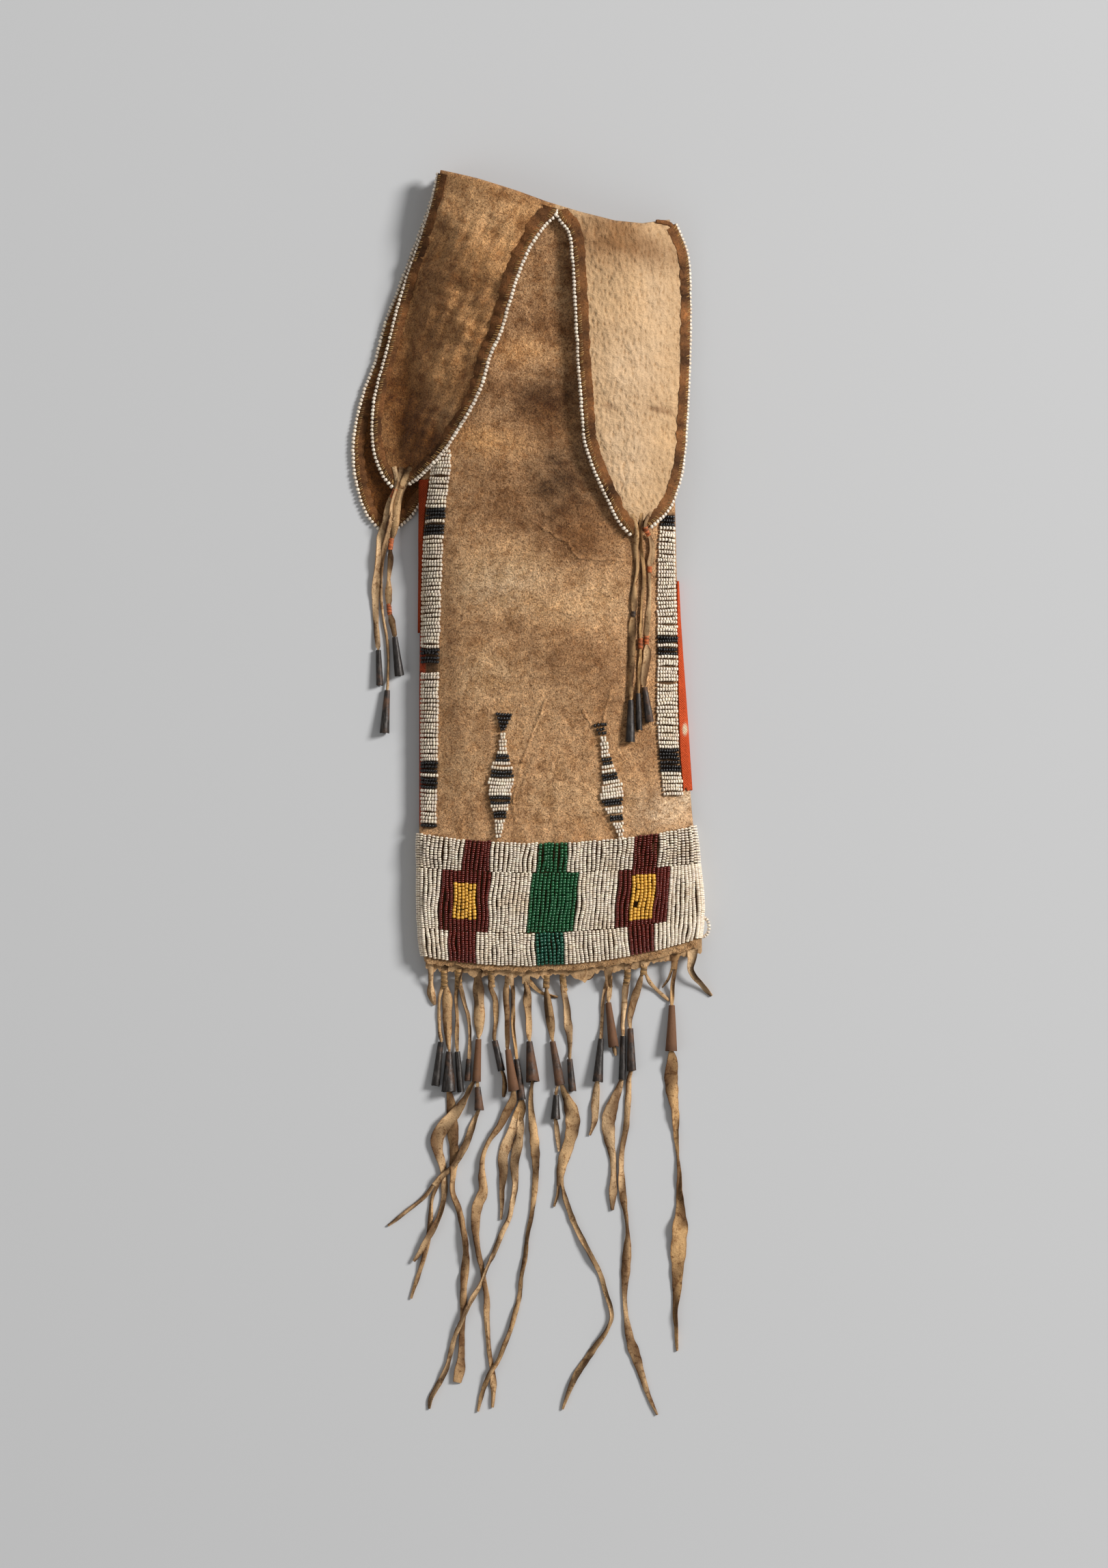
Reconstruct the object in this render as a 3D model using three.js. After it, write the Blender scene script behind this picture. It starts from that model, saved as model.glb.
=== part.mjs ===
import * as THREE from 'three';

// A beaded hide pipe bag lying on its back: millimetres, X across the face, Y toward the mouth,
// Z up off the floor, origin on the flat of the back.
const HIDE = 1.6; // tanned hide of the pouch and its tabs
const THONG = 1.1; // strands of the fringe and of the tabs
const CLOTH = 0.8; // red side gussets
const RIBBON = 0.5; // bindings of the tabs
const BINDING_WIDTH = 3.4;
const BEAD = 2.2; // beadwork standing off the hide
const BEAD_EDGE = 1.6; // beadwork at the edge of a lane
const EDGING_RADIUS = 1.1;
const FOLD = 2.2; // radius of the mouth turned out into the tabs
const SIDE_ROUND = 3.2; // radius of the sides of the pouch
const TAB_FLOOR = HIDE / 2; // middle of the back tabs, which lie on the floor
const TAB_LIFT = 3.4; // middle of a front tab over the middle of the front hide
const STRIP_LIFT = 5.5; // the same where a tab rides over a bead strip
const TAB_REST = 5.2; // front tab where it hangs over the side onto the back tab
const EDGING_LIFT = { front: [0, 2.3], back: [EDGING_RADIUS - TAB_FLOOR, EDGING_RADIUS - TAB_FLOOR] };
const CONE_WALL = 0.35;
const CONE_SIDES = 10;
const GAP = 0.3; // clearance between touching pieces
const ON_HIDE = 0.5; // clearance of pieces sewn on the soft front
const LANE_GAP = 0.48; // clearance of a lane round the pouch
const FIELD_BED = 0.9; // white backing left under a field of coloured beads

// The pouch from hem to mouth: y, left edge, right edge, underside, top.
const PROFILE = [
  [-154, -73.15, 80.85, 2.2, 8.6], [-148.22, -74.07, 82, 2.2, 9.4],
  [-140.53, -75.02, 82.82, 2.2, 10.43], [-130.9, -75.84, 83.55, 2.2, 11.57],
  [-120.89, -75.92, 82.78, 2.2, 12.52], [-111.65, -75.99, 82.03, 2.2, 13.4],
  [-97.02, -76.1, 80.85, 2.2, 14.81], [-88.55, -76.16, 79.89, 2.2, 15.63],
  [-77.77, -76.23, 78.68, 2.2, 16.51], [-66.22, -76.23, 77.71, 0, 17.37],
  [-55.05, -76.23, 77, 0, 18.15], [-38.5, -76.23, 75.92, 0, 19.09],
  [-19.25, -76.23, 74.66, 0, 20.19], [0, -76.23, 73.32, 0, 21.28],
  [19.25, -76.01, 71.94, 0, 22.17], [40.43, -75.78, 70.55, 0, 23.08], [61.6, -75.63, 69.48, 0, 24],
  [73.15, -75.54, 69.13, 2.2, 24.5], [84.7, -75.46, 68.89, 4.4, 25],
  [101.64, -75.35, 68.53, 4.4, 25.73], [119.35, -75.23, 68.34, 4.4, 26.5],
  [142.45, -75.08, 68.09, 4.4, 27.14], [173.25, -73.53, 67.76, 4.4, 28],
  [200.2, -72, 67.57, 4.4, 28.25], [227.15, -70.45, 67.38, 4.4, 28.5],
  [261.8, -67.38, 67.17, 4.4, 27.71], [292.6, -63.91, 66.99, 4.4, 27],
];
const FOOT = PROFILE[0][0];
const LOW = -57.75; // below this the cross rows bend to the hem
const HIGH = 227.15; // above this they bend to the mouth
const TOP = 277.2;
const BACK_DROP = 2.5; // mouth of the back hide below that of the front

const MOUTH = [
  [-63.91, 292.6], [-42.73, 286.82], [-19.64, 279.12], [-4.24, 273.35], [15.02, 267.57],
  [34.27, 262.95], [49.66, 261.8], [66.99, 264.88],
];
const HEM = [[-73.53, -153.23], [-2.7, -158.24], [84.31, -144.38]];

// Section stations over the front (share of the half width) and round the sides (degrees).
const SPAN = [-1, -0.93, -0.83, -0.7, -0.54, -0.37, -0.19, 0, 0.19, 0.37, 0.54, 0.7, 0.83, 0.93, 1];
const SEAM = [9, 34];
const UNDER_ARC = [-9, -34, -62, -90];
const UNDER_SPAN = [0.09, 0.25, 0.41, 0.5, 0.59, 0.75, 0.91];

// Edges of the four tabs of the mouth, from the fold to the tip.
const TAB_ROWS = [0.09, 0.2, 0.32, 0.44, 0.56, 0.68, 0.79, 0.88, 0.95, 1];
const LEFT_FRONT = {
  west: [
  [-63.91, 292.6], [-66.99, 277.2], [-73.53, 256.03], [-81.23, 234.85], [-87.01, 215.6],
  [-93.94, 188.65], [-98.17, 173.25], [-101.25, 154], [-101.25, 142.45], [-99.33, 130.9],
  [-95.09, 121.28], [-90.86, 115.89],
],
  east: [
  [-1.16, 271.04], [-8.09, 259.88], [-15.79, 248.33], [-21.56, 234.85], [-27.34, 215.6],
  [-33.11, 200.2], [-40.81, 184.8], [-46.59, 173.25], [-56.21, 154], [-61.98, 142.45],
  [-69.69, 130.9], [-76.61, 122.43], [-82, 117.04],
],
};
const RIGHT_FRONT = {
  west: [
  [4.24, 270.27], [10.39, 256.03], [11.94, 234.85], [13.09, 215.6], [14.25, 196.35],
  [15.79, 177.1], [18.09, 157.85], [20.79, 138.6], [25.8, 123.2], [32.34, 107.8], [38.88, 94.33],
  [44.27, 87.39],
],
  east: [
  [66.99, 263.73], [73.92, 246.4], [75.46, 223.3], [75.46, 196.35], [74.69, 173.25],
  [73.53, 150.15], [72, 130.9], [68.92, 115.5], [63.14, 102.03], [57.37, 95.48], [53.52, 92.02],
],
};
const LEFT_BACK = {
  west: [
  [-63.91, 287.98], [-74.69, 257.95], [-85.09, 230.23], [-95.09, 204.05], [-100.1, 184.41],
  [-105.49, 170.94], [-109.73, 155.54], [-112.03, 142.84], [-112.42, 133.21], [-111.27, 121.66],
  [-108.57, 109.73], [-103.18, 97.41], [-97.79, 92.02],
],
  east: [
  [-1.93, 270.27], [-11.94, 250.25], [-21.56, 227.15], [-31.19, 196.35], [-42.73, 161.7],
  [-56.21, 130.9], [-65.84, 117.42], [-77, 105.88], [-82, 98.95], [-86.62, 94.71], [-91.25, 91.63],
],
};
const RIGHT_BACK = {
  west: [
  [5.78, 265.65], [9.24, 242.55], [11.94, 215.6], [15.02, 184.8], [18.87, 154], [22.71, 127.05],
  [26.57, 105.88], [29.26, 97.41],
],
  east: [
  [64.3, 261.03], [64.3, 227.15], [62.37, 196.35], [59.29, 165.55], [53.52, 138.6],
  [45.81, 117.42], [38.12, 102.03], [33.49, 96.25],
],
};

// Thongs from the tab tips: x, y, z, width on the floor; x, y, width on the front.
const LEFT_THONGS = [
  [
    [-93.17, 104.72, 5.4, 1.93], [-94.71, 95.48, 5, 1.93], [-97.79, 85.47, 2.2, 1.93],
    [-99.72, 74.69, 0.65, 1.93], [-100.87, 51.98, 0.65, 1.93], [-100.48, 35.04, 0.65, 1.93],
    [-99.38, 23.91, 1.66, 1.8], [-98.6, 3.7, 2.27, 1.6],
  ],
  [
    [-90.67, 104.72, 5.5, 1.93], [-92.4, 95.09, 5.1, 1.93], [-95.09, 84.7, 2.2, 1.93],
    [-96.64, 74.69, 0.65, 1.93], [-97.79, 53.13, 0.65, 1.93], [-96.64, 40.81, 0.65, 1.93],
    [-94.71, 29.64, 0.65, 1.93], [-93.94, 19.25, 0.65, 1.93], [-94.13, 7.7, 0.65, 1.93],
    [-94.25, 1.2, 1.74, 1.8], [-95.81, -23.25, 3.05, 1.6],
  ],
  [
    [-88.17, 105.49, 5.6, 1.93], [-89.7, 95.48, 5.1, 1.93], [-92.02, 83.93, 2.2, 1.93],
    [-93.17, 74.69, 0.65, 1.93], [-93.94, 60.06, 0.65, 1.93], [-92.98, 44.27, 0.65, 1.93],
    [-90.24, 31.22, 1.73, 1.8], [-87.51, 9.08, 2.95, 1.6],
  ]
];
const RIGHT_THONGS = [
  [
    [45.43, 80.85, 1.93], [45.81, 68.53, 1.93], [44.66, 59.29, 1.93], [44.27, 45.05, 1.93],
    [43.89, 38.12, 1.93], [43.12, 19.25, 1.93], [42.54, 3.85, 1.93],
  ],
  [
    [48.9, 82.78, 1.93], [49.47, 62.76, 1.93], [48.51, 45.05, 1.93], [48.12, 28.49, 1.93],
    [47.93, 14.25, 1.93], [46.97, 2.7, 1.93],
  ],
  [
    [53.52, 84.7, 1.93], [53.13, 68.53, 1.93], [53.13, 54.29, 1.93], [52.36, 38.12, 1.93],
    [51.59, 27.34, 1.93], [51.98, 21.56, 1.93], [50.44, 9.62, 1.93], [50.05, 5, 1.93],
  ]
];
const TIP_PAIRS = [[0, 1], [3, 4], [6, 7]];

// Beadwork on the front: y, west edge, east edge; y, centre, half width.
const LEFT_STRIP = [
  [-77.39, -74.88, -65.84], [-66.22, -74.88, -65.64], [-55.05, -74.88, -65.26],
  [-38.5, -74.88, -64.87], [-19.25, -74.88, -64.49], [0, -74.69, -64.3], [19.25, -74.69, -64.1],
  [40.43, -74.31, -63.33], [61.6, -73.77, -62.56], [73.15, -73.34, -61.98], [84.7, -72.77, -61.6],
  [101.64, -71.23, -60.45], [119.35, -68.92, -58.13], [122.43, -68.53, -57.75],
];
const RIGHT_STRIP = [
  [-59.29, 61.22, 72], [-55.05, 60.64, 71.61], [-38.5, 58.52, 70.15], [-19.25, 57.37, 69.3],
  [0, 57.37, 68.92], [19.25, 57.37, 68.72], [40.43, 57.17, 68.53], [61.6, 57.37, 68.34],
  [73.15, 57.56, 68.34], [84.7, 57.94, 68.34], [99.33, 59.29, 68.34],
];
const LEFT_FIGURE = [
  [-82, -30.99, 1.73], [-78.54, -30.8, 2.5], [-74.69, -30.61, 3.27], [-70.84, -30.41, 4.24],
  [-66.99, -30.22, 5], [-63.14, -30.03, 5.97], [-59.29, -30.03, 6.54], [-55.44, -29.84, 6.93],
  [-51.2, -29.84, 7.32], [-46.97, -29.45, 6.54], [-42.35, -29.26, 5.39], [-38.5, -29.07, 4.43],
  [-34.65, -28.88, 2.89], [-30.8, -28.68, 2.31], [-26.18, -28.68, 1.93], [-21.56, -28.49, 1.35],
  [-18.48, -28.3, 2.12], [-15.4, -28.11, 2.89], [-12.71, -28.11, 3.46],
];
const RIGHT_FIGURE = [
  [-81.62, 37.34, 1.54], [-78.54, 36.96, 2.12], [-75.46, 36.19, 3.08], [-72.38, 35.04, 4.04],
  [-68.53, 34.07, 5], [-64.68, 33.11, 5.78], [-61.22, 32.53, 6.74], [-56.98, 32.34, 6.74],
  [-52.75, 32.34, 5.97], [-49.28, 31.57, 4.81], [-45.43, 30.8, 4.24], [-41.58, 30.03, 3.66],
  [-37.73, 29.26, 3.08], [-33.88, 28.68, 2.5], [-29.26, 28.11, 2.12], [-24.64, 27.34, 1.54],
  [-21.95, 26.37, 1.93], [-19.25, 26.18, 2.7],
];

// Red cloth let in at the sides: y, edge on the front.
const LEFT_GUSSET = [
  [32.73, -74.92], [40.43, -74.77], [61.6, -74.31], [73.15, -73.84], [84.7, -73.3],
  [101.64, -71.76], [118.58, -69.69],
];
const RIGHT_GUSSET = [
  [-55.05, 72.38], [-38.5, 70.84], [-19.25, 69.99], [0, 69.53], [19.25, 69.3], [40.43, 69.11],
  [61.6, 68.92],
];
const GUSSET_ARC = [35, 8, -20];

// Bead lanes round the foot: edges between lanes, and the coloured fields of each lane.
const LANE_EDGES = [
  [[-77.39, -80.47], [-0.77, -85.86], [78.92, -76.61]],
  [[-75.84, -100.1], [-0.77, -102.8], [81.23, -97.79]],
  [[-76.61, -133.98], [-4.24, -136.68], [82.39, -127.44]],
  [[-73.53, -150.53], [-2.7, -155.16], [85.86, -138.99]]
];
const LANE_SIDES = [-76.2, 81];
const LANES = ['upper', 'middle', 'lower'];
const LANE_ROWS = [1, 0.72, 0.28, 0];
const LANE_ARC = [40, 8, -28, -60, -90];
const FIELDS = {
  upper: [
    { name: 'maroon_left', top: [-49.66, -35.04], foot: [-51.98, -36.19] },
    { name: 'green', top: [-8.47, 7.7], foot: [-10.39, 6.93] },
    { name: 'maroon_right', top: [45.43, 58.52], foot: [43.89, 57.37] }],
  middle: [
    { name: 'maroon_left', top: [-62.76, -35.04], foot: [-65.06, -37.34] },
    { name: 'green', top: [-12.32, 14.25], foot: [-15.79, 10.78] },
    { name: 'maroon_right', top: [36.19, 65.45], foot: [33.88, 63.14] }],
  lower: [
    { name: 'maroon_left', top: [-59.29, -43.89], foot: [-59.29, -43.89] },
    { name: 'green', top: [-10.78, 5], foot: [-10.01, 5.78] },
    { name: 'maroon_right', top: [41.58, 56.21], foot: [43.12, 56.59] }]
};
const YELLOW = {
  left: { top: [-56.59, -43.12], foot: [-56.98, -43.89], span: [0.2, 0.83] },
  right: { top: [43.89, 57.37], foot: [41.97, 55.05], span: [0.14, 0.9] }
};

// Tin cones: top and mouth of each, with the two radii.
const CONES = {
  fringe_cone_01: { top: [-63.91, -199.05, 1.8], mouth: [-66.99, -223.69, 2.7], radii: [1.7, 2.6] },
  fringe_cone_02: { top: [-59.29, -204.44, 1.9], mouth: [-59.68, -227.15, 4.3], radii: [1.8, 4.2] },
  fringe_cone_03: { top: [-54.67, -204.44, 1.8], mouth: [-52.75, -227.15, 2.4], radii: [1.7, 2.3] },
  fringe_cone_04: { top: [-42.73, -197.5, 1.9], mouth: [-43.89, -221.38, 2.8], radii: [1.8, 2.7] },
  fringe_cone_05: { top: [-48.12, -208.67, 1.7], mouth: [-48.9, -220.99, 2], radii: [1.6, 1.9] },
  fringe_cone_06: { top: [-43.12, -224.46, 1.8], mouth: [-42.35, -237.55, 3], radii: [1.7, 2.9] },
  fringe_cone_07: { top: [-33.49, -198.28, 1.9], mouth: [-29.64, -215.22, 2.4], radii: [1.8, 2.3] },
  fringe_cone_08: { top: [-26.18, -203.28, 4.6], mouth: [-22.71, -226.38, 6.6], radii: [1.8, 3.4] },
  fringe_cone_09: { top: [-21.18, -208.67, 1.8], mouth: [-18.29, -231.77, 2.7], radii: [1.7, 2.6] },
  fringe_cone_10: { top: [-13.86, -198.66, 1.9], mouth: [-11.94, -221.38, 4.3], radii: [1.8, 4.2] },
  fringe_cone_11: { top: [-0.77, -198.66, 1.8], mouth: [3.46, -223.3, 3.1], radii: [1.7, 3] },
  fringe_cone_12: { top: [8.86, -208.67, 1.8], mouth: [10.39, -226.77, 2.6], radii: [1.7, 2.5] },
  fringe_cone_13: { top: [1.16, -229.08, 1.8], mouth: [0.77, -242.55, 3.1], radii: [1.7, 3] },
  fringe_cone_14: { top: [30.8, -176.72, 1.8], mouth: [33.69, -201.74, 3.3], radii: [1.7, 3.2] },
  fringe_cone_15: { top: [26.57, -197.12, 1.8], mouth: [24.64, -221.38, 3.3], radii: [1.7, 3.2] },
  fringe_cone_16: { top: [39.08, -195.58, 1.8], mouth: [38.5, -220.22, 2.3], radii: [1.7, 2.2] },
  fringe_cone_17: { top: [43.12, -191.34, 1.9], mouth: [43.89, -215.22, 2.9], radii: [1.8, 2.8] },
  fringe_cone_18: { top: [66.61, -178.25, 2], mouth: [66.22, -204.05, 3.7], radii: [1.9, 3.6] },
  left_tab_cone_01: { top: [-99.33, 22.71, 1.7], mouth: [-98.56, 2.7, 2.3], radii: [1.6, 2.2] },
  left_tab_cone_02: { top: [-94.33, 0, 1.8], mouth: [-95.87, -24.25, 3.1], radii: [1.7, 3] },
  left_tab_cone_03: { top: [-90.09, 30.03, 1.8], mouth: [-87.39, 8.09, 3], radii: [1.7, 2.9] },
};
const FRONT_CONES = {
  right_tab_cone_01: { top: [42.35, -5.78], mouth: [41.97, -29.26], radii: [1.7, 3] },
  right_tab_cone_02: { top: [46.59, -1.93], mouth: [47.16, -22.71], radii: [1.6, 2] },
  right_tab_cone_03: { top: [50.05, 1.54], mouth: [52.75, -18.09], radii: [1.7, 2.7] },
};

// The fringe, west to east: centre and width at the hem, then x, y, z, width down each strand.
const HEM_MIDDLE = 5.65;
const HEM_SPAN = [-70, 77]; // between the sides of the pouch
const HEM_INSIDE = 8;
const HEM_OUTSIDE = 2.3;
const FRINGE = [
  { root: [-69.69, 4.62], run: [
    [-69.69, -159.39, 5.35, 3.08], [-69.69, -165.94, 2.59, 2.7], [-69.49, -171.33, 0.73, 5],
    [-68.53, -175.56, 0.65, 3.46], [-67.38, -178.25, 0.65, 1.16]
  ] },
  { root: [-61.98, 5.39], run: [
    [-61.98, -159.39, 5.35, 3.85], [-61.98, -168.25, 1.58, 3.85]
  ], tails: [
  { run: [
    [-60.45, -172.48, 0.65, 5], [-60.45, -180.95, 0.65, 5.39], [-60.45, -189.81, 0.65, 5],
    [-60.06, -197.89, 0.65, 3.46], [-59.27, -203.25, 1.77, 1.9], [-59.66, -226.16, 4.19, 1.7],
    [-58.91, -229.46, 0.65, 3.46], [-57.75, -240.24, 0.65, 5.39], [-57.37, -251.41, 0.65, 5.39],
    [-56.59, -261.8, 0.65, 4.62], [-56.59, -271.04, 0.65, 4.62], [-57.17, -282.98, 0.65, 3.85],
    [-53.9, -292.99, 0.65, 3.46], [-51.59, -308.38, 0.65, 4.24], [-50.44, -319.94, 0.65, 5],
    [-50.82, -335.72, 0.65, 4.24], [-51.59, -351.5, 0.65, 3.46], [-51.98, -363.82, 0.65, 3.08],
    [-52.36, -374.99, 0.65, 3.85], [-53.13, -383.46, 0.65, 5.78], [-54.67, -391.55, 0.65, 5]
  ] },
  { run: [
    [-64.3, -172.48, 0.65, 1.93], [-64.87, -184.03, 0.65, 1.93], [-64.49, -194.81, 0.65, 1.93],
    [-63.76, -197.86, 1.76, 1.9], [-66.87, -222.7, 2.66, 1.7]
  ] }] },
  { root: [-53.9, 5.78], run: [
    [-53.9, -159.39, 5.35, 4.62], [-53.9, -168.25, 1.58, 4.24]
  ], tails: [
  { run: [
    [-52.36, -172.09, 0.66, 3.08], [-50.82, -177.87, 0.65, 2.7], [-48.9, -184.41, 0.65, 2.31],
    [-47.55, -191.73, 0.65, 1.93], [-47.74, -200.97, 0.65, 1.93], [-48.04, -207.47, 1.67, 1.9],
    [-48.84, -219.99, 1.98, 1.7]
  ] },
  { run: [
    [-55.44, -172.48, 0.65, 1.93], [-55.25, -184.8, 0.65, 2.31], [-54.86, -196.35, 0.65, 2.31],
    [-54.77, -203.24, 1.77, 1.9], [-52.83, -226.15, 2.37, 1.7]
  ] }] },
  { root: [-42.73, 6.93], run: [
    [-43.12, -160.93, 4.87, 4.24], [-43.31, -166.71, 2.23, 6.16], [-42.54, -177.1, 0.65, 5.78],
    [-42.35, -189.42, 0.65, 5.78], [-42.54, -194.81, 0.65, 3.08], [-42.67, -196.3, 1.85, 1.9],
    [-43.84, -220.38, 2.76, 1.7]
  ], tails: [
  { run: [
    [-43.19, -223.27, 1.69, 1.9], [-42.41, -236.56, 2.91, 1.7], [-43.89, -241.4, 0.65, 2.7],
    [-46.59, -248.33, 0.65, 3.46], [-50.05, -257.18, 1.25, 3.85], [-55.44, -266.42, 2.65, 3.46],
    [-59.68, -271.04, 2.65, 3.46], [-63.14, -274.5, 2.65, 3.46], [-67.38, -280.28, 1.75, 3.85]
  ], tails: [
  { run: [
    [-68.72, -286.06, 0.65, 2.31], [-69.69, -297.99, 0.65, 2.7], [-70.45, -306.46, 0.65, 3.08],
    [-73.53, -321.48, 0.65, 2.7], [-77.77, -334.18, 0.65, 2.31], [-80.85, -344.19, 0.65, 1.16]
  ] },
  { run: [
    [-72, -285.29, 0.65, 2.31], [-77, -289.91, 0.65, 2.31], [-85.47, -297.22, 0.65, 2.31],
    [-93.94, -303, 0.65, 1.16]
  ] }] },
  { run: [
    [-46.59, -224.46, 1.85, 3.08], [-49.86, -231, 2.45, 4.24], [-55.44, -239.09, 2.95, 5],
    [-60.06, -244.09, 2.65, 4.62], [-63.52, -248.33, 1.45, 3.85], [-66.22, -253.72, 0.65, 3.46],
    [-65.84, -260.26, 0.65, 3.46], [-63.52, -267.19, 0.65, 3.46], [-61.98, -274.12, 0.65, 3.46],
    [-61.98, -281.44, 0.65, 3.46], [-62.37, -288.75, 0.65, 3.08], [-63.91, -296.45, 1.25, 3.08],
    [-67.38, -303.38, 2.65, 3.46], [-71.23, -309.54, 2.65, 3.46], [-75.08, -316.86, 2.55, 3.08],
    [-79.31, -323.01, 2.05, 1.54]
  ] }] },
  { root: [-35.42, 4.62], run: [
    [-35.42, -160.16, 5.13, 3.46], [-35.04, -169.02, 1.3, 3.08], [-33.3, -174.02, 0.65, 3.08],
    [-32.88, -180.56, 0.65, 3.08], [-32.92, -187.11, 0.65, 2.7], [-33.49, -192.5, 0.65, 2.31],
    [-33.76, -197.11, 1.87, 1.9], [-29.86, -214.25, 2.37, 1.7], [-28.49, -218.3, 0.65, 2.31],
    [-27.72, -224.07, 0.65, 3.08], [-28.49, -230.23, 0.65, 1.93]
  ] },
  { root: [-25.41, 6.93], run: [
    [-25.41, -160.93, 4.87, 5.39], [-25.41, -165.55, 2.78, 5]
  ], tails: [
  { run: [
    [-23.29, -171.71, 0.69, 2.31], [-23.1, -180.95, 0.65, 2.31], [-22.71, -192.5, 0.65, 2.31],
    [-21.95, -203.28, 0.65, 1.93], [-21.33, -207.48, 1.75, 1.9], [-18.41, -230.78, 2.66, 1.7],
    [-18.48, -235.62, 0.65, 3.46], [-20.41, -242.55, 0.65, 5.39]
  ], tails: [
  { run: [
    [-18.87, -248.33, 0.65, 3.08], [-20.79, -259.49, 0.65, 3.46], [-22.33, -267.57, 0.65, 3.08],
    [-21.95, -279.12, 0.65, 3.08], [-23.48, -289.13, 0.65, 3.08], [-25.8, -297.99, 0.65, 3.08],
    [-29.64, -307.62, 0.65, 3.08], [-34.27, -319.17, 1.05, 3.08], [-38.5, -328.02, 2.65, 3.08],
    [-41.58, -334.95, 2.65, 3.08], [-46.2, -344.19, 1.45, 3.08], [-49.28, -350.35, 2.25, 2.7],
    [-51.98, -356.51, 2.65, 2.7], [-55.83, -364.98, 1.65, 2.7], [-58.13, -373.45, 0.65, 2.7],
    [-60.06, -381.15, 0.65, 2.7], [-63.52, -389.62, 0.65, 3.08], [-66.99, -396.17, 0.65, 3.08],
    [-69.69, -401.94, 0.65, 2.7], [-70.45, -406.56, 0.65, 1.16]
  ] },
  { run: [
    [-23.48, -248.71, 0.65, 2.7], [-26.18, -255.64, 0.65, 2.7], [-28.88, -264.11, 0.65, 2.7],
    [-28.49, -273.35, 0.65, 2.7], [-29.26, -282.98, 0.65, 2.31], [-29.45, -291.83, 0.65, 1.93],
    [-30.03, -299.53, 0.65, 1.16]
  ] }] },
  { run: [
    [-27.34, -171.71, 1.89, 3.46], [-27.34, -180.95, 2.65, 3.46], [-26.95, -192.5, 3.85, 3.46],
    [-26.37, -198.66, 4.65, 2.7], [-26.36, -202.1, 4.5, 1.9], [-22.86, -225.39, 6.51, 1.7],
    [-23.1, -231, 3.45, 3.46], [-26.57, -238.7, 1.45, 3.46], [-30.41, -246.78, 0.65, 3.08],
    [-36.58, -256.03, 0.65, 2.7], [-40.04, -264.5, 0.65, 2.7], [-40.43, -274.89, 0.65, 3.08],
    [-40.04, -282.98, 0.65, 3.08], [-43.51, -292.22, 0.65, 3.46], [-44.27, -302.61, 0.65, 3.46],
    [-42.35, -318.39, 0.65, 3.08], [-40.04, -329.56, 0.65, 3.08], [-38.12, -340.34, 0.65, 3.46],
    [-38.12, -351.5, 0.65, 3.46], [-37.73, -361.9, 0.65, 3.08], [-36.58, -373.45, 0.65, 2.7],
    [-35.42, -382.31, 0.65, 2.7], [-34.27, -391.55, 0.65, 3.46], [-35.04, -405.79, 0.65, 1.54]
  ] }] },
  { root: [-15.4, 6.93], run: [
    [-15.79, -161.7, 4.57, 4.62], [-15.4, -165.55, 2.78, 5]
  ], tails: [
  { run: [
    [-10.78, -168.25, 0.98, 2.31], [-7.32, -170.94, 0.79, 1.93], [-1.93, -172.48, 0.65, 1.93],
    [2.12, -173.63, 0.65, 1.16]
  ] },
  { run: [
    [-15.4, -170.94, 0.79, 4.24], [-14.63, -183.26, 0.65, 4.24], [-14.25, -193.27, 0.65, 3.08],
    [-13.96, -197.47, 1.77, 1.9], [-12.02, -220.39, 4.2, 1.7], [-12.71, -224.84, 0.65, 1.93],
    [-13.09, -232.54, 0.65, 2.7], [-12.32, -243.71, 0.65, 2.7], [-11.17, -251.41, 0.65, 2.7],
    [-10.39, -263.34, 0.65, 2.7], [-10.39, -274.89, 0.65, 3.08], [-11.17, -285.29, 0.65, 3.08],
    [-12.71, -297.22, 0.65, 2.7], [-14.63, -306.46, 0.65, 2.7], [-16.17, -319.94, 0.65, 3.08],
    [-18.09, -331.87, 0.65, 3.08], [-19.64, -343.42, 0.65, 3.08], [-22.71, -354.59, 0.65, 3.08],
    [-27.34, -369.6, 1.25, 3.08], [-31.57, -379.23, 2.65, 2.7], [-35.8, -385.38, 2.65, 2.7],
    [-38.88, -392.7, 1.45, 2.7], [-41.58, -401.56, 0.65, 2.31], [-43.12, -408.1, 0.65, 1.16]
  ] }] },
  { root: [-4.24, 6.93], run: [
    [-4.24, -160.93, 4.87, 2.31], [-4.43, -168.25, 2.78, 1.93], [-4.04, -173.25, 2.75, 3.46],
    [-3.46, -177.87, 1.65, 5], [-2.7, -184.03, 0.65, 5.39], [-1.54, -191.73, 0.65, 3.85],
    [-0.97, -197.48, 1.74, 1.9], [3.29, -222.32, 3.05, 1.7]
  ], tails: [
  { run: [
    [5.78, -227.92, 0.65, 3.46], [8.09, -233.31, 0.65, 4.62], [10.39, -240.62, 0.65, 6.16],
    [10.39, -249.09, 0.65, 5.78], [8.09, -257.95, 0.65, 4.24], [5.39, -265.65, 0.65, 3.46],
    [3.46, -274.89, 0.65, 3.46], [3.46, -280.28, 0.65, 3.46]
  ], tails: [
  { run: [
    [6.16, -286.82, 0.65, 2.7], [9.24, -295.68, 0.65, 3.08], [14.63, -308, 0.65, 3.08],
    [20.79, -320.7, 0.65, 3.08], [25.41, -328.41, 0.65, 2.7], [29.26, -340.34, 0.65, 3.08],
    [31.96, -349.97, 0.65, 3.08], [32.34, -354.97, 0.65, 3.08], [30.03, -360.75, 0.65, 3.08],
    [24.64, -369.6, 0.65, 3.08], [18.48, -378.45, 0.65, 3.08], [12.71, -387.31, 0.65, 2.7],
    [8.47, -396.17, 0.65, 2.31], [5, -406.94, 0.65, 1.16]
  ] },
  { run: [
    [2.12, -285.67, 0.65, 1.93], [0, -292.22, 0.65, 1.16]
  ] }] },
  { run: [
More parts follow.
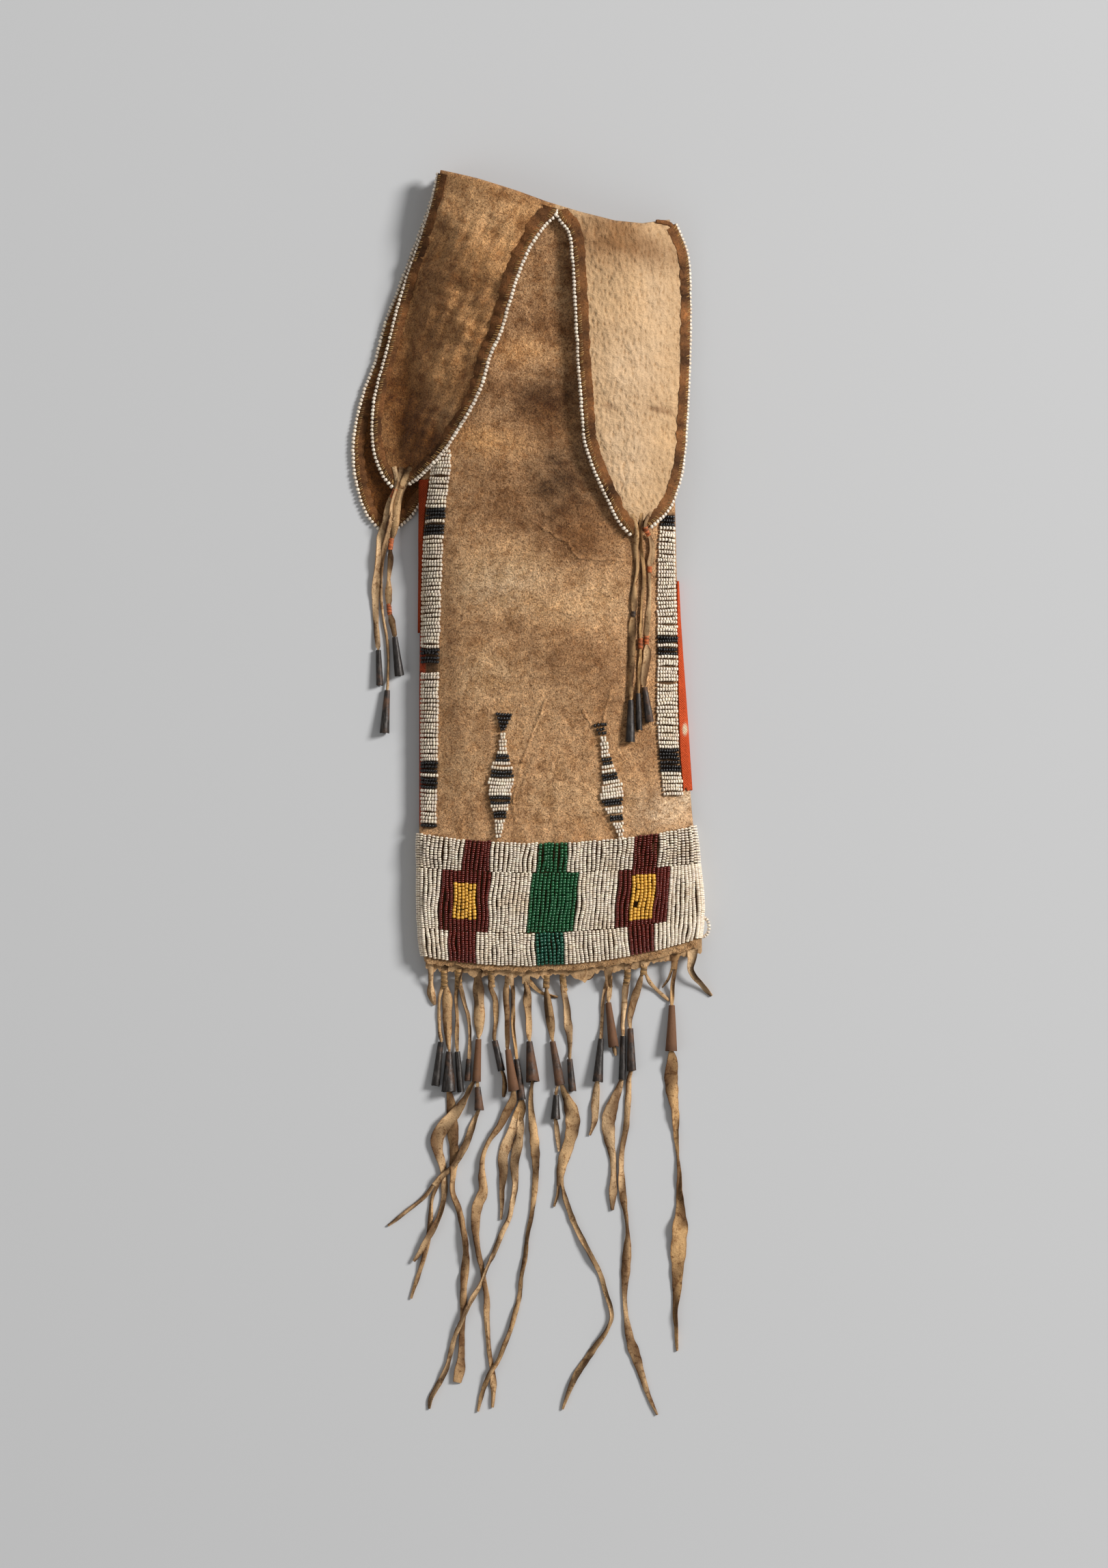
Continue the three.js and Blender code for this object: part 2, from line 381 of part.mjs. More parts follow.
    [1.19, -227.89, 1.68, 1.9], [0.8, -241.56, 3, 1.7], [1.54, -247.17, 0.65, 2.7],
    [2.31, -254.1, 0.65, 2.7], [2.7, -261.03, 0.65, 1.16]
  ] }] },
  { root: [5.39, 6.16], run: [
    [5, -162.47, 4.24, 3.46], [5.78, -170.56, 0.86, 3.46], [6.54, -176.72, 0.65, 3.85],
    [7.7, -188.27, 0.65, 4.62], [8.86, -197.89, 0.65, 3.08], [8.86, -204.82, 0.65, 1.93],
    [8.76, -207.48, 1.75, 1.9], [10.31, -225.77, 2.56, 1.7]
  ] },
  { root: [16.55, 11.55], run: [
    [16.55, -160.55, 5, 10.78], [15.79, -162.47, 4.24, 6.93]
  ] },
  { root: [30.8, 6.93], run: [
    [30.8, -160.93, 4.87, 3.85], [30.61, -167.47, 1.89, 4.62]
  ], tails: [
  { run: [
    [31.19, -171.33, 0.73, 3.08], [30.99, -174.02, 0.65, 2.7], [30.66, -175.53, 1.73, 1.9],
    [33.58, -200.75, 3.24, 1.7], [34.27, -204.05, 0.65, 2.31], [35.04, -206.75, 0.65, 1.16]
  ] },
  { run: [
    [28.3, -171.71, 0.69, 1.93], [27.72, -180.56, 0.65, 1.93], [27.14, -190.96, 0.65, 1.93],
    [26.66, -195.93, 1.73, 1.9], [24.72, -220.39, 3.24, 1.7], [24.25, -224.07, 0.65, 3.08],
    [23.48, -233.69, 0.65, 3.46], [22.71, -243.71, 0.65, 3.08], [20.02, -251.79, 0.65, 1.16]
  ] }] },
  { root: [41.58, 5.39], run: [
    [41.58, -159.39, 5.35, 3.08], [41.2, -164.01, 3.52, 3.46], [40.43, -167.86, 1.73, 3.85],
    [39.66, -176.72, 0.65, 3.08], [39.08, -188.65, 0.65, 2.7], [39.11, -194.38, 1.78, 1.9],
    [38.52, -219.22, 2.28, 1.7], [36.96, -224.84, 0.65, 3.08], [33.49, -234.08, 0.65, 4.24],
    [30.8, -243.71, 0.65, 4.62], [31.19, -253.33, 0.65, 4.24], [33.11, -264.11, 0.65, 3.08],
    [33.88, -274.12, 0.65, 3.08], [33.49, -283.36, 0.65, 3.08], [33.11, -294.14, 0.65, 1.54]
  ] },
  { root: [50.82, 6.16], run: [
    [50.82, -157.08, 5.65, 3.46], [50.63, -160.93, 4.87, 3.08]
  ], tails: [
  { run: [
    [53.9, -164.78, 3.15, 2.31], [58.91, -170.17, 0.95, 1.93], [63.14, -174.02, 0.65, 1.93],
    [65.06, -175.94, 0.65, 1.16]
  ] },
  { run: [
    [48.51, -165.55, 2.78, 3.46], [45.81, -173.63, 0.65, 4.24], [44.08, -180.95, 0.65, 3.85],
    [43.12, -187.11, 0.65, 2.7], [43.08, -190.14, 1.85, 1.9], [43.86, -214.22, 2.86, 1.7],
    [42.73, -219.45, 0.65, 2.7], [41.97, -229.84, 0.65, 3.46], [40.81, -245.25, 0.65, 3.46],
    [38.88, -257.95, 0.65, 3.08], [38.12, -266.42, 0.65, 3.08], [38.12, -276.05, 0.65, 3.08],
    [38.88, -285.29, 0.65, 3.08], [40.81, -299.92, 0.65, 3.08], [41.2, -314.55, 0.65, 3.08],
    [40.62, -326.48, 0.65, 3.08], [40.04, -344.19, 0.65, 3.08], [41.2, -356.89, 0.65, 3.08],
    [43.51, -368.83, 0.65, 3.08], [46.2, -376.53, 0.65, 3.08], [49.28, -386.54, 0.65, 3.08],
    [53.13, -398.09, 0.65, 2.7], [58.52, -410.03, 0.65, 1.16]
  ] }] },
  { root: [68.53, 6.93], run: [
    [68.14, -153.23, 5.65, 3.85], [67.76, -157.85, 5.61, 3.46]
  ], tails: [
  { run: [
    [67.18, -165.55, 2.78, 2.7], [66.8, -174.02, 0.65, 2.31], [66.63, -177.05, 1.92, 1.9],
    [66.24, -203.05, 3.63, 1.7], [66.61, -207.9, 0.65, 4.62], [66.22, -219.45, 0.65, 6.16],
    [67.38, -231, 0.65, 5], [68.53, -241.4, 0.65, 4.24], [69.3, -252.94, 0.65, 3.46],
    [70.07, -264.88, 0.65, 3.46], [71.23, -277.58, 0.65, 3.85], [71.61, -291.06, 0.65, 3.85],
    [71.23, -303, 0.65, 5.39], [70.45, -312.62, 0.65, 4.62], [70.07, -324.56, 0.65, 3.46],
    [69.69, -336.49, 0.65, 3.85], [69.3, -347.27, 0.65, 3.46], [69.3, -358.82, 0.65, 3.08],
    [69.69, -373.84, 0.65, 1.16]
  ] },
  { run: [
    [64.3, -164.01, 3.52, 1.54], [61.22, -168.25, 1.58, 0.96]
  ] }] },
  { root: [78.16, 6.93], run: [
    [77.77, -153.23, 5.65, 4.62], [77.39, -157.47, 5.64, 3.85], [79.31, -161.31, 4.72, 3.46],
    [83.16, -165.55, 2.78, 3.08], [87.01, -170.17, 0.95, 3.08], [89.32, -172.87, 0.65, 1.54]
  ] }
];

const COLOURS = {
  hide: 0xb08a5c, back: 0xa07b50, cloth: 0xb8321c, ribbon: 0x4a3020, white: 0xe8e2d6, maroon: 0x4a1014,
  green: 0x1f5236, yellow: 0xd2a63c, tin: 0x4a3f38, fringe: 0xb69466,
};

const vec = (x, y, z) => new THREE.Vector3(x, y, z);
const mix = (a, b, t) => a + (b - a) * t;
const clamp = (v, a, b) => Math.min(b, Math.max(a, v));
const ease = (t) => clamp(t, 0, 1) ** 2 * (3 - 2 * clamp(t, 0, 1));
const between = (p, q, t) => p.clone().lerp(q, t);

function lookup(table, key) {
  const last = table.length - 1;
  if (key <= table[0][0]) return table[0];
  if (key >= table[last][0]) return table[last];
  const i = table.findIndex((row) => row[0] > key) - 1;
  const t = (key - table[i][0]) / (table[i + 1][0] - table[i][0]);
  return table[i].map((v, c) => mix(v, table[i + 1][c], t));
}

function parabola([a, b, c], x) {
  return a[1] * (x - b[0]) * (x - c[0]) / ((a[0] - b[0]) * (a[0] - c[0]))
    + b[1] * (x - a[0]) * (x - c[0]) / ((b[0] - a[0]) * (b[0] - c[0]))
    + c[1] * (x - a[0]) * (x - b[0]) / ((c[0] - a[0]) * (c[0] - b[0]));
}

function along(line, share) {
  const lengths = [0];
  for (let i = 1; i < line.length; i += 1) {
    lengths.push(lengths[i - 1] + Math.hypot(line[i][0] - line[i - 1][0], line[i][1] - line[i - 1][1]));
  }
  const at = share * lengths[line.length - 1];
  const i = clamp(lengths.findIndex((v) => v >= at) - 1, 0, line.length - 2);
  const t = (at - lengths[i]) / (lengths[i + 1] - lengths[i]);
  return [mix(line[i][0], line[i + 1][0], t), mix(line[i][1], line[i + 1][1], t)];
}

const hemY = (x) => parabola(HEM, x);
const mouthY = (x) => lookup(MOUTH, x)[1];

// Rows run straight across the middle of the bag and bend to the hem below and the mouth above.
function rowY(x, n) {
  if (n < LOW) return n + ((LOW - n) / (LOW - FOOT)) * (hemY(x) - FOOT);
  if (n > HIGH) return n + ((n - HIGH) / (TOP - HIGH)) * (mouthY(x) - TOP);
  return n;
}

function rowOf(x, y) {
  if (y < LOW) {
    const bend = (hemY(x) - FOOT) / (LOW - FOOT);
    return (y - LOW * bend) / (1 - bend);
  }
  if (y > HIGH) {
    const bend = (mouthY(x) - TOP) / (TOP - HIGH);
    return (y + HIGH * bend) / (1 + bend);
  }
  return y;
}

function section(n, inset) {
  const [, left, right, under, top] = lookup(PROFILE, n);
  const round = Math.min(SIDE_ROUND, (top - under) / 2 - 0.05) - inset;
  return {
    left: left + inset, right: right - inset, under: under + inset, top: top - inset, round,
    middle: (left + right) / 2, half: (right - left) / 2 - inset - round / 2,
  };
}

function crease(x, n) {
  const fade = ease((n - LOW) / 40) * ease((HIGH - n) / 50);
  return fade * (0.7 * Math.sin(x / 11 + n / 38) + 0.5 * Math.sin(n / 19 - x / 40));
}

function frontZ(x, n) {
  const s = section(n, HIDE / 2);
  const u = clamp((x - s.middle) / s.half, -1, 1);
  const edge = s.under + 1.866 * s.round;
  return edge + (s.top - edge) * (1 - Math.abs(u) ** 3) + crease(x, n) * (1 - u ** 4);
}

function onFront(x, y, off) {
  const z = (dx, dy) => frontZ(x + dx, rowOf(x + dx, y + dy));
  const normal = vec(z(-0.8, 0) - z(0.8, 0), z(0, -0.8) - z(0, 0.8), 1.6).normalize();
  return vec(x, y, z(0, 0)).addScaledVector(normal, off);
}

// A point round the side of the pouch, off outward of the given section.
function onSide(s, side, degrees, n, off) {
  const a = THREE.MathUtils.degToRad(degrees);
  const edge = side < 0 ? s.left : s.right;
  const x = edge - side * s.round + side * (s.round + off) * Math.cos(a);
  return vec(x, rowY(edge, n), s.under + s.round + (s.round + off) * Math.sin(a));
}

// Closed solid between two matching sets of points; faces run counter-clockwise seen from outside.
function shell(inner, outer, faces) {
  const count = inner.length;
  const index = [];
  const rim = new Map();
  faces.forEach((face) => {
    for (let i = 1; i + 1 < face.length; i += 1) {
      index.push(count + face[0], count + face[i], count + face[i + 1]);
      index.push(face[0], face[i + 1], face[i]);
    }
    face.forEach((a, i) => {
      const b = face[(i + 1) % face.length];
      if (!rim.delete(`${b}:${a}`)) rim.set(`${a}:${b}`, [a, b]);
    });
  });
  rim.forEach(([a, b]) => index.push(a, b, count + b, a, count + b, count + a));
  const geometry = new THREE.BufferGeometry();
  const points = [...inner, ...outer].flatMap((p) => [p.x, p.y, p.z]);
  geometry.setAttribute('position', new THREE.Float32BufferAttribute(points, 3));
  geometry.setIndex(index);
  geometry.computeVertexNormals();
  return geometry;
}

function gridFaces(rows, cols, wrap = false) {
  const faces = [];
  for (let r = 0; r + 1 < rows; r += 1) {
    for (let c = 0; c < (wrap ? cols : cols - 1); c += 1) {
      const d = (c + 1) % cols;
      faces.push([r * cols + c, r * cols + d, (r + 1) * cols + d, (r + 1) * cols + c]);
    }
  }
  return faces;
}

// A sheet of hide drawn by its middle surface and thickened both ways.
class Sheet {
  constructor() {
    this.points = [];
    this.thickness = [];
    this.faces = [];
  }

  add(points, thickness) {
    return points.map((p) => {
      this.thickness.push(thickness);
      return this.points.push(p) - 1;
    });
  }

  bridge(near, far) {
    for (let c = 0; c + 1 < near.length; c += 1) this.faces.push([near[c], near[c + 1], far[c + 1], far[c]]);
  }

  // Carries a ribbon on from an edge of the sheet; forks where the strand has two tails.
  ribbon([a, b], { run, tails = [] }, thickness) {
    let edge = [a, b];
    let from = between(this.points[a], this.points[b], 0.5);
    const across = this.points[a].clone().sub(this.points[b]);
    const first = vec(run[0][0], run[0][1], run[0][2]).sub(from);
    const hand = Math.sign(across.x * -first.y + across.y * first.x);
    run.forEach(([x, y, z, width], i) => {
      const here = vec(x, y, z);
      const next = i + 1 < run.length ? vec(...run[i + 1].slice(0, 3)) : here;
      const heading = next.clone().sub(from).setZ(0).normalize();
      const side = vec(-heading.y, heading.x, 0).multiplyScalar(hand * width / 2);
      const forked = i + 1 === run.length && tails.length === 2;
      const places = forked ? [1, 0, -1] : [1, -1];
      const row = this.add(places.map((k) => here.clone().addScaledVector(side, k)), thickness);
      if (forked) {
        this.faces.push([row[1], row[0], edge[0]], [row[1], edge[0], edge[1]], [row[1], edge[1], row[2]]);
        this.ribbon([row[0], row[1]], tails[0], thickness);
        this.ribbon([row[1], row[2]], tails[1], thickness);
      } else {
        this.bridge(edge, row);
      }
      edge = row;
      from = here;
    });
  }

  geometry() {
    const normals = this.points.map(() => vec(0, 0, 0));
    this.faces.forEach((face) => {
      const [p, q, r, s] = face.map((i) => this.points[i]);
      const normal = r.clone().sub(p).cross((s || r).clone().sub(q));
      if (!s) normal.copy(q.clone().sub(p).cross(r.clone().sub(p)));
      face.forEach((i) => normals[i].add(normal));
    });
    const moved = (way) => this.points.map(
      (p, i) => p.clone().addScaledVector(normals[i].clone().normalize(), way * this.thickness[i] / 2),
    );
    return shell(moved(-1), moved(1), this.faces);
  }
}

const BODY_ROWS = [...PROFILE.map((row) => row[0]).filter((n) => n <= HIGH), 250];

function frontRow(n, atMouth) {
  const row = (x) => (atMouth ? rowOf(x, mouthY(x) - FOLD) : n);
  const s = section(row(0), HIDE / 2);
  const side = (way) => {
    const at = row(way < 0 ? s.left : s.right);
    return SEAM.map((a) => onSide(section(at, HIDE / 2), way, a, at, 0));
  };
  const span = SPAN.map((u) => {
    const x = s.middle + u * s.half;
    return vec(x, rowY(x, row(x)), frontZ(x, row(x)));
  });
  return [...side(-1), ...span, ...side(1).reverse()];
}

function backRow(n, atMouth) {
  const row = (x) => (atMouth ? rowOf(x, mouthY(x) - FOLD - BACK_DROP) : n);
  const s = section(row(0), HIDE / 2);
  const side = (way) => {
    const at = row(way < 0 ? s.left : s.right);
    return UNDER_ARC.map((a) => onSide(section(at, HIDE / 2), way, a, at, 0));
  };
  const span = UNDER_SPAN.map((u) => {
    const x = mix(s.left + s.round, s.right - s.round, u);
    return vec(x, rowY(x, row(x)), s.under);
  });
  return [...side(1), ...span.reverse(), ...side(-1).reverse()];
}

// Height of a front tab: over the front, then hanging past the side of the pouch.
function tabZ(x, y, lift) {
  const n = rowOf(x, y);
  const s = section(n, HIDE / 2);
  const hang = Math.max(s.left + 8 - x, x - s.right + 8, 0);
  if (hang === 0) return frontZ(x, n) + lift;
  const shore = clamp(x, s.left + 8, s.right - 8);
  const fall = Math.abs(frontZ(shore + 1, n) - frontZ(shore - 1, n)) / 2;
  const free = frontZ(shore, n) + lift - fall * hang - hang ** 2 / 120 - TAB_REST;
  return TAB_REST + (free + Math.sqrt(free ** 2 + 4)) / 2;
}

function tabGrid(tab, shares, height) {
  return TAB_ROWS.map((v) => {
    const [wx, wy] = along(tab.west, v);
    const [ex, ey] = along(tab.east, v);
    return shares.map((t) => {
      const x = mix(wx, ex, t);
      const y = mix(wy, ey, t);
      return vec(x, y, height(x, y, v, t));
    });
  });
}

const frontShares = SPAN.slice(0, 8).map((u) => 1 + u);
const leftHeight = (x, y, v) => tabZ(x, y, mix(2 * FOLD, TAB_LIFT, ease(v * 1.2)));
const rightHeight = (x, y, v, t) => tabZ(x, y, mix(2 * FOLD, mix(TAB_LIFT, STRIP_LIFT, t), ease(v * 1.2)));
const flatHeight = () => TAB_FLOOR;
const backShares = [0, 0.2, 0.45, 0.75, 1];
const TABS = {
  left_front: tabGrid(LEFT_FRONT, frontShares, leftHeight),
  right_front: tabGrid(RIGHT_FRONT, SPAN.slice(7), rightHeight),
  left_back: tabGrid(LEFT_BACK, backShares, flatHeight),
  right_back: tabGrid(RIGHT_BACK, backShares, flatHeight),
};

// Turns the top row of a sheet out over itself and carries it on as a tab.
function turnOut(sheet, row, way, grid) {
  let near = row;
  [50, 90, 130, 180].forEach((degrees) => {
    const a = THREE.MathUtils.degToRad(degrees);
    const next = sheet.add(row.map((i) => sheet.points[i].clone().add(
      vec(0, FOLD * Math.sin(a), way * FOLD * (1 - Math.cos(a))),
    )), HIDE);
    sheet.bridge(near, next);
    near = next;
  });
  grid.forEach((points) => {
    const next = sheet.add(points, HIDE);
    sheet.bridge(near, next);
    near = next;
  });
  return near;
}

function frontHide() {
  const sheet = new Sheet();
  const rows = [...BODY_ROWS.map((n) => frontRow(n)), frontRow(0, true)];
  const ids = rows.map((points) => sheet.add(points, HIDE));
  for (let r = 0; r + 1 < ids.length; r += 1) sheet.bridge(ids[r], ids[r + 1]);
  const top = ids[ids.length - 1].slice(SEAM.length, -SEAM.length);
  const notch = SPAN.indexOf(0);
  const left = turnOut(sheet, top.slice(0, notch + 1), 1, TABS.left_front);
  const right = turnOut(sheet, top.slice(notch), 1, TABS.right_front);
  LEFT_THONGS.forEach((run, i) => {
    const [a, b] = TIP_PAIRS[i];
    sheet.ribbon([left[a], left[b]], { run }, THONG);
  });
  const cones = Object.values(frontCones());
  RIGHT_THONGS.forEach((plan, i) => {
    const [a, b] = TIP_PAIRS[i];
    const run = plan.map(([x, y, w]) => {
      const p = onFront(x, y, HIDE / 2 + ON_HIDE + THONG / 2);
      return [p.x, p.y, p.z, w];
    });
    const { top: head, mouth } = cones[i];
    [-0.06, 0.93].forEach((t) => run.push([...between(head, mouth, t).toArray(), 1.7]));
    sheet.ribbon([right[a], right[b]], { run }, THONG);
  });
  return sheet.geometry();
}

function backHide() {
  const sheet = new Sheet();
  const rows = [...BODY_ROWS.map((n) => backRow(n)), backRow(0, true)];
  const ids = rows.map((points) => sheet.add(points, HIDE));
  for (let r = 0; r + 1 < ids.length; r += 1) sheet.bridge(ids[r], ids[r + 1]);
  const flat = ids[ids.length - 1].slice(UNDER_ARC.length - 1, 1 - UNDER_ARC.length);
  const notch = (flat.length - 1) / 2;
  turnOut(sheet, flat.slice(0, notch + 1), -1, TABS.right_back.map((row) => [...row].reverse()));
  turnOut(sheet, flat.slice(notch), -1, TABS.left_back.map((row) => [...row].reverse()));
  return sheet.geometry();
}

// Ribbon sewn along both edges of a tab and across its tip.
function binding(grid) {
  const last = grid.length - 1;
  const inset = (row, fromWest) => {
    const line = fromWest ? row : [...row].reverse();
    let left = Math.min(BINDING_WIDTH, line[0].distanceTo(line[line.length - 1]) * 0.4);
    for (let i = 1; i < line.length; i += 1) {
      const step = line[i].distanceTo(line[i - 1]);
      if (step >= left) return between(line[i - 1], line[i], left / step);
      left -= step;
    }
    return line[line.length - 1].clone();
  };
  const pairs = [];
  const push = (r, west) => {
    const row = grid[r];
    const edge = west ? row[0] : row[row.length - 1];
    const inner = inset(r === last ? row.map((p, i) => between(p, grid[r - 1][i], 0.6)) : row, west);
    pairs.push([inner, edge.clone()]);
  };
  for (let r = 0; r <= last; r += 1) push(r, true);
  for (let r = last; r >= 0; r -= 1) push(r, false);
  const rise = (p, z) => vec(p.x, p.y, p.z + z);
  const base = HIDE / 2 + GAP + 0.2;
  const points = pairs.flat();
  const layer = (z) => points.map((p) => rise(p, z));
  return shell(layer(base), layer(base + RIBBON), gridFaces(pairs.length, 2));
}

// A closed round cord through the given points.
function cord(line, radius, sides) {
  const last = line.length - 1;
  const rings = line.flatMap((p, i) => {
    const run = line[Math.min(i + 1, last)].clone().sub(line[Math.max(i - 1, 0)]).normalize();
    const across = vec(0, 0, 1).cross(run).normalize();
    const up = run.clone().cross(across);
    return Array.from({ length: sides }, (_, k) => {
      const a = (2 * Math.PI * k) / sides;
      const spoke = across.clone().multiplyScalar(Math.cos(a)).addScaledVector(up, Math.sin(a));
      return p.clone().addScaledVector(spoke, radius);
    });
  });
  const index = gridFaces(line.length, sides, true).flatMap(([a, b, c, d]) => [a, b, c, a, c, d]);
  for (let k = 1; k + 1 < sides; k += 1) {
    index.push(0, k + 1, k, last * sides, last * sides + k, last * sides + k + 1);
  }
  const geometry = new THREE.BufferGeometry();
  geometry.setAttribute('position', new THREE.Float32BufferAttribute(rings.flatMap((p) => p.toArray()), 3));
  geometry.setIndex(index);
  geometry.computeVertexNormals();
  return geometry;
}

// Single row of white beads along both edges of a tab, riding over the thongs at the tip.
function edging(grid, lift, rise) {
  const last = grid.length - 1;
  const out = EDGING_RADIUS + 0.5;
  const point = (r, west) => {
    const row = grid[r];
    const edge = west ? row[0] : row[row.length - 1];
    const other = west ? row[row.length - 1] : row[0];
    const before = grid[Math.max(r - 1, 0)][west ? 0 : row.length - 1];
    const after = grid[Math.min(r + 1, last)][west ? 0 : row.length - 1];
    const run = after.clone().sub(before).setZ(0).normalize();
    const away = vec(run.y, -run.x, 0);
    if (away.dot(edge.clone().sub(other)) < 0) away.negate();
    return edge.clone().addScaledVector(away, out).add(vec(0, 0, r >= last - 1 ? rise : lift));
  };
  const line = [];
  for (let r = 0; r <= last; r += 1) line.push(point(r, true));
  const tip = between(grid[last][0], grid[last][grid[last].length - 1], 0.5);
  const neck = between(grid[last - 1][0], grid[last - 1][grid[last].length - 1], 0.5);
  const ahead = tip.clone().sub(neck).setZ(0).normalize();
  line.push(tip.clone().addScaledVector(ahead, out + 0.6).add(vec(0, 0, rise)));
  for (let r = last; r >= 0; r -= 1) line.push(point(r, false));
  return cord(line, EDGING_RADIUS, 6);
}

// A piece of beadwork sewn flat on the front, from rows of west and east edges.
function patch(rows) {
  const humps = [BEAD_EDGE, BEAD, BEAD_EDGE];
  const inner = [];
  const outer = [];
  rows.forEach(([y, west, east]) => humps.forEach((hump, c) => {
    const x = mix(west, east, c / (humps.length - 1));
    inner.push(onFront(x, y, HIDE / 2 + ON_HIDE));
    outer.push(onFront(x, y, HIDE / 2 + ON_HIDE + hump));
  }));
  return shell(inner, outer, gridFaces(rows.length, humps.length));
}

const figureRows = (rows) => rows.map(([y, centre, half]) => [y, centre - half, centre + half]);

function gusset(rows, side) {
  const wall = (off) => rows.flatMap(([n, x]) => {
    const s = section(n, 0);
    const edge = side < 0 ? s.left : s.right;
    const reach = side * (x - edge) + s.round;
    const start = THREE.MathUtils.radToDeg(Math.acos(clamp(reach / s.round, 0, 1)));
    const onto = reach > s.round / 2
      ? [start, mix(start, GUSSET_ARC[0], 0.5)].map((a) => onSide(s, side, a, n, off))
      : [x, mix(x, edge - side * s.round / 2, 0.6)].map((at) => onFront(at, n, HIDE / 2 + off));
    const ring = [...onto, ...GUSSET_ARC.map((a) => onSide(s, side, a, n, off))];
    return side < 0 ? ring.reverse() : ring;
  });
  return shell(wall(GAP + 0.1), wall(GAP + 0.1 + CLOTH), gridFaces(rows.length, GUSSET_ARC.length + 2));
}

const laneY = (lane, x, t) => mix(
  parabola(LANE_EDGES[lane], x) - GAP / 2, parabola(LANE_EDGES[lane + 1], x) + GAP / 2, t,
);
const laneHump = (t) => mix(BEAD_EDGE, BEAD, Math.sin(Math.PI * t));
const laneFront = (lane, x, t, off) => onFront(x, laneY(lane, x, t), HIDE / 2 + off);

// One lane of white beads round the foot of the pouch, bedded down under its coloured fields.
function laneRing(lane) {
  const marks = [];
  FIELDS[LANES[lane]].forEach(({ top, foot }) => {
    [[0, -GAP, 1], [0, 0, 0], [0.25, 0, 0], [0.5, 0, 0], [0.75, 0, 0], [1, 0, 0], [1, GAP, 1]].forEach(
      ([u, shift, full]) => marks.push({ top: mix(...top, u) + shift, foot: mix(...foot, u) + shift, full }),
    );
  });
  const columns = [];
  const sideSection = (side, t) => {
    const edge = LANE_SIDES[side < 0 ? 0 : 1];
    return rowOf(edge, laneY(lane, edge, t));
  };
  const frontEdge = (side) => (t) => {
    const s = section(sideSection(side, t), HIDE / 2);
    return side < 0 ? s.left + s.round / 2 : s.right - s.round / 2;
  };
  const front = (xAt, full) => columns.push((t, outer) => {
    const off = outer ? (full ? laneHump(t) : FIELD_BED) : LANE_GAP;
    return laneFront(lane, xAt(t), t, off);
  });
  front(frontEdge(-1), true);
  front((t) => frontEdge(-1)(t) + 7, true);
  marks.forEach((m, i) => {
    front((t) => mix(m.top, m.foot, t), m.full);
    const next = marks[i + 1];
    if (next && m.full && next.full) {
      front((t) => (mix(m.top, m.foot, t) + mix(next.top, next.foot, t)) / 2, true);
    }
  });
  front((t) => frontEdge(1)(t) - 7, true);
  front(frontEdge(1), true);
  const round = (side, angles) => angles.forEach((a) => columns.push((t, outer) => {
    const n = sideSection(side, t);
    return onSide(section(n, 0), side, a, n, outer ? laneHump(t) : LANE_GAP);
  }));
  round(1, LANE_ARC);
  [0.8, 0.6, 0.4, 0.2].forEach((u) => columns.push((t, outer) => {
    const s = section(sideSection(-1, t), 0);
    const x = mix(s.left + s.round, s.right - s.round, u);
    return vec(x, laneY(lane, x, t), s.under - (outer ? laneHump(t) : LANE_GAP));
  }));
  round(-1, [...LANE_ARC].reverse());
  const wall = (outer) => LANE_ROWS.flatMap((t) => columns.map((at) => at(t, outer)));
  return shell(wall(false), wall(true), gridFaces(LANE_ROWS.length, columns.length, true));
}

// A field of coloured beads laid in a lane, with a window where another colour is set into it.
function field(lane, { top, foot }, rows, window) {
  const low = GAP / 2;
  const stops = window
    ? [[top[0] + low, foot[0] + low], [window.top[0] - low, window.foot[0] - low],
      [window.top[1] + low, window.foot[1] + low], [top[1] - low, foot[1] - low]]
    : [0, 0.5, 1].map((u) => [mix(top[0] + low, top[1] - low, u), mix(foot[0] + low, foot[1] - low, u)]);
  const wall = (outer) => rows.flatMap((t) => stops.map(
    ([a, b]) => laneFront(lane, mix(a, b, t), t, outer ? laneHump(t) : FIELD_BED + GAP),
  ));
  const faces = gridFaces(rows.length, stops.length);
  if (window) faces.splice(4, 1);
  return shell(wall(false), wall(true), faces);
}

function cone({ top, mouth, radii: [small, large] }) {
  const length = top.distanceTo(mouth);
  const profile = [
    [small, 0], [large, length], [large - CONE_WALL, length], [small - CONE_WALL, 0], [small, 0],
  ].map(([r, y]) => new THREE.Vector2(r, y));
  const geometry = new THREE.LatheGeometry(profile, CONE_SIDES);
  const turn = new THREE.Quaternion().setFromUnitVectors(vec(0, 1, 0), mouth.clone().sub(top).normalize());
  return geometry.applyQuaternion(turn).translate(top.x, top.y, top.z);
}

function frontCones() {
  const out = {};
  Object.entries(FRONT_CONES).forEach(([name, { top, mouth, radii }]) => {
    const rest = ([x, y], r) => onFront(x, y, HIDE / 2 + ON_HIDE + r);
    out[name] = { top: rest(top, radii[0]), mouth: rest(mouth, radii[1]), radii };
  });
  return out;
}

function fringe() {
  const sheet = new Sheet();
  const xs = FRINGE.flatMap(({ root: [x, width] }) => [x - width / 2, x + width / 2]);
  const rows = [-HEM_OUTSIDE, 1, HEM_INSIDE].map((up) => sheet.add(
    xs.map((x) => vec(up < 0 ? x : clamp(x, ...HEM_SPAN), hemY(x) + up, HEM_MIDDLE)), up < 0 ? THONG : HIDE,
  ));
  sheet.bridge(rows[0], rows[1]);
  sheet.bridge(rows[1], rows[2]);
  FRINGE.forEach((strand, i) => sheet.ribbon([rows[0][2 * i + 1], rows[0][2 * i]], strand, THONG));
  return sheet.geometry();
}

const bag = new THREE.Group();
bag.name = 'pipe_bag';

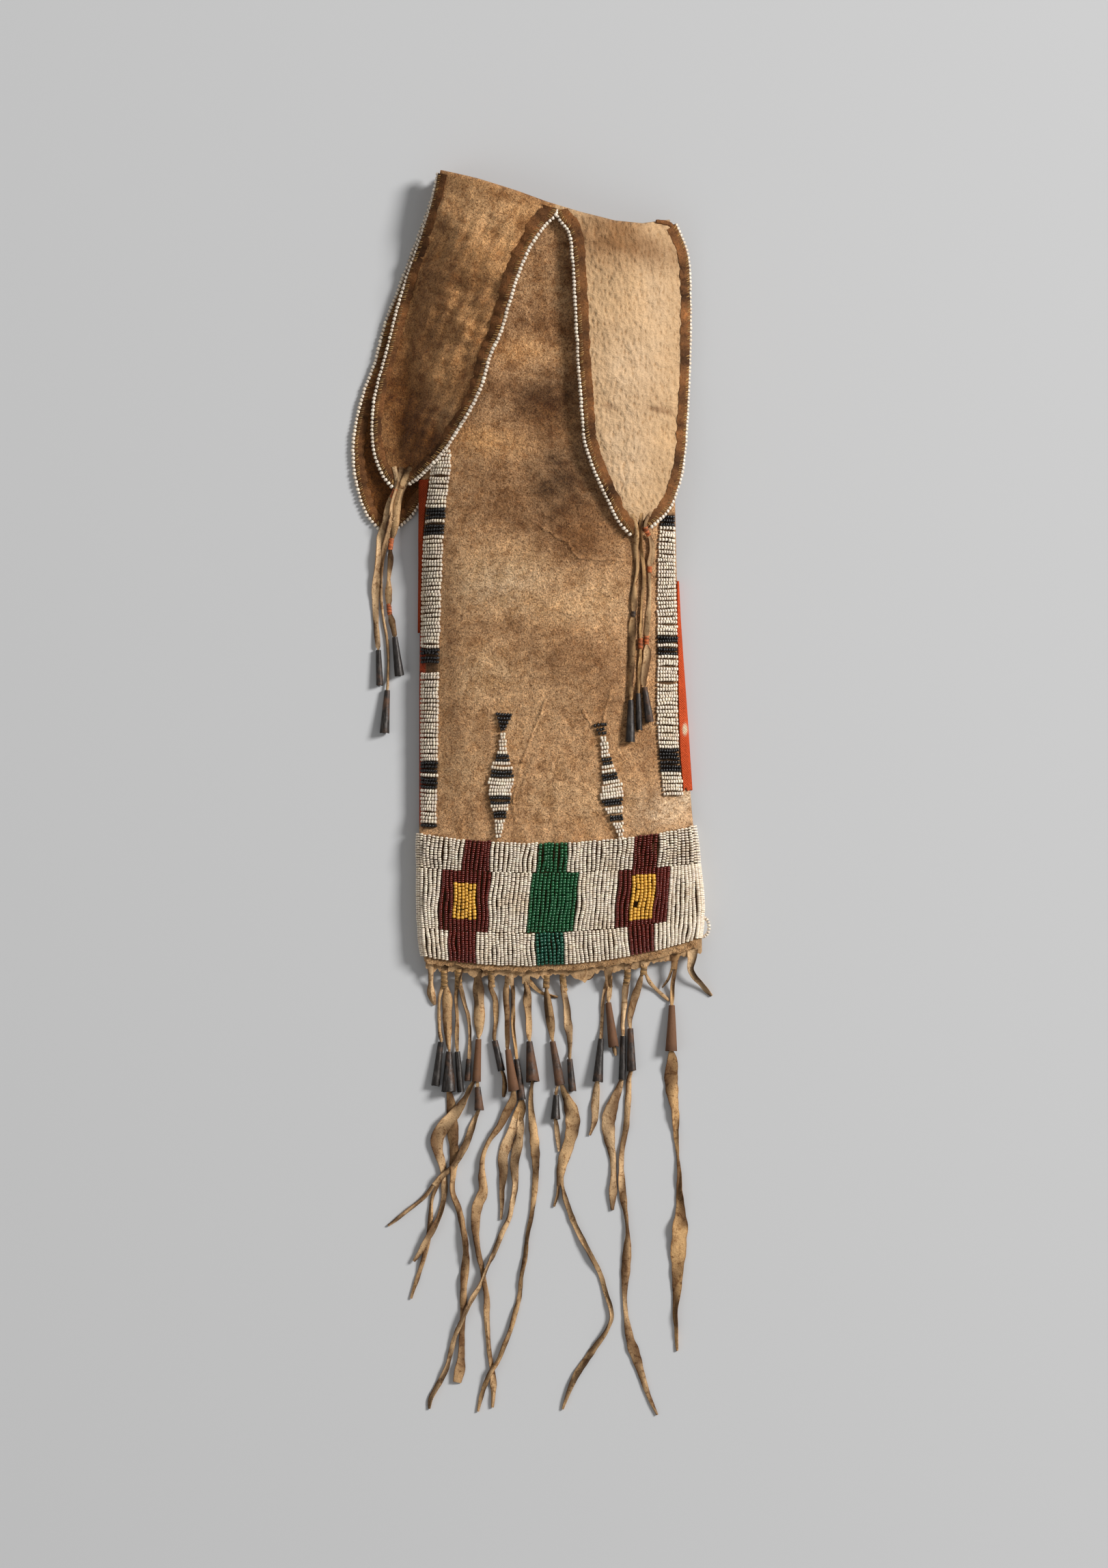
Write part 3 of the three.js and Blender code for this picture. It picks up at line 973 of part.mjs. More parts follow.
function place(name, geometry, colour, roughness = 0.9, metalness = 0) {
  const material = new THREE.MeshStandardMaterial({ color: COLOURS[colour], roughness, metalness });
  const mesh = new THREE.Mesh(geometry, material);
  mesh.name = name;
  bag.add(mesh);
}

place('front_hide', frontHide(), 'hide');
place('back_hide', backHide(), 'back');
place('left_gusset', gusset(LEFT_GUSSET, -1), 'cloth');
place('right_gusset', gusset(RIGHT_GUSSET, 1), 'cloth');
Object.entries(TABS).forEach(([name, grid]) => {
  place(`${name}_binding`, binding(grid), 'ribbon');
  place(`${name}_edging`, edging(grid, ...EDGING_LIFT[name.split('_')[1]]), 'white', 0.35);
});
place('left_bead_strip', patch(LEFT_STRIP), 'white', 0.35);
place('right_bead_strip', patch(RIGHT_STRIP), 'white', 0.35);
place('left_bead_figure', patch(figureRows(LEFT_FIGURE)), 'white', 0.35);
place('right_bead_figure', patch(figureRows(RIGHT_FIGURE)), 'white', 0.35);
LANES.forEach((name, lane) => {
  place(`${name}_lane`, laneRing(lane), 'white', 0.35);
  FIELDS[name].forEach((area) => {
    const [colour, side] = area.name.split('_');
    const window = name === 'middle' ? YELLOW[side] : undefined;
    const rows = window ? [1, window.span[1], window.span[0], 0] : LANE_ROWS;
    place(`${name}_${area.name}`, field(lane, area, rows, window), colour, 0.3);
    if (window) {
      const inner = [0, 0.5, 1].map((u) => mix(window.span[1] - 0.012, window.span[0] + 0.012, u));
      place(`${name}_yellow_${side}`, field(lane, window, inner), 'yellow', 0.35);
    }
  });
});
place('fringe', fringe(), 'fringe');
Object.entries(CONES).forEach(([name, { top, mouth, radii }]) => {
  place(name, cone({ top: vec(...top), mouth: vec(...mouth), radii }), 'tin', 0.55, 0.8);
});
Object.entries(frontCones()).forEach(([name, spec]) => place(name, cone(spec), 'tin', 0.55, 0.8));

export default bag;
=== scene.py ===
"""A beaded hide pipe bag lying on its back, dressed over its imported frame.

Lengths are millimetres until a mesh is made: X across the face, Y toward the mouth, Z up.
"""

import logging
import math
from dataclasses import dataclass, field
from enum import Enum

import bpy
import numpy as np
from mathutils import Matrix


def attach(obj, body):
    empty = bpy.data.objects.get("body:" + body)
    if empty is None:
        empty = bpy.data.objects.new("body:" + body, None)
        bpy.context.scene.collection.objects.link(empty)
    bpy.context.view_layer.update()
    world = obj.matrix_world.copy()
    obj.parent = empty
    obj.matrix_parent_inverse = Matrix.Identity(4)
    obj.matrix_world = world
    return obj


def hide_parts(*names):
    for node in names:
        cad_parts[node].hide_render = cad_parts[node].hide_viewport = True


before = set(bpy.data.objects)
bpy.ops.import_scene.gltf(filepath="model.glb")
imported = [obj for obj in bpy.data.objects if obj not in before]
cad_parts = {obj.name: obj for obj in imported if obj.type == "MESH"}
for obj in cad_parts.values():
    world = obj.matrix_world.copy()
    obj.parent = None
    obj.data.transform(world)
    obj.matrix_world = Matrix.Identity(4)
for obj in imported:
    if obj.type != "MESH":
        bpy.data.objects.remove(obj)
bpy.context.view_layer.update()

LOG = logging.getLogger("pipe_bag")
Array = np.ndarray
Colour = tuple[float, float, float]
Pair = tuple[float, float]
Rows = tuple[tuple[float, ...], ...]
METRE = 0.001
PER_METRE = 1000.0
UP = np.array([0.0, 0.0, 1.0])
TURN = 2 * math.pi
# Height of the middle of a strand that rests on the floor.
FLOOR_REST = 0.7

# The pouch from hem to mouth: row, left edge, right edge, underside, top.
PROFILE: Rows = (
    (-154, -73.2, 80.8, 2.2, 8.6), (-148.2, -74.1, 82, 2.2, 9.4), (-140.5, -75, 82.8, 2.2, 10.4),
    (-130.9, -75.8, 83.5, 2.2, 11.6), (-120.9, -75.9, 82.8, 2.2, 12.5), (-111.7, -76, 82, 2.2, 13.4),
    (-97, -76.1, 80.8, 2.2, 14.8), (-88.5, -76.2, 79.9, 2.2, 15.6), (-77.8, -76.2, 78.7, 2.2, 16.5),
    (-66.2, -76.2, 77.7, 0, 17.4), (-55, -76.2, 77, 0, 18.1), (-38.5, -76.2, 75.9, 0, 19.1),
    (-19.2, -76.2, 74.7, 0, 20.2), (0, -76.2, 73.3, 0, 21.3), (19.2, -76, 71.9, 0, 22.2),
    (40.4, -75.8, 70.5, 0, 23.1), (61.6, -75.6, 69.5, 0, 24), (73.2, -75.5, 69.1, 2.2, 24.5),
    (84.7, -75.5, 68.9, 4.4, 25), (101.6, -75.3, 68.5, 4.4, 25.7), (119.3, -75.2, 68.3, 4.4, 26.5),
    (142.4, -75.1, 68.1, 4.4, 27.1), (173.2, -73.5, 67.8, 4.4, 28), (200.2, -72, 67.6, 4.4, 28.2),
    (227.2, -70.5, 67.4, 4.4, 28.5), (261.8, -67.4, 67.2, 4.4, 27.7), (292.6, -63.9, 67, 4.4, 27),
)
# Lip of the mouth and line of the hem: across, along.
MOUTH: Rows = (
    (-63.9, 292.6), (-42.7, 286.8), (-19.6, 279.1), (-4.2, 273.4), (15, 267.6), (34.3, 262.9), (49.7, 261.8),
    (67, 264.9),
)
HEM: Rows = (
    (-73.5, -153.2), (-2.7, -158.2), (84.3, -144.4),
)
# Beadwork lanes: three points on each of their four edges.
LANE_EDGES: tuple[Rows, ...] = (
    ((-77.4, -80.5), (-0.8, -85.9), (78.9, -76.6)),
    ((-75.8, -100.1), (-0.8, -102.8), (81.2, -97.8)),
    ((-76.6, -134), (-4.2, -136.7), (82.4, -127.4)),
    ((-73.5, -150.5), (-2.7, -155.2), (85.9, -139)),
)
# Edges of the four tabs from the fold to the tip.
LEFT_FRONT_WEST: Rows = (
    (-63.9, 292.6), (-67, 277.2), (-73.5, 256), (-81.2, 234.8), (-87, 215.6), (-93.9, 188.7), (-98.2, 173.2),
    (-101.2, 154), (-101.2, 142.4), (-99.3, 130.9), (-95.1, 121.3), (-90.9, 115.9),
)
LEFT_FRONT_EAST: Rows = (
    (-1.16, 271.04), (-7.6, 259.9), (-14.6, 248.3), (-20.6, 234.9), (-26.6, 215.6), (-31.2, 200.2), (-37.4, 186.5),
    (-41, 173), (-47.6, 158.5), (-55.6, 146), (-64.2, 133.5), (-74.6, 123), (-82, 117.04),
)
RIGHT_FRONT_WEST: Rows = (
    (4.24, 270.27), (9.8, 256.03), (12.2, 234.85), (13.2, 215.6), (14.3, 196.35), (15.4, 177.1), (16.9, 157.85),
    (18.8, 138.6), (23.8, 123.2), (31.1, 107.8), (38, 94.5), (44.27, 87.39),
)
RIGHT_FRONT_EAST: Rows = (
    (67, 263.7), (73.9, 246.4), (75.5, 223.3), (75.5, 196.3), (74.7, 173.2), (73.5, 150.2), (72, 130.9),
    (68.9, 115.5), (63.1, 102), (57.4, 95.5), (53.5, 92),
)
LEFT_BACK_WEST: Rows = (
    (-63.9, 288), (-74.7, 257.9), (-85.1, 230.2), (-95.1, 204.1), (-100.1, 184.4), (-105.5, 170.9), (-109.7, 155.5),
    (-112, 142.8), (-112.4, 133.2), (-111.3, 121.7), (-108.6, 109.7), (-103.2, 97.4), (-97.8, 92),
)
LEFT_BACK_EAST: Rows = (
    (-1.9, 270.3), (-11.9, 250.2), (-21.6, 227.2), (-31.2, 196.3), (-42.7, 161.7), (-56.2, 130.9), (-65.8, 117.4),
    (-77, 105.9), (-82, 99), (-86.6, 94.7), (-91.2, 91.6),
)
RIGHT_BACK_WEST: Rows = (
    (5.8, 265.6), (9.2, 242.6), (11.9, 215.6), (15, 184.8), (18.9, 154), (22.7, 127), (26.6, 105.9), (29.3, 97.4),
)
RIGHT_BACK_EAST: Rows = (
    (64.3, 261), (64.3, 227.2), (62.4, 196.3), (59.3, 165.6), (53.5, 138.6), (45.8, 117.4), (38.1, 102), (33.5, 96.2),
)
# Thongs of the front tabs: across, along and, on the left, height; the right ones lie on the front.
LEFT_THONGS: tuple[Rows, ...] = (
    ((-93.2, 104.7, 5.4), (-94.7, 95.5, 5), (-97.8, 85.5, 2.2), (-99.7, 74.7, 0.7), (-100.9, 52, 0.7),
     (-100.5, 35, 0.7), (-99.4, 23.9, 1.7), (-98.6, 3.7, 2.3)),
    ((-90.7, 104.7, 5.5), (-92.4, 95.1, 5.1), (-95.1, 84.7, 2.2), (-96.6, 74.7, 0.7), (-97.8, 53.1, 0.7),
     (-96.6, 40.8, 0.7), (-94.7, 29.6, 0.7), (-93.9, 19.2, 0.7), (-94.1, 7.7, 0.7), (-94.2, 1.2, 1.7),
     (-95.8, -23.2, 3)),
    ((-88.2, 105.5, 5.6), (-89.7, 95.5, 5.1), (-92, 83.9, 2.2), (-93.2, 74.7, 0.7), (-93.9, 60.1, 0.7),
     (-93, 44.3, 0.7), (-90.2, 31.2, 1.7), (-87.5, 9.1, 3)),
)
RIGHT_THONGS: tuple[Rows, ...] = (
    ((45.4, 80.8), (45.8, 68.5), (44.7, 59.3), (44.3, 45), (43.9, 38.1), (43.1, 19.2), (42.5, 3.9)),
    ((48.9, 82.8), (49.5, 62.8), (48.5, 45), (48.1, 28.5), (47.9, 14.2), (47, 2.7)),
    ((53.5, 84.7), (53.1, 68.5), (53.1, 54.3), (52.4, 38.1), (51.6, 27.3), (52, 21.6), (50.4, 9.6), (50, 5)),
)
# Bead strips (along, west, east), bead figures (along, centre), gussets (along, inner edge).
LEFT_STRIP: Rows = (
    (-77.4, -74.9, -65.8), (-66.2, -74.9, -65.6), (-55, -74.9, -65.3), (-38.5, -74.9, -64.9), (-19.2, -74.9, -64.5),
    (0, -74.7, -64.3), (19.2, -74.7, -64.1), (40.4, -74.3, -63.3), (61.6, -73.8, -62.6), (73.2, -73.3, -62),
    (84.7, -72.8, -61.6), (101.6, -71.2, -60.5), (119.3, -68.9, -58.1), (122.4, -68.5, -57.8),
)
RIGHT_STRIP: Rows = (
    (-59.3, 61.2, 72), (-55, 60.6, 71.6), (-38.5, 58.5, 70.2), (-19.2, 57.4, 69.3), (0, 57.4, 68.9),
    (19.2, 57.4, 68.7), (40.4, 57.2, 68.5), (61.6, 57.4, 68.3), (73.2, 57.6, 68.3), (84.7, 57.9, 68.3),
    (99.3, 59.3, 68.3),
)
LEFT_FIGURE: Rows = (
    (-82, -31), (-78.5, -30.8), (-74.7, -30.6), (-70.8, -30.4), (-67, -30.2), (-63.1, -30), (-59.3, -30),
    (-55.4, -29.8), (-51.2, -29.8), (-47, -29.4), (-42.4, -29.3), (-38.5, -29.1), (-34.6, -28.9), (-30.8, -28.7),
    (-26.2, -28.7), (-21.6, -28.5), (-18.5, -28.3), (-15.4, -28.1), (-12.7, -28.1),
)
RIGHT_FIGURE: Rows = (
    (-81.6, 37.3), (-78.5, 37), (-75.5, 36.2), (-72.4, 35), (-68.5, 34.1), (-64.7, 33.1), (-61.2, 32.5), (-57, 32.3),
    (-52.8, 32.3), (-49.3, 31.6), (-45.4, 30.8), (-41.6, 30), (-37.7, 29.3), (-33.9, 28.7), (-29.3, 28.1),
    (-24.6, 27.3), (-21.9, 26.4), (-19.2, 26.2),
)
LEFT_GUSSET: Rows = (
    (32.7, -74.9), (40.4, -74.8), (61.6, -74.3), (73.2, -73.8), (84.7, -73.3), (101.6, -71.8), (118.6, -69.7),
)
RIGHT_GUSSET: Rows = (
    (-55, 72.4), (-38.5, 70.8), (-19.2, 70), (0, 69.5), (19.2, 69.3), (40.4, 69.1), (61.6, 68.9),
)
# Strands of the fringe, each from its root or fork to its end: across, along, height, width. Rows of three
# leave out the height and rest on the floor.
STRANDS: tuple[Rows, ...] = (
    ((-69.7, -153.4, 5.7, 4.6), (-69.7, -159.4, 5.3, 3.1), (-69.7, -165.9, 2.6, 2.7), (-69.5, -171.3, 5),
     (-68.5, -175.6, 3.5), (-67.4, -178.2, 1.2)),
    ((-62, -154.5, 5.7, 5.4), (-62, -159.4, 5.3, 3.9), (-62, -168.2, 1.6, 3.9)),
    ((-62.9, -167.1, 1.6, 1.9), (-64.3, -172.5, 1.9), (-64.9, -184, 1.9), (-64.5, -194.8, 1.9),
     (-63.8, -197.9, 1.8, 1.9), (-66.9, -222.7, 2.7, 1.7)),
    ((-61, -167.1, 1.6, 1.9), (-60.5, -172.5, 5), (-60.5, -180.9, 5.4), (-60.5, -189.8, 5), (-60.1, -197.9, 3.5),
     (-59.3, -203.2, 1.8, 1.9), (-59.7, -226.2, 4.2, 1.7), (-58.9, -229.5, 3.5), (-57.8, -240.2, 5.4),
     (-57.4, -251.4, 5.4), (-56.6, -261.8, 4.6), (-56.6, -271, 4.6), (-57.2, -283, 3.9), (-53.9, -293, 3.5),
     (-51.6, -308.4, 4.2), (-50.4, -319.9, 5), (-50.8, -335.7, 4.2), (-51.6, -351.5, 3.5), (-52, -363.8, 3.1),
     (-52.4, -375, 3.9), (-53.1, -383.5, 5.8), (-54.7, -391.6, 5)),
    ((-53.9, -155.6, 5.7, 5.8), (-53.9, -159.4, 5.3, 4.6), (-53.9, -168.2, 1.6, 4.2)),
    ((-55, -167.1, 1.6, 2.1), (-55.4, -172.5, 1.9), (-55.2, -184.8, 2.3), (-54.9, -196.3, 2.3),
     (-54.8, -203.2, 1.8, 1.9), (-52.8, -226.2, 2.4, 1.7)),
    ((-52.8, -167.1, 1.6, 2.1), (-52.4, -172.1, 3.1), (-50.8, -177.9, 2.7), (-48.9, -184.4, 2.3),
     (-47.5, -191.7, 1.9), (-47.7, -201, 1.9), (-48, -207.5, 1.7, 1.9), (-48.8, -220, 2, 1.7)),
    ((-42.7, -156.7, 5.7, 6.9), (-43.1, -160.9, 4.9, 4.2), (-43.3, -166.7, 2.2, 6.2), (-42.5, -177.1, 5.8),
     (-42.4, -189.4, 5.8), (-42.5, -194.8, 3.1), (-42.7, -196.3, 1.9, 1.9), (-43.8, -220.4, 2.8, 1.7)),
    ((-44.2, -219.2, 2.8, 0.8), (-46.6, -224.5, 1.9, 3.1), (-49.9, -231, 2.5, 4.2), (-55.4, -239.1, 3, 5),
     (-60.1, -244.1, 2.6, 4.6), (-63.5, -248.3, 1.4, 3.9), (-66.2, -253.7, 3.5), (-65.8, -260.3, 3.5),
     (-63.5, -267.2, 3.5), (-62, -274.1, 3.5), (-62, -281.4, 3.5), (-62.4, -288.8, 3.1), (-63.9, -296.4, 1.2, 3.1),
     (-67.4, -303.4, 2.6, 3.5), (-71.2, -309.5, 2.6, 3.5), (-75.1, -316.9, 2.5, 3.1), (-79.3, -323, 2, 1.5)),
    ((-43.4, -219.2, 2.8, 0.8), (-43.2, -223.3, 1.7, 1.9), (-42.4, -236.6, 2.9, 1.7), (-43.9, -241.4, 2.7),
     (-46.6, -248.3, 3.5), (-50, -257.2, 1.2, 3.9), (-55.4, -266.4, 2.6, 3.5), (-59.7, -271, 2.6, 3.5),
     (-63.1, -274.5, 2.6, 3.5), (-67.4, -280.3, 1.8, 3.9)),
    ((-67.4, -278.7, 1.8, 1.9), (-72, -285.3, 2.3), (-77, -289.9, 2.3), (-85.5, -297.2, 2.3), (-93.9, -303, 1.2)),
    ((-65.9, -279.9, 1.8, 1.9), (-68.7, -286.1, 2.3), (-69.7, -298, 2.7), (-70.5, -306.5, 3.1), (-73.5, -321.5, 2.7),
     (-77.8, -334.2, 2.3), (-80.8, -344.2, 1.2)),
    ((-35.4, -157.2, 5.7, 4.6), (-35.4, -160.2, 5.1, 3.5), (-35, -169, 1.3, 3.1), (-33.3, -174, 3.1),
     (-32.9, -180.6, 3.1), (-32.9, -187.1, 2.7), (-33.5, -192.5, 2.3), (-33.8, -197.1, 1.9, 1.9),
     (-29.9, -214.2, 2.4, 1.7), (-28.5, -218.3, 2.3), (-27.7, -224.1, 3.1), (-28.5, -230.2, 1.9)),
    ((-25.4, -157.7, 5.7, 6.9), (-25.4, -160.9, 4.9, 5.4), (-25.4, -165.6, 2.8, 5)),
    ((-26.7, -164.4, 2.8, 2.5), (-27.3, -171.7, 1.9, 3.5), (-27.3, -180.9, 2.6, 3.5), (-26.9, -192.5, 3.9, 3.5),
     (-26.4, -198.7, 4.7, 2.7), (-26.4, -202.1, 4.5, 1.9), (-22.9, -225.4, 6.5, 1.7), (-23.1, -231, 3.5, 3.5),
     (-26.6, -238.7, 1.4, 3.5), (-30.4, -246.8, 3.1), (-36.6, -256, 2.7), (-40, -264.5, 2.7), (-40.4, -274.9, 3.1),
     (-40, -283, 3.1), (-43.5, -292.2, 3.5), (-44.3, -302.6, 3.5), (-42.4, -318.4, 3.1), (-40, -329.6, 3.1),
     (-38.1, -340.3, 3.5), (-38.1, -351.5, 3.5), (-37.7, -361.9, 3.1), (-36.6, -373.4, 2.7), (-35.4, -382.3, 2.7),
     (-34.3, -391.6, 3.5), (-35, -405.8, 1.5)),
    ((-24.2, -164.4, 2.8, 2.5), (-23.3, -171.7, 2.3), (-23.1, -180.9, 2.3), (-22.7, -192.5, 2.3),
     (-21.9, -203.3, 1.9), (-21.3, -207.5, 1.8, 1.9), (-18.4, -230.8, 2.7, 1.7), (-18.5, -235.6, 3.5),
     (-20.4, -242.6, 5.4)),
    ((-21.4, -241, 2.7), (-23.5, -248.7, 2.7), (-26.2, -255.6, 2.7), (-28.9, -264.1, 2.7), (-28.5, -273.4, 2.7),
     (-29.3, -283, 2.3), (-29.4, -291.8, 1.9), (-30, -299.5, 1.2)),
    ((-18.8, -241.8, 2.7), (-18.9, -248.3, 3.1), (-20.8, -259.5, 3.5), (-22.3, -267.6, 3.1), (-21.9, -279.1, 3.1),
     (-23.5, -289.1, 3.1), (-25.8, -298, 3.1), (-29.6, -307.6, 3.1), (-34.3, -319.2, 1.1, 3.1),
     (-38.5, -328, 2.6, 3.1), (-41.6, -334.9, 2.6, 3.1), (-46.2, -344.2, 1.4, 3.1), (-49.3, -350.4, 2.2, 2.7),
     (-52, -356.5, 2.6, 2.7), (-55.8, -365, 1.6, 2.7), (-58.1, -373.4, 2.7), (-60.1, -381.1, 2.7),
     (-63.5, -389.6, 3.1), (-67, -396.2, 3.1), (-69.7, -401.9, 2.7), (-70.5, -406.6, 1.2)),
    ((-15.4, -157.9, 5.7, 6.9), (-15.8, -161.7, 4.6, 4.6), (-15.4, -165.6, 2.8, 5)),
    ((-16.8, -164.5, 2.8, 2.5), (-15.4, -170.9, 0.8, 4.2), (-14.6, -183.3, 4.2), (-14.2, -193.3, 3.1),
     (-14, -197.5, 1.8, 1.9), (-12, -220.4, 4.2, 1.7), (-12.7, -224.8, 1.9), (-13.1, -232.5, 2.7),
     (-12.3, -243.7, 2.7), (-11.2, -251.4, 2.7), (-10.4, -263.3, 2.7), (-10.4, -274.9, 3.1), (-11.2, -285.3, 3.1),
     (-12.7, -297.2, 2.7), (-14.6, -306.5, 2.7), (-16.2, -319.9, 3.1), (-18.1, -331.9, 3.1), (-19.6, -343.4, 3.1),
     (-22.7, -354.6, 3.1), (-27.3, -369.6, 1.2, 3.1), (-31.6, -379.2, 2.6, 2.7), (-35.8, -385.4, 2.6, 2.7),
     (-38.9, -392.7, 1.4, 2.7), (-41.6, -401.6, 2.3), (-43.1, -408.1, 1.2)),
    ((-14.3, -164.2, 2.8, 2.5), (-10.8, -168.2, 1, 2.3), (-7.3, -170.9, 0.8, 1.9), (-1.9, -172.5, 1.9),
     (2.1, -173.6, 1.2)),
    ((-4.2, -157.8, 5.7, 6.9), (-4.2, -160.9, 4.9, 2.3), (-4.4, -168.2, 2.8, 1.9), (-4, -173.2, 2.8, 3.5),
     (-3.5, -177.9, 1.6, 5), (-2.7, -184, 5.4), (-1.5, -191.7, 3.9), (-1, -197.5, 1.7, 1.9), (3.3, -222.3, 3, 1.7)),
    ((2.7, -221.2, 3, 0.8), (1.2, -227.9, 1.7, 1.9), (0.8, -241.6, 3, 1.7), (1.5, -247.2, 2.7), (2.3, -254.1, 2.7),
     (2.7, -261, 1.2)),
    ((3.5, -221.1, 3, 0.8), (5.8, -227.9, 3.5), (8.1, -233.3, 4.6), (10.4, -240.6, 6.2), (10.4, -249.1, 5.8),
     (8.1, -257.9, 4.2), (5.4, -265.6, 3.5), (3.5, -274.9, 3.5), (3.5, -280.3, 3.5)),
    ((2.6, -279.1, 1.7), (2.1, -285.7, 1.9), (0, -292.2, 1.2)),
    ((4.3, -279.1, 1.7), (6.2, -286.8, 2.7), (9.2, -295.7, 3.1), (14.6, -308, 3.1), (20.8, -320.7, 3.1),
     (25.4, -328.4, 2.7), (29.3, -340.3, 3.1), (32, -350, 3.1), (32.3, -355, 3.1), (30, -360.8, 3.1),
     (24.6, -369.6, 3.1), (18.5, -378.4, 3.1), (12.7, -387.3, 2.7), (8.5, -396.2, 2.3), (5, -406.9, 1.2)),
    ((5.4, -157.4, 5.7, 6.2), (5, -162.5, 4.2, 3.5), (5.8, -170.6, 0.9, 3.5), (6.5, -176.7, 3.9), (7.7, -188.3, 4.6),
     (8.9, -197.9, 3.1), (8.9, -204.8, 1.9), (8.8, -207.5, 1.8, 1.9), (10.3, -225.8, 2.6, 1.7)),
    ((16.6, -156.6, 5.7, 11.6), (16.6, -160.6, 5, 10.8), (15.8, -162.5, 4.2, 6.9)),
    ((30.8, -155, 5.7, 6.9), (30.8, -160.9, 4.9, 3.9), (30.6, -167.5, 1.9, 4.6)),
    ((29.5, -166.2, 1.9, 2.3), (28.3, -171.7, 1.9), (27.7, -180.6, 1.9), (27.1, -191, 1.9), (26.7, -195.9, 1.7, 1.9),
     (24.7, -220.4, 3.2, 1.7), (24.2, -224.1, 3.1), (23.5, -233.7, 3.5), (22.7, -243.7, 3.1), (20, -251.8, 1.2)),
    ((31.8, -166.3, 1.9, 2.3), (31.2, -171.3, 3.1), (31, -174, 2.7), (30.7, -175.5, 1.7, 1.9),
     (33.6, -200.8, 3.2, 1.7), (34.3, -204.1, 2.3), (35, -206.8, 1.2)),
    ((41.6, -153.4, 5.7, 5.4), (41.6, -159.4, 5.3, 3.1), (41.2, -164, 3.5, 3.5), (40.4, -167.9, 1.7, 3.9),
     (39.7, -176.7, 3.1), (39.1, -188.7, 2.7), (39.1, -194.4, 1.8, 1.9), (38.5, -219.2, 2.3, 1.7), (37, -224.8, 3.1),
     (33.5, -234.1, 4.2), (30.8, -243.7, 4.6), (31.2, -253.3, 4.2), (33.1, -264.1, 3.1), (33.9, -274.1, 3.1),
     (33.5, -283.4, 3.1), (33.1, -294.1, 1.5)),
    ((50.8, -151.8, 5.7, 6.2), (50.8, -157.1, 5.7, 3.5), (50.6, -160.9, 4.9, 3.1)),
    ((49.9, -159.7, 4.9, 1.5), (48.5, -165.6, 2.8, 3.5), (45.8, -173.6, 4.2), (44.1, -180.9, 3.9),
     (43.1, -187.1, 2.7), (43.1, -190.1, 1.9, 1.9), (43.9, -214.2, 2.9, 1.7), (42.7, -219.4, 2.7), (42, -229.8, 3.5),
     (40.8, -245.2, 3.5), (38.9, -257.9, 3.1), (38.1, -266.4, 3.1), (38.1, -276.1, 3.1), (38.9, -285.3, 3.1),
     (40.8, -299.9, 3.1), (41.2, -314.6, 3.1), (40.6, -326.5, 3.1), (40, -344.2, 3.1), (41.2, -356.9, 3.1),
     (43.5, -368.8, 3.1), (46.2, -376.5, 3.1), (49.3, -386.5, 3.1), (53.1, -398.1, 2.7), (58.5, -410, 1.2)),
    ((51.5, -159.8, 4.9, 1.5), (53.9, -164.8, 3.1, 2.3), (58.9, -170.2, 0.9, 1.9), (63.1, -174, 1.9),
     (65.1, -175.9, 1.2)),
    ((68.5, -148, 5.7, 6.9), (68.1, -153.2, 5.7, 3.9), (67.8, -157.8, 5.6, 3.5)),
    ((67, -156.6, 5.6, 1.7), (64.3, -164, 3.5, 1.5), (61.2, -168.2, 1.6, 1)),
    ((68.7, -156.7, 5.6, 1.7), (67.2, -165.6, 2.8, 2.7), (66.8, -174, 2.3), (66.6, -177.1, 1.9, 1.9),
     (66.2, -203.1, 3.6, 1.7), (66.6, -207.9, 4.6), (66.2, -219.4, 6.2), (67.4, -231, 5), (68.5, -241.4, 4.2),
     (69.3, -252.9, 3.5), (70.1, -264.9, 3.5), (71.2, -277.6, 3.9), (71.6, -291.1, 3.9), (71.2, -303, 5.4),
     (70.5, -312.6, 4.6), (70.1, -324.6, 3.5), (69.7, -336.5, 3.9), (69.3, -347.3, 3.5), (69.3, -358.8, 3.1),
     (69.7, -373.8, 1.2)),
    ((78.2, -145.6, 5.7, 6.9), (77.8, -153.2, 5.7, 4.6), (77.4, -157.5, 5.6, 3.9), (79.3, -161.3, 4.7, 3.5),
     (83.2, -165.6, 2.8, 3.1), (87, -170.2, 0.9, 3.1), (89.3, -172.9, 1.5)),
)
# Coloured fields of each lane: west and east edge at the top, then at the foot.
FIELDS: dict[str, dict[str, tuple[float, float, float, float]]] = {
    "upper": {
        "maroon_left": (-49.7, -35, -52, -36.2),
        "green": (-8.5, 7.7, -10.4, 6.9),
        "maroon_right": (45.4, 58.5, 43.9, 57.4),
    },
    "middle": {
        "maroon_left": (-62.8, -35, -65.1, -37.3),
        "green": (-12.3, 14.2, -15.8, 10.8),
        "maroon_right": (36.2, 65.5, 33.9, 63.1),
    },
    "lower": {
        "maroon_left": (-59.3, -43.9, -59.3, -43.9),
        "green": (-10.8, 5, -10, 5.8),
        "maroon_right": (41.6, 56.2, 43.1, 56.6),
    },
}
# Yellow insets: edges at the top and foot, then the share of the lane where they start and end.
INSETS: dict[str, tuple[float, ...]] = {
    "left": (-56.6, -43.1, -57, -43.9, 0.2, 0.8),
    "right": (43.9, 57.4, 42, 55, 0.1, 0.9),
}


class Side(Enum):
    """The two edges of the bag seen from above, as the sign of X."""

    LEFT = -1
    RIGHT = 1

    @property
    def word(self) -> str:
        """The side as it stands in the names of pieces, nodes and sections."""
        return self.name.lower()


class Face(Enum):
    """The two hides of the pouch."""

    FRONT = 1
    BACK = -1


class Shade(Enum):
    """A choice of colours, as linear red, green and blue."""

    @property
    def rgb(self) -> Array:
        """The colour as an array."""
        return np.array(self.value)


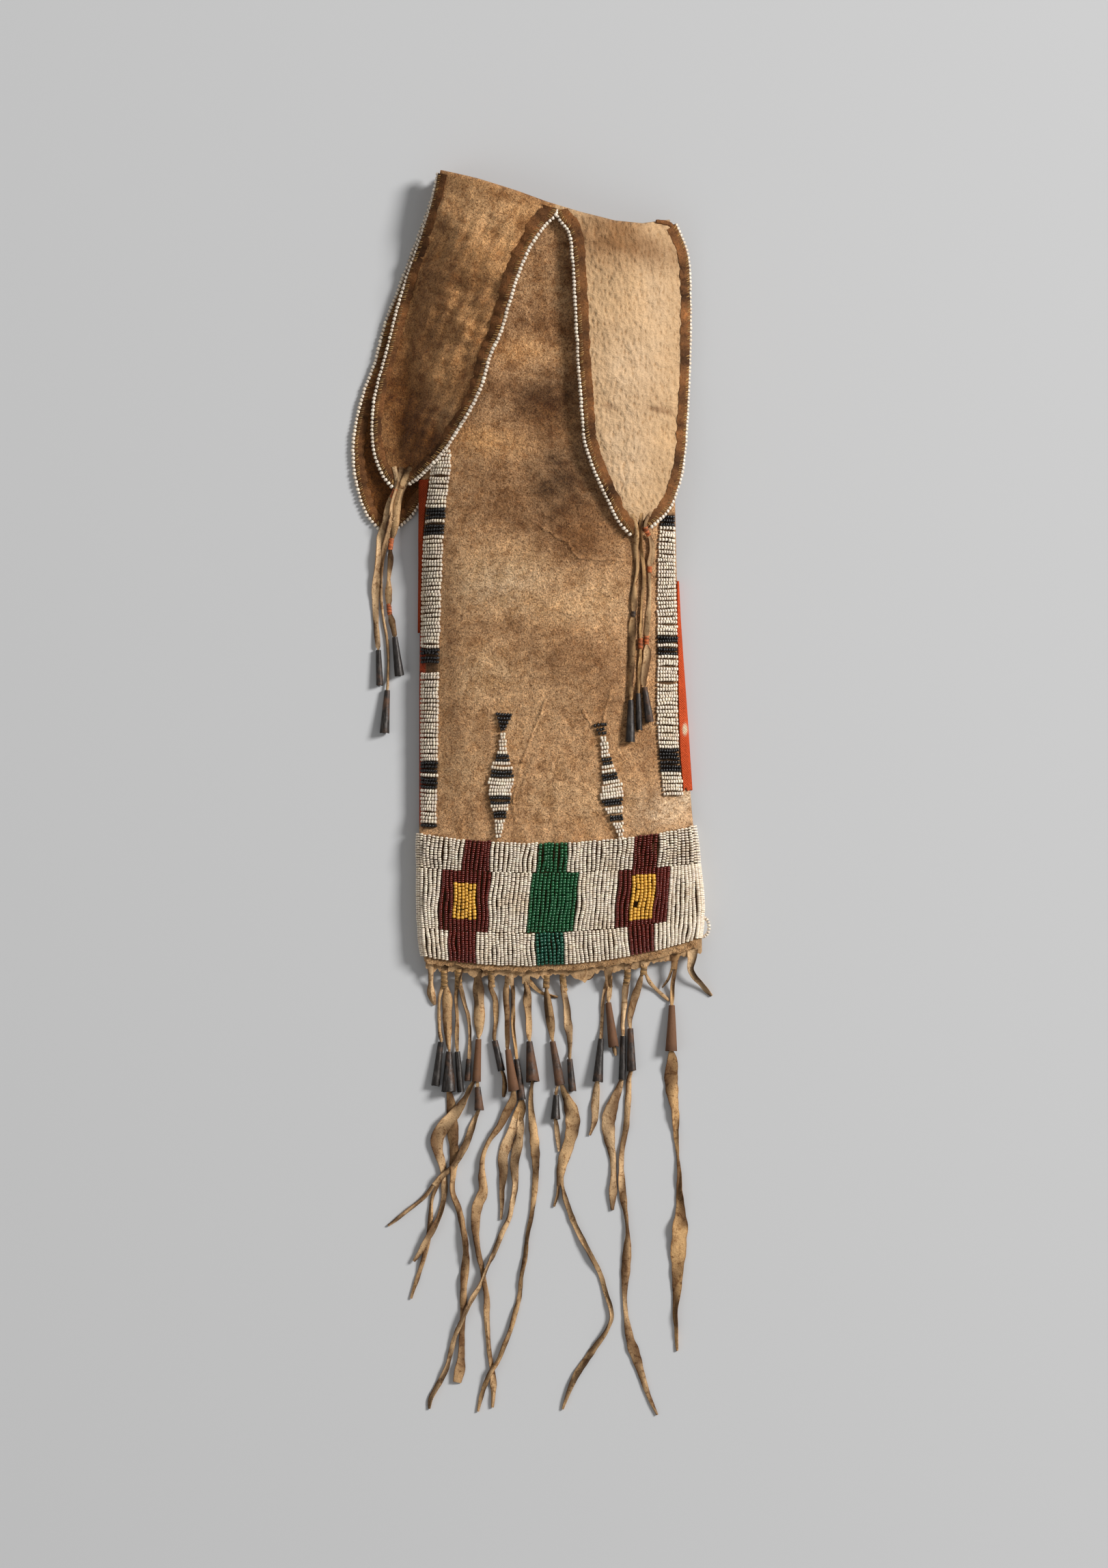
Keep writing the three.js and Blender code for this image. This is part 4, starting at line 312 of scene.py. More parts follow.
class Glass(Shade):
    """Bead colours."""

    WHITE = (0.98, 0.83, 0.66)
    OXBLOOD = (0.14, 0.012, 0.004)
    GREEN = (0.012, 0.115, 0.036)
    SEA_GREEN = (0.008, 0.095, 0.052)
    YELLOW = (0.88, 0.46, 0.055)
    BLACK = (0.011, 0.008, 0.007)


class Dye(Shade):
    """Hide, cloth and wrapping colours."""

    BODY = (0.66, 0.39, 0.2)
    # Golden orange; on the left tab's upper part it is partly painted light.
    AMBER = (0.8, 0.44, 0.19)
    # The left tab's dye, darker than TAB partly as painted shade.
    GOLDEN = (0.50, 0.262, 0.108)
    PALE = (0.76, 0.50, 0.278)
    CREAM = (0.82, 0.61, 0.41)
    TAB = (0.60, 0.385, 0.205)
    # Dark brown for stains, and for painted shade: the whole back left tab and shaded patches of the front and of the
    # left tab.
    STAIN = (0.19, 0.07, 0.014)
    # Near black brown for smoke stains, and for painted shade: beside the right tab and under the beadwork.
    SMOKE = (0.075, 0.036, 0.014)
    UNDER = (0.40, 0.25, 0.13)
    HEM = (0.52, 0.32, 0.16)
    RIBBON = (0.19, 0.078, 0.026)
    WHIPPING = (0.55, 0.31, 0.10)
    RED = (0.68, 0.1, 0.03)
    QUILL = (0.44, 0.245, 0.085)
    STRAND = (0.62, 0.365, 0.155)
    STRAND_PALE = (0.84, 0.57, 0.32)
    STRAND_BROWN = (0.14, 0.065, 0.025)
    STRAND_DARK = (0.055, 0.026, 0.01)
    ORANGE = (0.55, 0.14, 0.035)
    DARK = (0.07, 0.036, 0.018)


# ------------------------------------------------------------------ shape helpers


def ease(t: Array) -> Array:
    """Smooth step: three squares less two cubes of t held between 0 and 1."""
    t = np.clip(t, 0.0, 1.0)
    return t * t * (3.0 - 2.0 * t)


def mix(a: Array, b: Array, t: Array) -> Array:
    """Straight blend from a to b."""
    return a + (b - a) * t


def unit(v: Array) -> Array:
    """Vectors brought to length one."""
    return v / np.maximum(np.linalg.norm(v, axis=-1, keepdims=True), 1e-9)


def stack(x: Array, y: Array, z: Array) -> Array:
    """Points from three arrays that broadcast together."""
    return np.stack(np.broadcast_arrays(x, y, z), -1).astype(float)


def bell(x: Array, width: float) -> Array:
    """Bell of height one at x = 0: the exponential of minus the square of x over its width."""
    return np.exp(-((x / width) ** 2))


def parabola(points: Rows, x: Array) -> Array:
    """Height at x of the parabola through three points.

    Each height is weighted by a product that is one at its own point and nought at the other two.

    Args:
        points: Three (across, along) pairs.
        x: Places across.

    Returns:
        Places along, shaped as x.
    """
    (a, fa), (b, fb), (c, fc) = points
    return (
        fa * (x - b) * (x - c) / ((a - b) * (a - c))
        + fb * (x - a) * (x - c) / ((b - a) * (b - c))
        + fc * (x - a) * (x - b) / ((c - a) * (c - b))
    )


def spline(rows: Rows | Array, shares: Array) -> Array:
    """Points on a smooth curve: cubic pieces between points, with slopes by chord length.

    Args:
        rows: Points that the curve passes, any number of columns, the first two in plan.
        shares: Shares of the curve's length in plan, 0 to 1.

    Returns:
        One row per share.
    """
    p = np.asarray(rows, float)
    chord = np.r_[0.0, np.cumsum(np.linalg.norm(np.diff(p[:, :2], axis=0), axis=1))]
    slope = np.gradient(p, chord, axis=0)
    at = np.asarray(shares, float) * chord[-1]
    i = np.clip(np.searchsorted(chord, at, side="right") - 1, 0, len(p) - 2)
    h = (chord[i + 1] - chord[i])[:, None]
    t = (at - chord[i])[:, None] / h
    return (
        (2 * t**3 - 3 * t**2 + 1) * p[i]
        + (t**3 - 2 * t**2 + t) * h * slope[i]
        + (3 * t**2 - 2 * t**3) * p[i + 1]
        + (t**3 - t**2) * h * slope[i + 1]
    )


def read_off(table: Rows, at: Array) -> list[Array]:
    """The further columns of a table at places of its first, in straight pieces between its rows."""
    rows = np.asarray(table)
    return [np.interp(at, rows[:, 0], column) for column in rows[:, 1:].T]


def even(path: Array, step: float) -> Array:
    """A path walked again in even steps.

    Args:
        path: Points, the first three columns being the place.
        step: About how long a step is.

    Returns:
        Points with the same columns.
    """
    run = np.r_[0.0, np.cumsum(np.linalg.norm(np.diff(path[:, :3], axis=0), axis=1))]
    at = np.linspace(0.0, run[-1], max(int(round(run[-1] / step)), 2) + 1)
    return np.stack([np.interp(at, run, path[:, k]) for k in range(path.shape[1])], -1)


def ripple(x: Array, y: Array, scale: float, seed: int, waves: int = 9) -> Array:
    """Soft uneven swell: a sum of plane sine waves of random heading, about -1 to 1.

    Args:
        x: Places across.
        y: Places along.
        scale: Usual distance between swells.
        seed: Which swell of many.
        waves: How many waves are summed.

    Returns:
        Heights, shaped as x and y together.
    """
    rng = np.random.default_rng(seed)
    turn = rng.uniform(0.0, TURN, waves)
    pace = TURN / (scale * rng.uniform(0.6, 1.7, waves))
    start = rng.uniform(0.0, TURN, waves)
    x, y = np.asarray(x, float)[..., None], np.asarray(y, float)[..., None]
    return np.sin((x * np.cos(turn) + y * np.sin(turn)) * pace + start).sum(-1) / math.sqrt(waves * 1.6)


def wave(x: Array, scale: float, seed: int) -> Array:
    """The soft uneven swell along a line."""
    return ripple(x, x * 0, scale, seed)


def quads(ids: Array) -> Array:
    """Faces of a grid of point numbers, outward where columns run right and rows run up."""
    return np.stack([ids[:-1, :-1], ids[:-1, 1:], ids[1:, 1:], ids[1:, :-1]], -1).reshape(-1, 4)


def grid_faces(rows: int, columns: int) -> Array:
    """Faces of a whole grid, its points numbered row by row."""
    return quads(np.arange(rows * columns).reshape(rows, columns))


@dataclass
class Shape:
    """Points and faces of a piece, with a colour and a lay vector at each point."""

    points: Array
    faces: list[Array]
    tint: Array
    lay: Array

    @staticmethod
    def join(parts: list["Shape"]) -> "Shape":
        """Several shapes as one.

        Args:
            parts: The shapes.

        Returns:
            One shape with all their points and faces.
        """
        start = np.cumsum([0] + [len(p.points) for p in parts])
        return Shape(
            np.concatenate([p.points for p in parts]),
            [f + s for p, s in zip(parts, start) for f in p.faces],
            np.concatenate([p.tint for p in parts]),
            np.concatenate([p.lay for p in parts]),
        )

    def piece(self, name: str, finish: "Finish", angle: float = 50.0) -> bpy.types.Object:
        """Makes the shape an object at the origin that rides on the bag.

        Args:
            name: Name of the piece.
            finish: Finish that it wears.
            angle: Edges sharper than this many degrees stay sharp.

        Returns:
            The object, in metres.
        """
        corners = np.concatenate([f.ravel() for f in self.faces]).astype(np.int32)
        counts = np.concatenate([np.full(len(f), f.shape[1]) for f in self.faces])
        mesh = bpy.data.meshes.new(name)
        mesh.vertices.add(len(self.points))
        mesh.vertices.foreach_set("co", (self.points * METRE).astype(np.float32).ravel())
        mesh.loops.add(len(corners))
        mesh.loops.foreach_set("vertex_index", corners)
        mesh.polygons.add(len(counts))
        mesh.polygons.foreach_set("loop_start", np.r_[0, np.cumsum(counts)[:-1]].astype(np.int32))
        mesh.update(calc_edges=True)
        tint = mesh.attributes.new("tint", "FLOAT_COLOR", "POINT")
        shade = np.concatenate([np.clip(self.tint, 0.0, 1.0), np.ones((len(self.tint), 1))], 1)
        tint.data.foreach_set("color", shade.astype(np.float32).ravel())
        lay = mesh.attributes.new("lay", "FLOAT_VECTOR", "POINT")
        lay.data.foreach_set("vector", self.lay.astype(np.float32).ravel())
        mesh.validate()
        mesh.shade_smooth()
        if angle < 180.0:
            mesh.set_sharp_from_angle(angle=math.radians(angle))
        piece = bpy.data.objects.new(name, mesh)
        bpy.context.scene.collection.objects.link(piece)
        mesh.materials.append(finish.material())
        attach(piece, "root")
        LOG.info("%s: %d faces, lowest %.2f mm", name, len(counts), self.points[:, 2].min())
        return piece


def spread(colour: Colour | Array, count: int) -> Array:
    """One colour, or one row, for each of so many points."""
    return np.broadcast_to(np.asarray(colour, float), (count, 3)).copy()


def thicken(points: Array, faces: Array, half: float | Array, tint: Array, lay: Array) -> Shape:
    """A closed sheet: its middle surface moved half a thickness both ways, and the rim between.

    Args:
        points: Middle surface.
        faces: Its four-sided faces.
        half: Half the thickness, one number or one per point.
        tint: Colour per point.
        lay: Lay vector per point.

    Returns:
        The closed shape, the lower skin's points first.
    """
    n = len(points)
    corner = points[faces]
    across = np.cross(corner[:, 2] - corner[:, 0], corner[:, 3] - corner[:, 1])
    normal = np.zeros_like(points)
    np.add.at(normal, faces.ravel(), np.repeat(across, 4, 0))
    move = unit(normal) * np.broadcast_to(np.asarray(half, float), (n,))[:, None]
    a, b = faces.ravel(), np.roll(faces, -1, 1).ravel()
    free = ~np.isin(a * n + b, b * n + a)
    rim = np.stack([a[free], b[free], b[free] + n, a[free] + n], -1)
    return Shape(
        np.concatenate([points - move, points + move]),
        [faces[:, ::-1], faces + n, rim],
        np.concatenate([tint, tint]),
        np.concatenate([lay, lay]),
    )


def frames(path: Array, up: Array) -> tuple[Array, Array]:
    """Directions across a batch of paths: sideways and away from what they lie on.

    Args:
        path: Points, paths by places by 3.
        up: Rough direction away, which broadcasts with path.

    Returns:
        Unit vectors sideways (up cross ahead) and away (ahead cross sideways).
    """
    ahead = unit(np.gradient(path, axis=-2))
    side = unit(np.cross(np.broadcast_to(up, path.shape), ahead))
    return side, np.cross(ahead, side)


def tube(path: Array, ring: Array, up: Array, tint: Array, lay: Array) -> Shape:
    """Closed tubes: a ring of offsets carried along each path of a batch, with flat ends.

    Args:
        path: Points, paths by places by 3.
        ring: Offsets sideways and away, broadcasting to paths by places by sides by 2.
        up: Rough direction away from what the path lies on.
        tint: Colours, broadcasting to paths by places by sides by 3.
        lay: Lay vectors, broadcasting the same way.

    Returns:
        All the tubes as one shape.
    """
    batch, places = path.shape[:2]
    sides = ring.shape[-2]
    side, away = frames(path, up)
    ring = np.broadcast_to(ring, (batch, places, sides, 2))
    points = path[:, :, None] + side[:, :, None] * ring[..., :1] + away[:, :, None] * ring[..., 1:]
    ids = np.arange(batch * places * sides).reshape(batch, places, sides)
    turn = np.roll(ids, -1, 2)
    wall = np.stack([ids[:, :-1], turn[:, :-1], turn[:, 1:], ids[:, 1:]], -1).reshape(-1, 4)
    full = (batch, places, sides, 3)
    return Shape(
        points.reshape(-1, 3),
        [wall, ids[:, 0, ::-1], ids[:, -1]],
        np.broadcast_to(tint, full).reshape(-1, 3).copy(),
        np.broadcast_to(lay, full).reshape(-1, 3).copy(),
    )


def circle(radius: float | Array, sides: int, flat: float = 1.0) -> Array:
    """Ring of offsets round a cord, flattened away from what it lies on."""
    a = TURN * np.arange(sides) / sides
    return np.asarray(radius, float)[..., None, None] * np.stack([np.cos(a), np.sin(a) * flat], -1)


# Places across the face of a strip of hide, as shares of its half width.
STRIP_ACROSS = np.array([-1.0, -0.72, 0.0, 0.72, 1.0])


def curl_ring(wide: Array, thick: Array, curl: Array, twist: Array) -> Array:
    """Ring of offsets round a strip of hide, folded along its middle and turned about its path.

    The middle line of the section has height curl * half width * share ** 1.3, with five places across each
    face. It is turned by the twist and lifted so that its lowest corner stays half a thickness under the path.

    Args:
        wide: Widths, paths by places.
        thick: Thicknesses, shaped as wide.
        curl: Fold, up where positive, shaped as wide.
        twist: Turns in radians, shaped as wide.

    Returns:
        Offsets, paths by places by 10 by 2.
    """
    c = STRIP_ACROSS
    half, bend = wide[..., None] / 2, curl[..., None]
    rise = bend * half * np.abs(c) ** 1.3
    t = thick[..., None] / 2 * np.array([0.55, 1.0, 1.0, 1.0, 0.55])
    side = half * c * (1 - 0.12 * bend**2)
    across = np.concatenate([side, side[..., ::-1]], -1)
    away = np.concatenate([rise - t, (rise + t)[..., ::-1]], -1)
    cos, sin = np.cos(twist)[..., None], np.sin(twist)[..., None]
    across, away = across * cos - away * sin, across * sin + away * cos
    away = away - away.min(-1, keepdims=True) - thick[..., None] / 2
    return np.stack([across, away], -1)


def beads(centre: Array, axis: Array, radius: Array, half: Array, tint: Array, sides: int = 8) -> Shape:
    """Glass seed beads: each a ring of five circles along its axis, closed through its hole.

    The circles stand at shares of the half length, reach shares of the radius, and are darker toward the
    ends, where the beads meet, partly as dirt and partly as painted contact shade. The first part of the lay
    vector is a chance number of each bead.

    Args:
        centre: Middles of the beads.
        axis: Directions of their holes.
        radius: Their radii.
        half: Half their lengths along the hole.
        tint: Their colours.
        sides: Corners of each circle.

    Returns:
        All the beads as one shape.
    """
    n = len(centre)
    axis = unit(axis)
    spoke = unit(np.cross(axis, np.where(np.abs(axis[:, 2:]) > 0.8, (1.0, 0.0, 0.0), (0.0, 0.0, 1.0))))
    third = np.cross(axis, spoke)
    a = TURN * np.arange(sides) / sides
    wheel = spoke[:, None] * np.cos(a)[:, None] + third[:, None] * np.sin(a)[:, None]
    along = np.array([-1.0, -0.72, 0.0, 0.72, 1.0])
    reach = np.array([0.52, 0.88, 1.0, 0.88, 0.52])
    # Darker toward the ends: partly dirt, partly painted contact shade where the beads meet.
    end_dirt_and_shade = np.array([0.6, 0.94, 1.05, 0.94, 0.6])
    points = (
        centre[:, None, None]
        + (axis[:, None] * (along * half[:, None])[..., None])[:, :, None]
        + wheel[:, None] * (reach * radius[:, None])[..., None, None]
    )
    corners = len(along) * sides
    ids = np.arange(n * corners).reshape(n, len(along), sides)
    turn, up = np.roll(ids, -1, 2), np.roll(ids, -1, 1)
    faces = np.stack([ids, turn, np.roll(turn, -1, 1), up], -1).reshape(-1, 4)
    lay = np.repeat(stack(np.random.default_rng(n).random(n), 0.0, 0.0), corners, 0)
    dirt_and_shade = np.tile(np.repeat(end_dirt_and_shade, sides), n)[:, None]
    return Shape(points.reshape(-1, 3), [faces], np.repeat(tint, corners, 0) * dirt_and_shade, lay)


# ------------------------------------------------------------------ finishes


class Wire:
    """A node's output, on which Python's operators add Math nodes."""

    def __init__(self, graph: "Graph", socket: bpy.types.NodeSocket) -> None:
        """Keeps the socket and the graph that it belongs to."""
        self.graph = graph
        self.socket = socket

    def math(self, operation: str, a: "Wire | float", b: "Wire | float") -> "Wire":
        """One Math node on two values."""
        return self.graph.node("ShaderNodeMath", {"operation": operation}, {0: a, 1: b})

    def sine(self) -> "Wire":
        """Sine of the value."""
        return self.graph.node("ShaderNodeMath", {"operation": "SINE"}, {0: self})

    def __add__(self, other: "Wire | float") -> "Wire":
        """Sum, from either side."""
        return self.math("ADD", self, other)

    def __sub__(self, other: "Wire | float") -> "Wire":
        """Difference."""
        return self.math("SUBTRACT", self, other)

    def __rsub__(self, other: float) -> "Wire":
        """Difference, from the right."""
        return self.math("SUBTRACT", other, self)

    def __mul__(self, other: "Wire | float") -> "Wire":
        """Product, from either side."""
        return self.math("MULTIPLY", self, other)

    __radd__, __rmul__ = __add__, __mul__


class Graph:
    """The nodes of one finish."""

    def __init__(self, name: str) -> None:
        """Starts a material with its shader.

        Args:
            name: Name of the material.
        """
        self.material = bpy.data.materials.new(name)
        self.material.use_nodes = True
        self.tree = self.material.node_tree
        self.shader = self.tree.nodes["Principled BSDF"]

    def feed(self, node: bpy.types.Node, inputs: dict[int | str, object]) -> None:
        """Sets or links sockets of a node.

        Args:
            node: The node.
            inputs: Values or wires by socket name or number.
        """
        for key, value in inputs.items():
            if isinstance(value, Wire):
                self.tree.links.new(value.socket, node.inputs[key])
            else:
                node.inputs[key].default_value = value

    def node(
        self,
        kind: str,
        settings: dict[str, object] | None = None,
        inputs: dict[int | str, object] | None = None,
        out: int | str = 0,
    ) -> Wire:
        """Adds any node.

        Args:
            kind: Node type.
            settings: Properties set first.
            inputs: Values or wires by socket name or number.
            out: Output to hand back.

        Returns:
            The wire from that output.
        """
        made = self.tree.nodes.new(kind)
        for key, value in (settings or {}).items():
            setattr(made, key, value)
        self.feed(made, inputs or {})
        return Wire(self, made.outputs[out])

    def set(self, **inputs: object) -> None:
        """Sets or links the shader's own sockets, underscores standing for spaces."""
        self.feed(self.shader, {key.replace("_", " "): value for key, value in inputs.items()})

    def vector(self, operation: str, a: object, b: object, out: int = 0) -> Wire:
        """One Vector Math node on two vectors; output 1 is its value."""
        return self.node("ShaderNodeVectorMath", {"operation": operation}, {0: a, 1: b}, out)

    def place(self, scale: tuple[float, float, float] = (1.0, 1.0, 1.0)) -> Wire:
        """Object coordinates in metres, stretched by a scale."""
        at = self.node("ShaderNodeTexCoord", out="Object")
        return self.node("ShaderNodeMapping", None, {"Vector": at, "Scale": scale})

    def tint(self) -> Wire:
        """The piece's own colour at each point."""
        return self.node("ShaderNodeAttribute", {"attribute_name": "tint"}, out="Color")

    def lay(self) -> tuple[Wire, Wire, Wire]:
        """The three parts of the piece's lay vector.

        Returns:
            A wire for each part.
        """
        vector = self.node("ShaderNodeAttribute", {"attribute_name": "lay"}, out="Vector")
        parts = self.node("ShaderNodeSeparateXYZ", None, {0: vector}).socket.node
        return tuple(Wire(self, part) for part in parts.outputs)

    def noise(self, at: Wire, size: float, detail: float = 3.0, rough: float = 0.55, bent: float = 0.0) -> Wire:
        """Cloudy noise, 0 to 1, with swells of about the given size in millimetres, bent out of line."""
        inputs = {"Vector": at, "Scale": PER_METRE / size, "Detail": detail, "Roughness": rough, "Distortion": bent}
        return self.node("ShaderNodeTexNoise", None, inputs)

    def threads(self, at: Wire, size: float, wide: float) -> Wire:
        """Tangled lines, 1 on a line and 0 off it: where bent noise comes close to one half."""
        level = self.noise(at, size, 2.0, 0.5, 1.6) - 0.5
        return 1.0 - self.step(level.math("ABSOLUTE", level, 0.0), 0.0, wide)

    def cells(self, at: Wire, size: float) -> Wire:
        """Smoothed distance to the nearest of scattered points, about the given size apart in millimetres."""
        return self.node("ShaderNodeTexVoronoi", {"feature": "SMOOTH_F1"}, {"Vector": at, "Scale": PER_METRE / size})

    def line(self, at: Wire, ends: tuple[float, float, float, float], wide: float) -> Wire:
        """A soft line between two places in plan, 1 on it and 0 beyond its half width.

        The distance is that of the place from its nearest place on the line, in plan.

        Args:
            at: Coordinates in metres.
            ends: Its two ends in millimetres, across and along the bag.
            wide: Half width in millimetres.

        Returns:
            The line's wire.
        """
        start, end = (np.array([ends[k], ends[k + 1], 0.0]) * METRE for k in (0, 2))
        run, way = float(np.linalg.norm(end - start)), tuple(unit(end - start))
        off = self.vector("SUBTRACT", self.vector("MULTIPLY", at, (1.0, 1.0, 0.0)), tuple(start))
        along = self.vector("DOT_PRODUCT", off, way, 1)
        along = along.math("MINIMUM", along.math("MAXIMUM", along, 0.0), run)
        near = self.node("ShaderNodeVectorMath", {"operation": "SCALE"}, {0: way, "Scale": along})
        return 1.0 - self.step(self.vector("DISTANCE", off, near, 1), 0.0, wide * METRE)

    def step(self, value: Wire, low: float, high: float) -> Wire:
        """Smooth step of a value from low to high."""
        inputs = {"Value": value, "From Min": low, "From Max": high}
        return self.node("ShaderNodeMapRange", {"interpolation_type": "SMOOTHSTEP"}, inputs)

    def blend(self, a: object, b: object, share: Wire | float, mode: str = "MIX") -> Wire:
        """Colour a carried toward colour b.

        Args:
            a: First colour, a wire or three numbers.
            b: Second colour, likewise.
            share: How far.
            mode: How the two are blended.

        Returns:
            The blended colour.
        """
        a, b = (c if isinstance(c, Wire) else (*c, 1.0) for c in (a, b))
        settings = {"data_type": "RGBA", "blend_type": mode}
        return self.node("ShaderNodeMix", settings, {0: share, 6: a, 7: b}, out=2)

    def worn(self, colour: Wire, *layers: tuple[Colour, Wire]) -> Wire:
        """A colour multiplied by the tone of each layer in turn, as far as the layer's share says.

        Args:
            colour: The first colour.
            layers: Tone and share of each.

        Returns:
            The worn colour.
        """
        for tone, share in layers:
            colour = self.blend(colour, tone, share, "MULTIPLY")
        return colour

    def bump(self, height: Wire, depth: float, strength: float = 1.0) -> None:
        """Links a height of the given depth in millimetres to the shader's normal."""
        inputs = {"Height": height, "Distance": depth * METRE, "Strength": strength}
        self.set(Normal=self.node("ShaderNodeBump", None, inputs))


@dataclass(frozen=True)
class Finish:
    """A finish, made once and then shared by the pieces that wear it."""

    name: str
    slot: str

    def paint(self, graph: Graph) -> None:
        """Fills the graph; each finish has its own.

        Args:
            graph: The finish's nodes.
        """

    def material(self) -> bpy.types.Material:
        """The finish's material, made the first time it is asked for.

        Returns:
            The material.
        """
        made = bpy.data.materials.get(self.name)
        if made is None:
            graph = Graph(self.name)
            self.paint(graph)
            made = graph.material
        return made


@dataclass(frozen=True)
class Suede(Finish):
    """Smoke-tanned hide with a felted nap: mottled, speckled with dark grains, pitted where it is grain side.

    The lay vector gives how pitted, how speckled and how grimy the hide is at each point.
    """

    ridge_half: float = 1.5
    # Sharp creases of the felted face: the two ends of each, across and along the bag.
    ridges: tuple[tuple[float, float, float, float], ...] = (
        (-2.7, -4.0, -15.8, -38.5), (-15.8, -38.5, -20.8, -61.6), (-20.8, -61.6, -19.6, -73.0),
        (34.0, 0.0, 30.0, -14.0), (30.0, -14.0, 28.5, -19.0), (18.5, -10.0, 23.0, -19.0),
        (-10.0, 96.6, 9.6, 84.0), (9.6, 84.0, 15.8, 75.8), (15.8, 75.8, 41.5, 75.0),
    )

    def paint(self, graph: Graph) -> None:
        """Tint darkened by blotches, grains and pit floors, crossed by fibres; bump from all of them. Pit floors and
        the hollows of dents and clumps are darker, and the rises of dents and clumps lighter: partly mottling of the
        hide, partly painted shade and light. The ridges are lightened as painted highlight.

        Args:
            graph: The finish's nodes.
        """
        at = graph.place()
        pitted, speckled, grimy = graph.lay()
        cloud = graph.noise(at, 30.0, 4.0, 0.6)
        blotch = graph.noise(at, 6.0, 5.0, 0.68)
        nap = graph.noise(at, 0.9, 3.0, 0.7)
        grain = graph.noise(at, 1.5, 4.0, 0.72)
        fibre = graph.threads(at, 2.6, 0.09)
        hair = graph.threads(graph.place((1.0, 1.0, 1.7)), 1.2, 0.09)
        pit = graph.cells(graph.place((1.0, 0.55, 1.0)), 2.1)
        wrinkle = graph.noise(graph.place((0.7, 1.0, 1.0)), 6.0, 5.0, 0.62)
        clump = graph.noise(at, 2.0, 4.0, 0.72, 0.8)
        dent = graph.noise(at, 11.0, 5.0, 0.66, 0.5)
        felt = 1.0 - pitted * 0.75
        drift = graph.node("ShaderNodeTexNoise", None, {"Vector": at, "Scale": 110.0, "Detail": 2.0}, "Color")
        shaken = graph.node("ShaderNodeVectorMath", {"operation": "MULTIPLY_ADD"}, {0: drift, 1: (0.004,) * 3, 2: at})
        lines = [graph.line(shaken, ends, self.ridge_half) for ends in self.ridges]
        ridge = sum(lines[1:], lines[0]) * (1.0 - graph.step(pitted, 0.04, 0.08))
        floor = (1.0 - graph.step(pit, 0.05, 0.36)) * pitted
        speck = graph.step(grain, 0.52, 0.66) * speckled
        # Pit floors and the hollows of dents and clumps darker, their rises lighter: partly mottling, partly painted
        # shade and light.
        colour = graph.worn(
            graph.tint(),
            ((1.16, 1.13, 1.08), graph.step(cloud, 0.5, 0.7) * 0.6),
            ((0.66, 0.58, 0.5), graph.step(cloud, 0.5, 0.3) * grimy),
            ((0.62, 0.52, 0.42), graph.step(blotch, 0.52, 0.36) * grimy),
            ((0.8, 0.74, 0.66), graph.step(dent, 0.52, 0.36) * felt),
            ((1.13, 1.12, 1.1), graph.step(dent, 0.5, 0.64) * felt),
            ((0.36, 0.26, 0.18), speck),
            ((0.68, 0.57, 0.45), floor * 0.65),
            ((0.62, 0.54, 0.46), graph.step(clump, 0.5, 0.36) * (felt * 0.8)),
            ((1.16, 1.15, 1.12), graph.step(clump, 0.5, 0.62) * (felt * 0.8)),
            ((0.34, 0.27, 0.2), graph.step(nap, 0.49, 0.65) * (felt * 0.9)),
            ((1.55, 1.5, 1.42), fibre * felt * 0.75),
            ((1.3, 1.28, 1.22), hair * felt * 0.5),
            # Painted highlight along the ridges.
            ((1.3, 1.3, 1.28), ridge * 0.6),
        )
        height = pit * pitted * 1.15 + dent * 2.4 + wrinkle * 1.2 + blotch * 0.4 + nap * 0.25 + ridge * 0.9
        height = height + (fibre * 0.2 + hair * 0.1 + clump * 0.9) * felt
        graph.set(Base_Color=colour, Roughness=0.86 + 0.1 * nap, Specular_IOR_Level=0.2, Sheen_Weight=0.08)
        graph.bump(height, 1.15)


@dataclass(frozen=True)
class Thong(Finish):
    """Cut strands of hide: mottled faces, darker edges and dark specks."""

    def paint(self, graph: Graph) -> None:
        """Tint mottled by grime and specks, darker at the edges; bump from creases and nap.

        Args:
            graph: The finish's nodes.
        """
        at = graph.place()
        across, _, _ = graph.lay()
        cloud = graph.noise(at, 5.0, 4.0, 0.65, 0.6)
        mottle = graph.noise(at, 2.0, 4.0, 0.7)
        grain = graph.noise(at, 0.8, 3.0, 0.7)
        edge = graph.step(across * across, 0.5, 1.05)
        colour = graph.worn(
            graph.tint(),
            ((0.42, 0.3, 0.2), graph.step(cloud, 0.52, 0.68) * 0.8),
            ((0.45, 0.33, 0.23), edge * 0.7),
            ((0.26, 0.17, 0.1), graph.step(mottle, 0.56, 0.68) * 0.75),
            ((1.3, 1.27, 1.2), graph.step(mottle, 0.46, 0.34) * 0.6),
            ((0.55, 0.45, 0.36), graph.step(grain, 0.52, 0.7) * 0.6),
        )
        graph.set(Base_Color=colour, Roughness=0.78 + 0.14 * grain, Specular_IOR_Level=0.25)
        graph.bump(cloud * 0.45 + mottle * 0.4 + grain * 0.25, 1.0)


@dataclass(frozen=True)
class GlassBead(Finish):
    """Old opaque glass: worn gloss with grime, over a tint that is darker where the beads meet, partly as painted
    shade.
    """

    grime: float = 0.35
    gloss: float = 0.16

    def paint(self, graph: Graph) -> None:
        """Each bead's own tint, clouded by grime; rougher where it is worn.

        Args:
            graph: The finish's nodes.
        """
        at = graph.place()
        chance, _, _ = graph.lay()
        film = graph.noise(at, 2.6, 4.0, 0.7)
        smear = graph.noise(at, 14.0, 3.0, 0.6)
        dirt_and_shade = graph.step(film, 0.48, 0.72) * self.grime
        colour = graph.worn(
            graph.tint(),
            ((0.56, 0.44, 0.33), dirt_and_shade),
            ((0.8, 0.72, 0.62), graph.step(smear, 0.5, 0.7) * 0.6),
        )
        rough = self.gloss + 0.14 * film + 0.08 * chance
        graph.set(Base_Color=colour, Roughness=rough, Coat_Weight=0.3, Coat_Roughness=0.1)


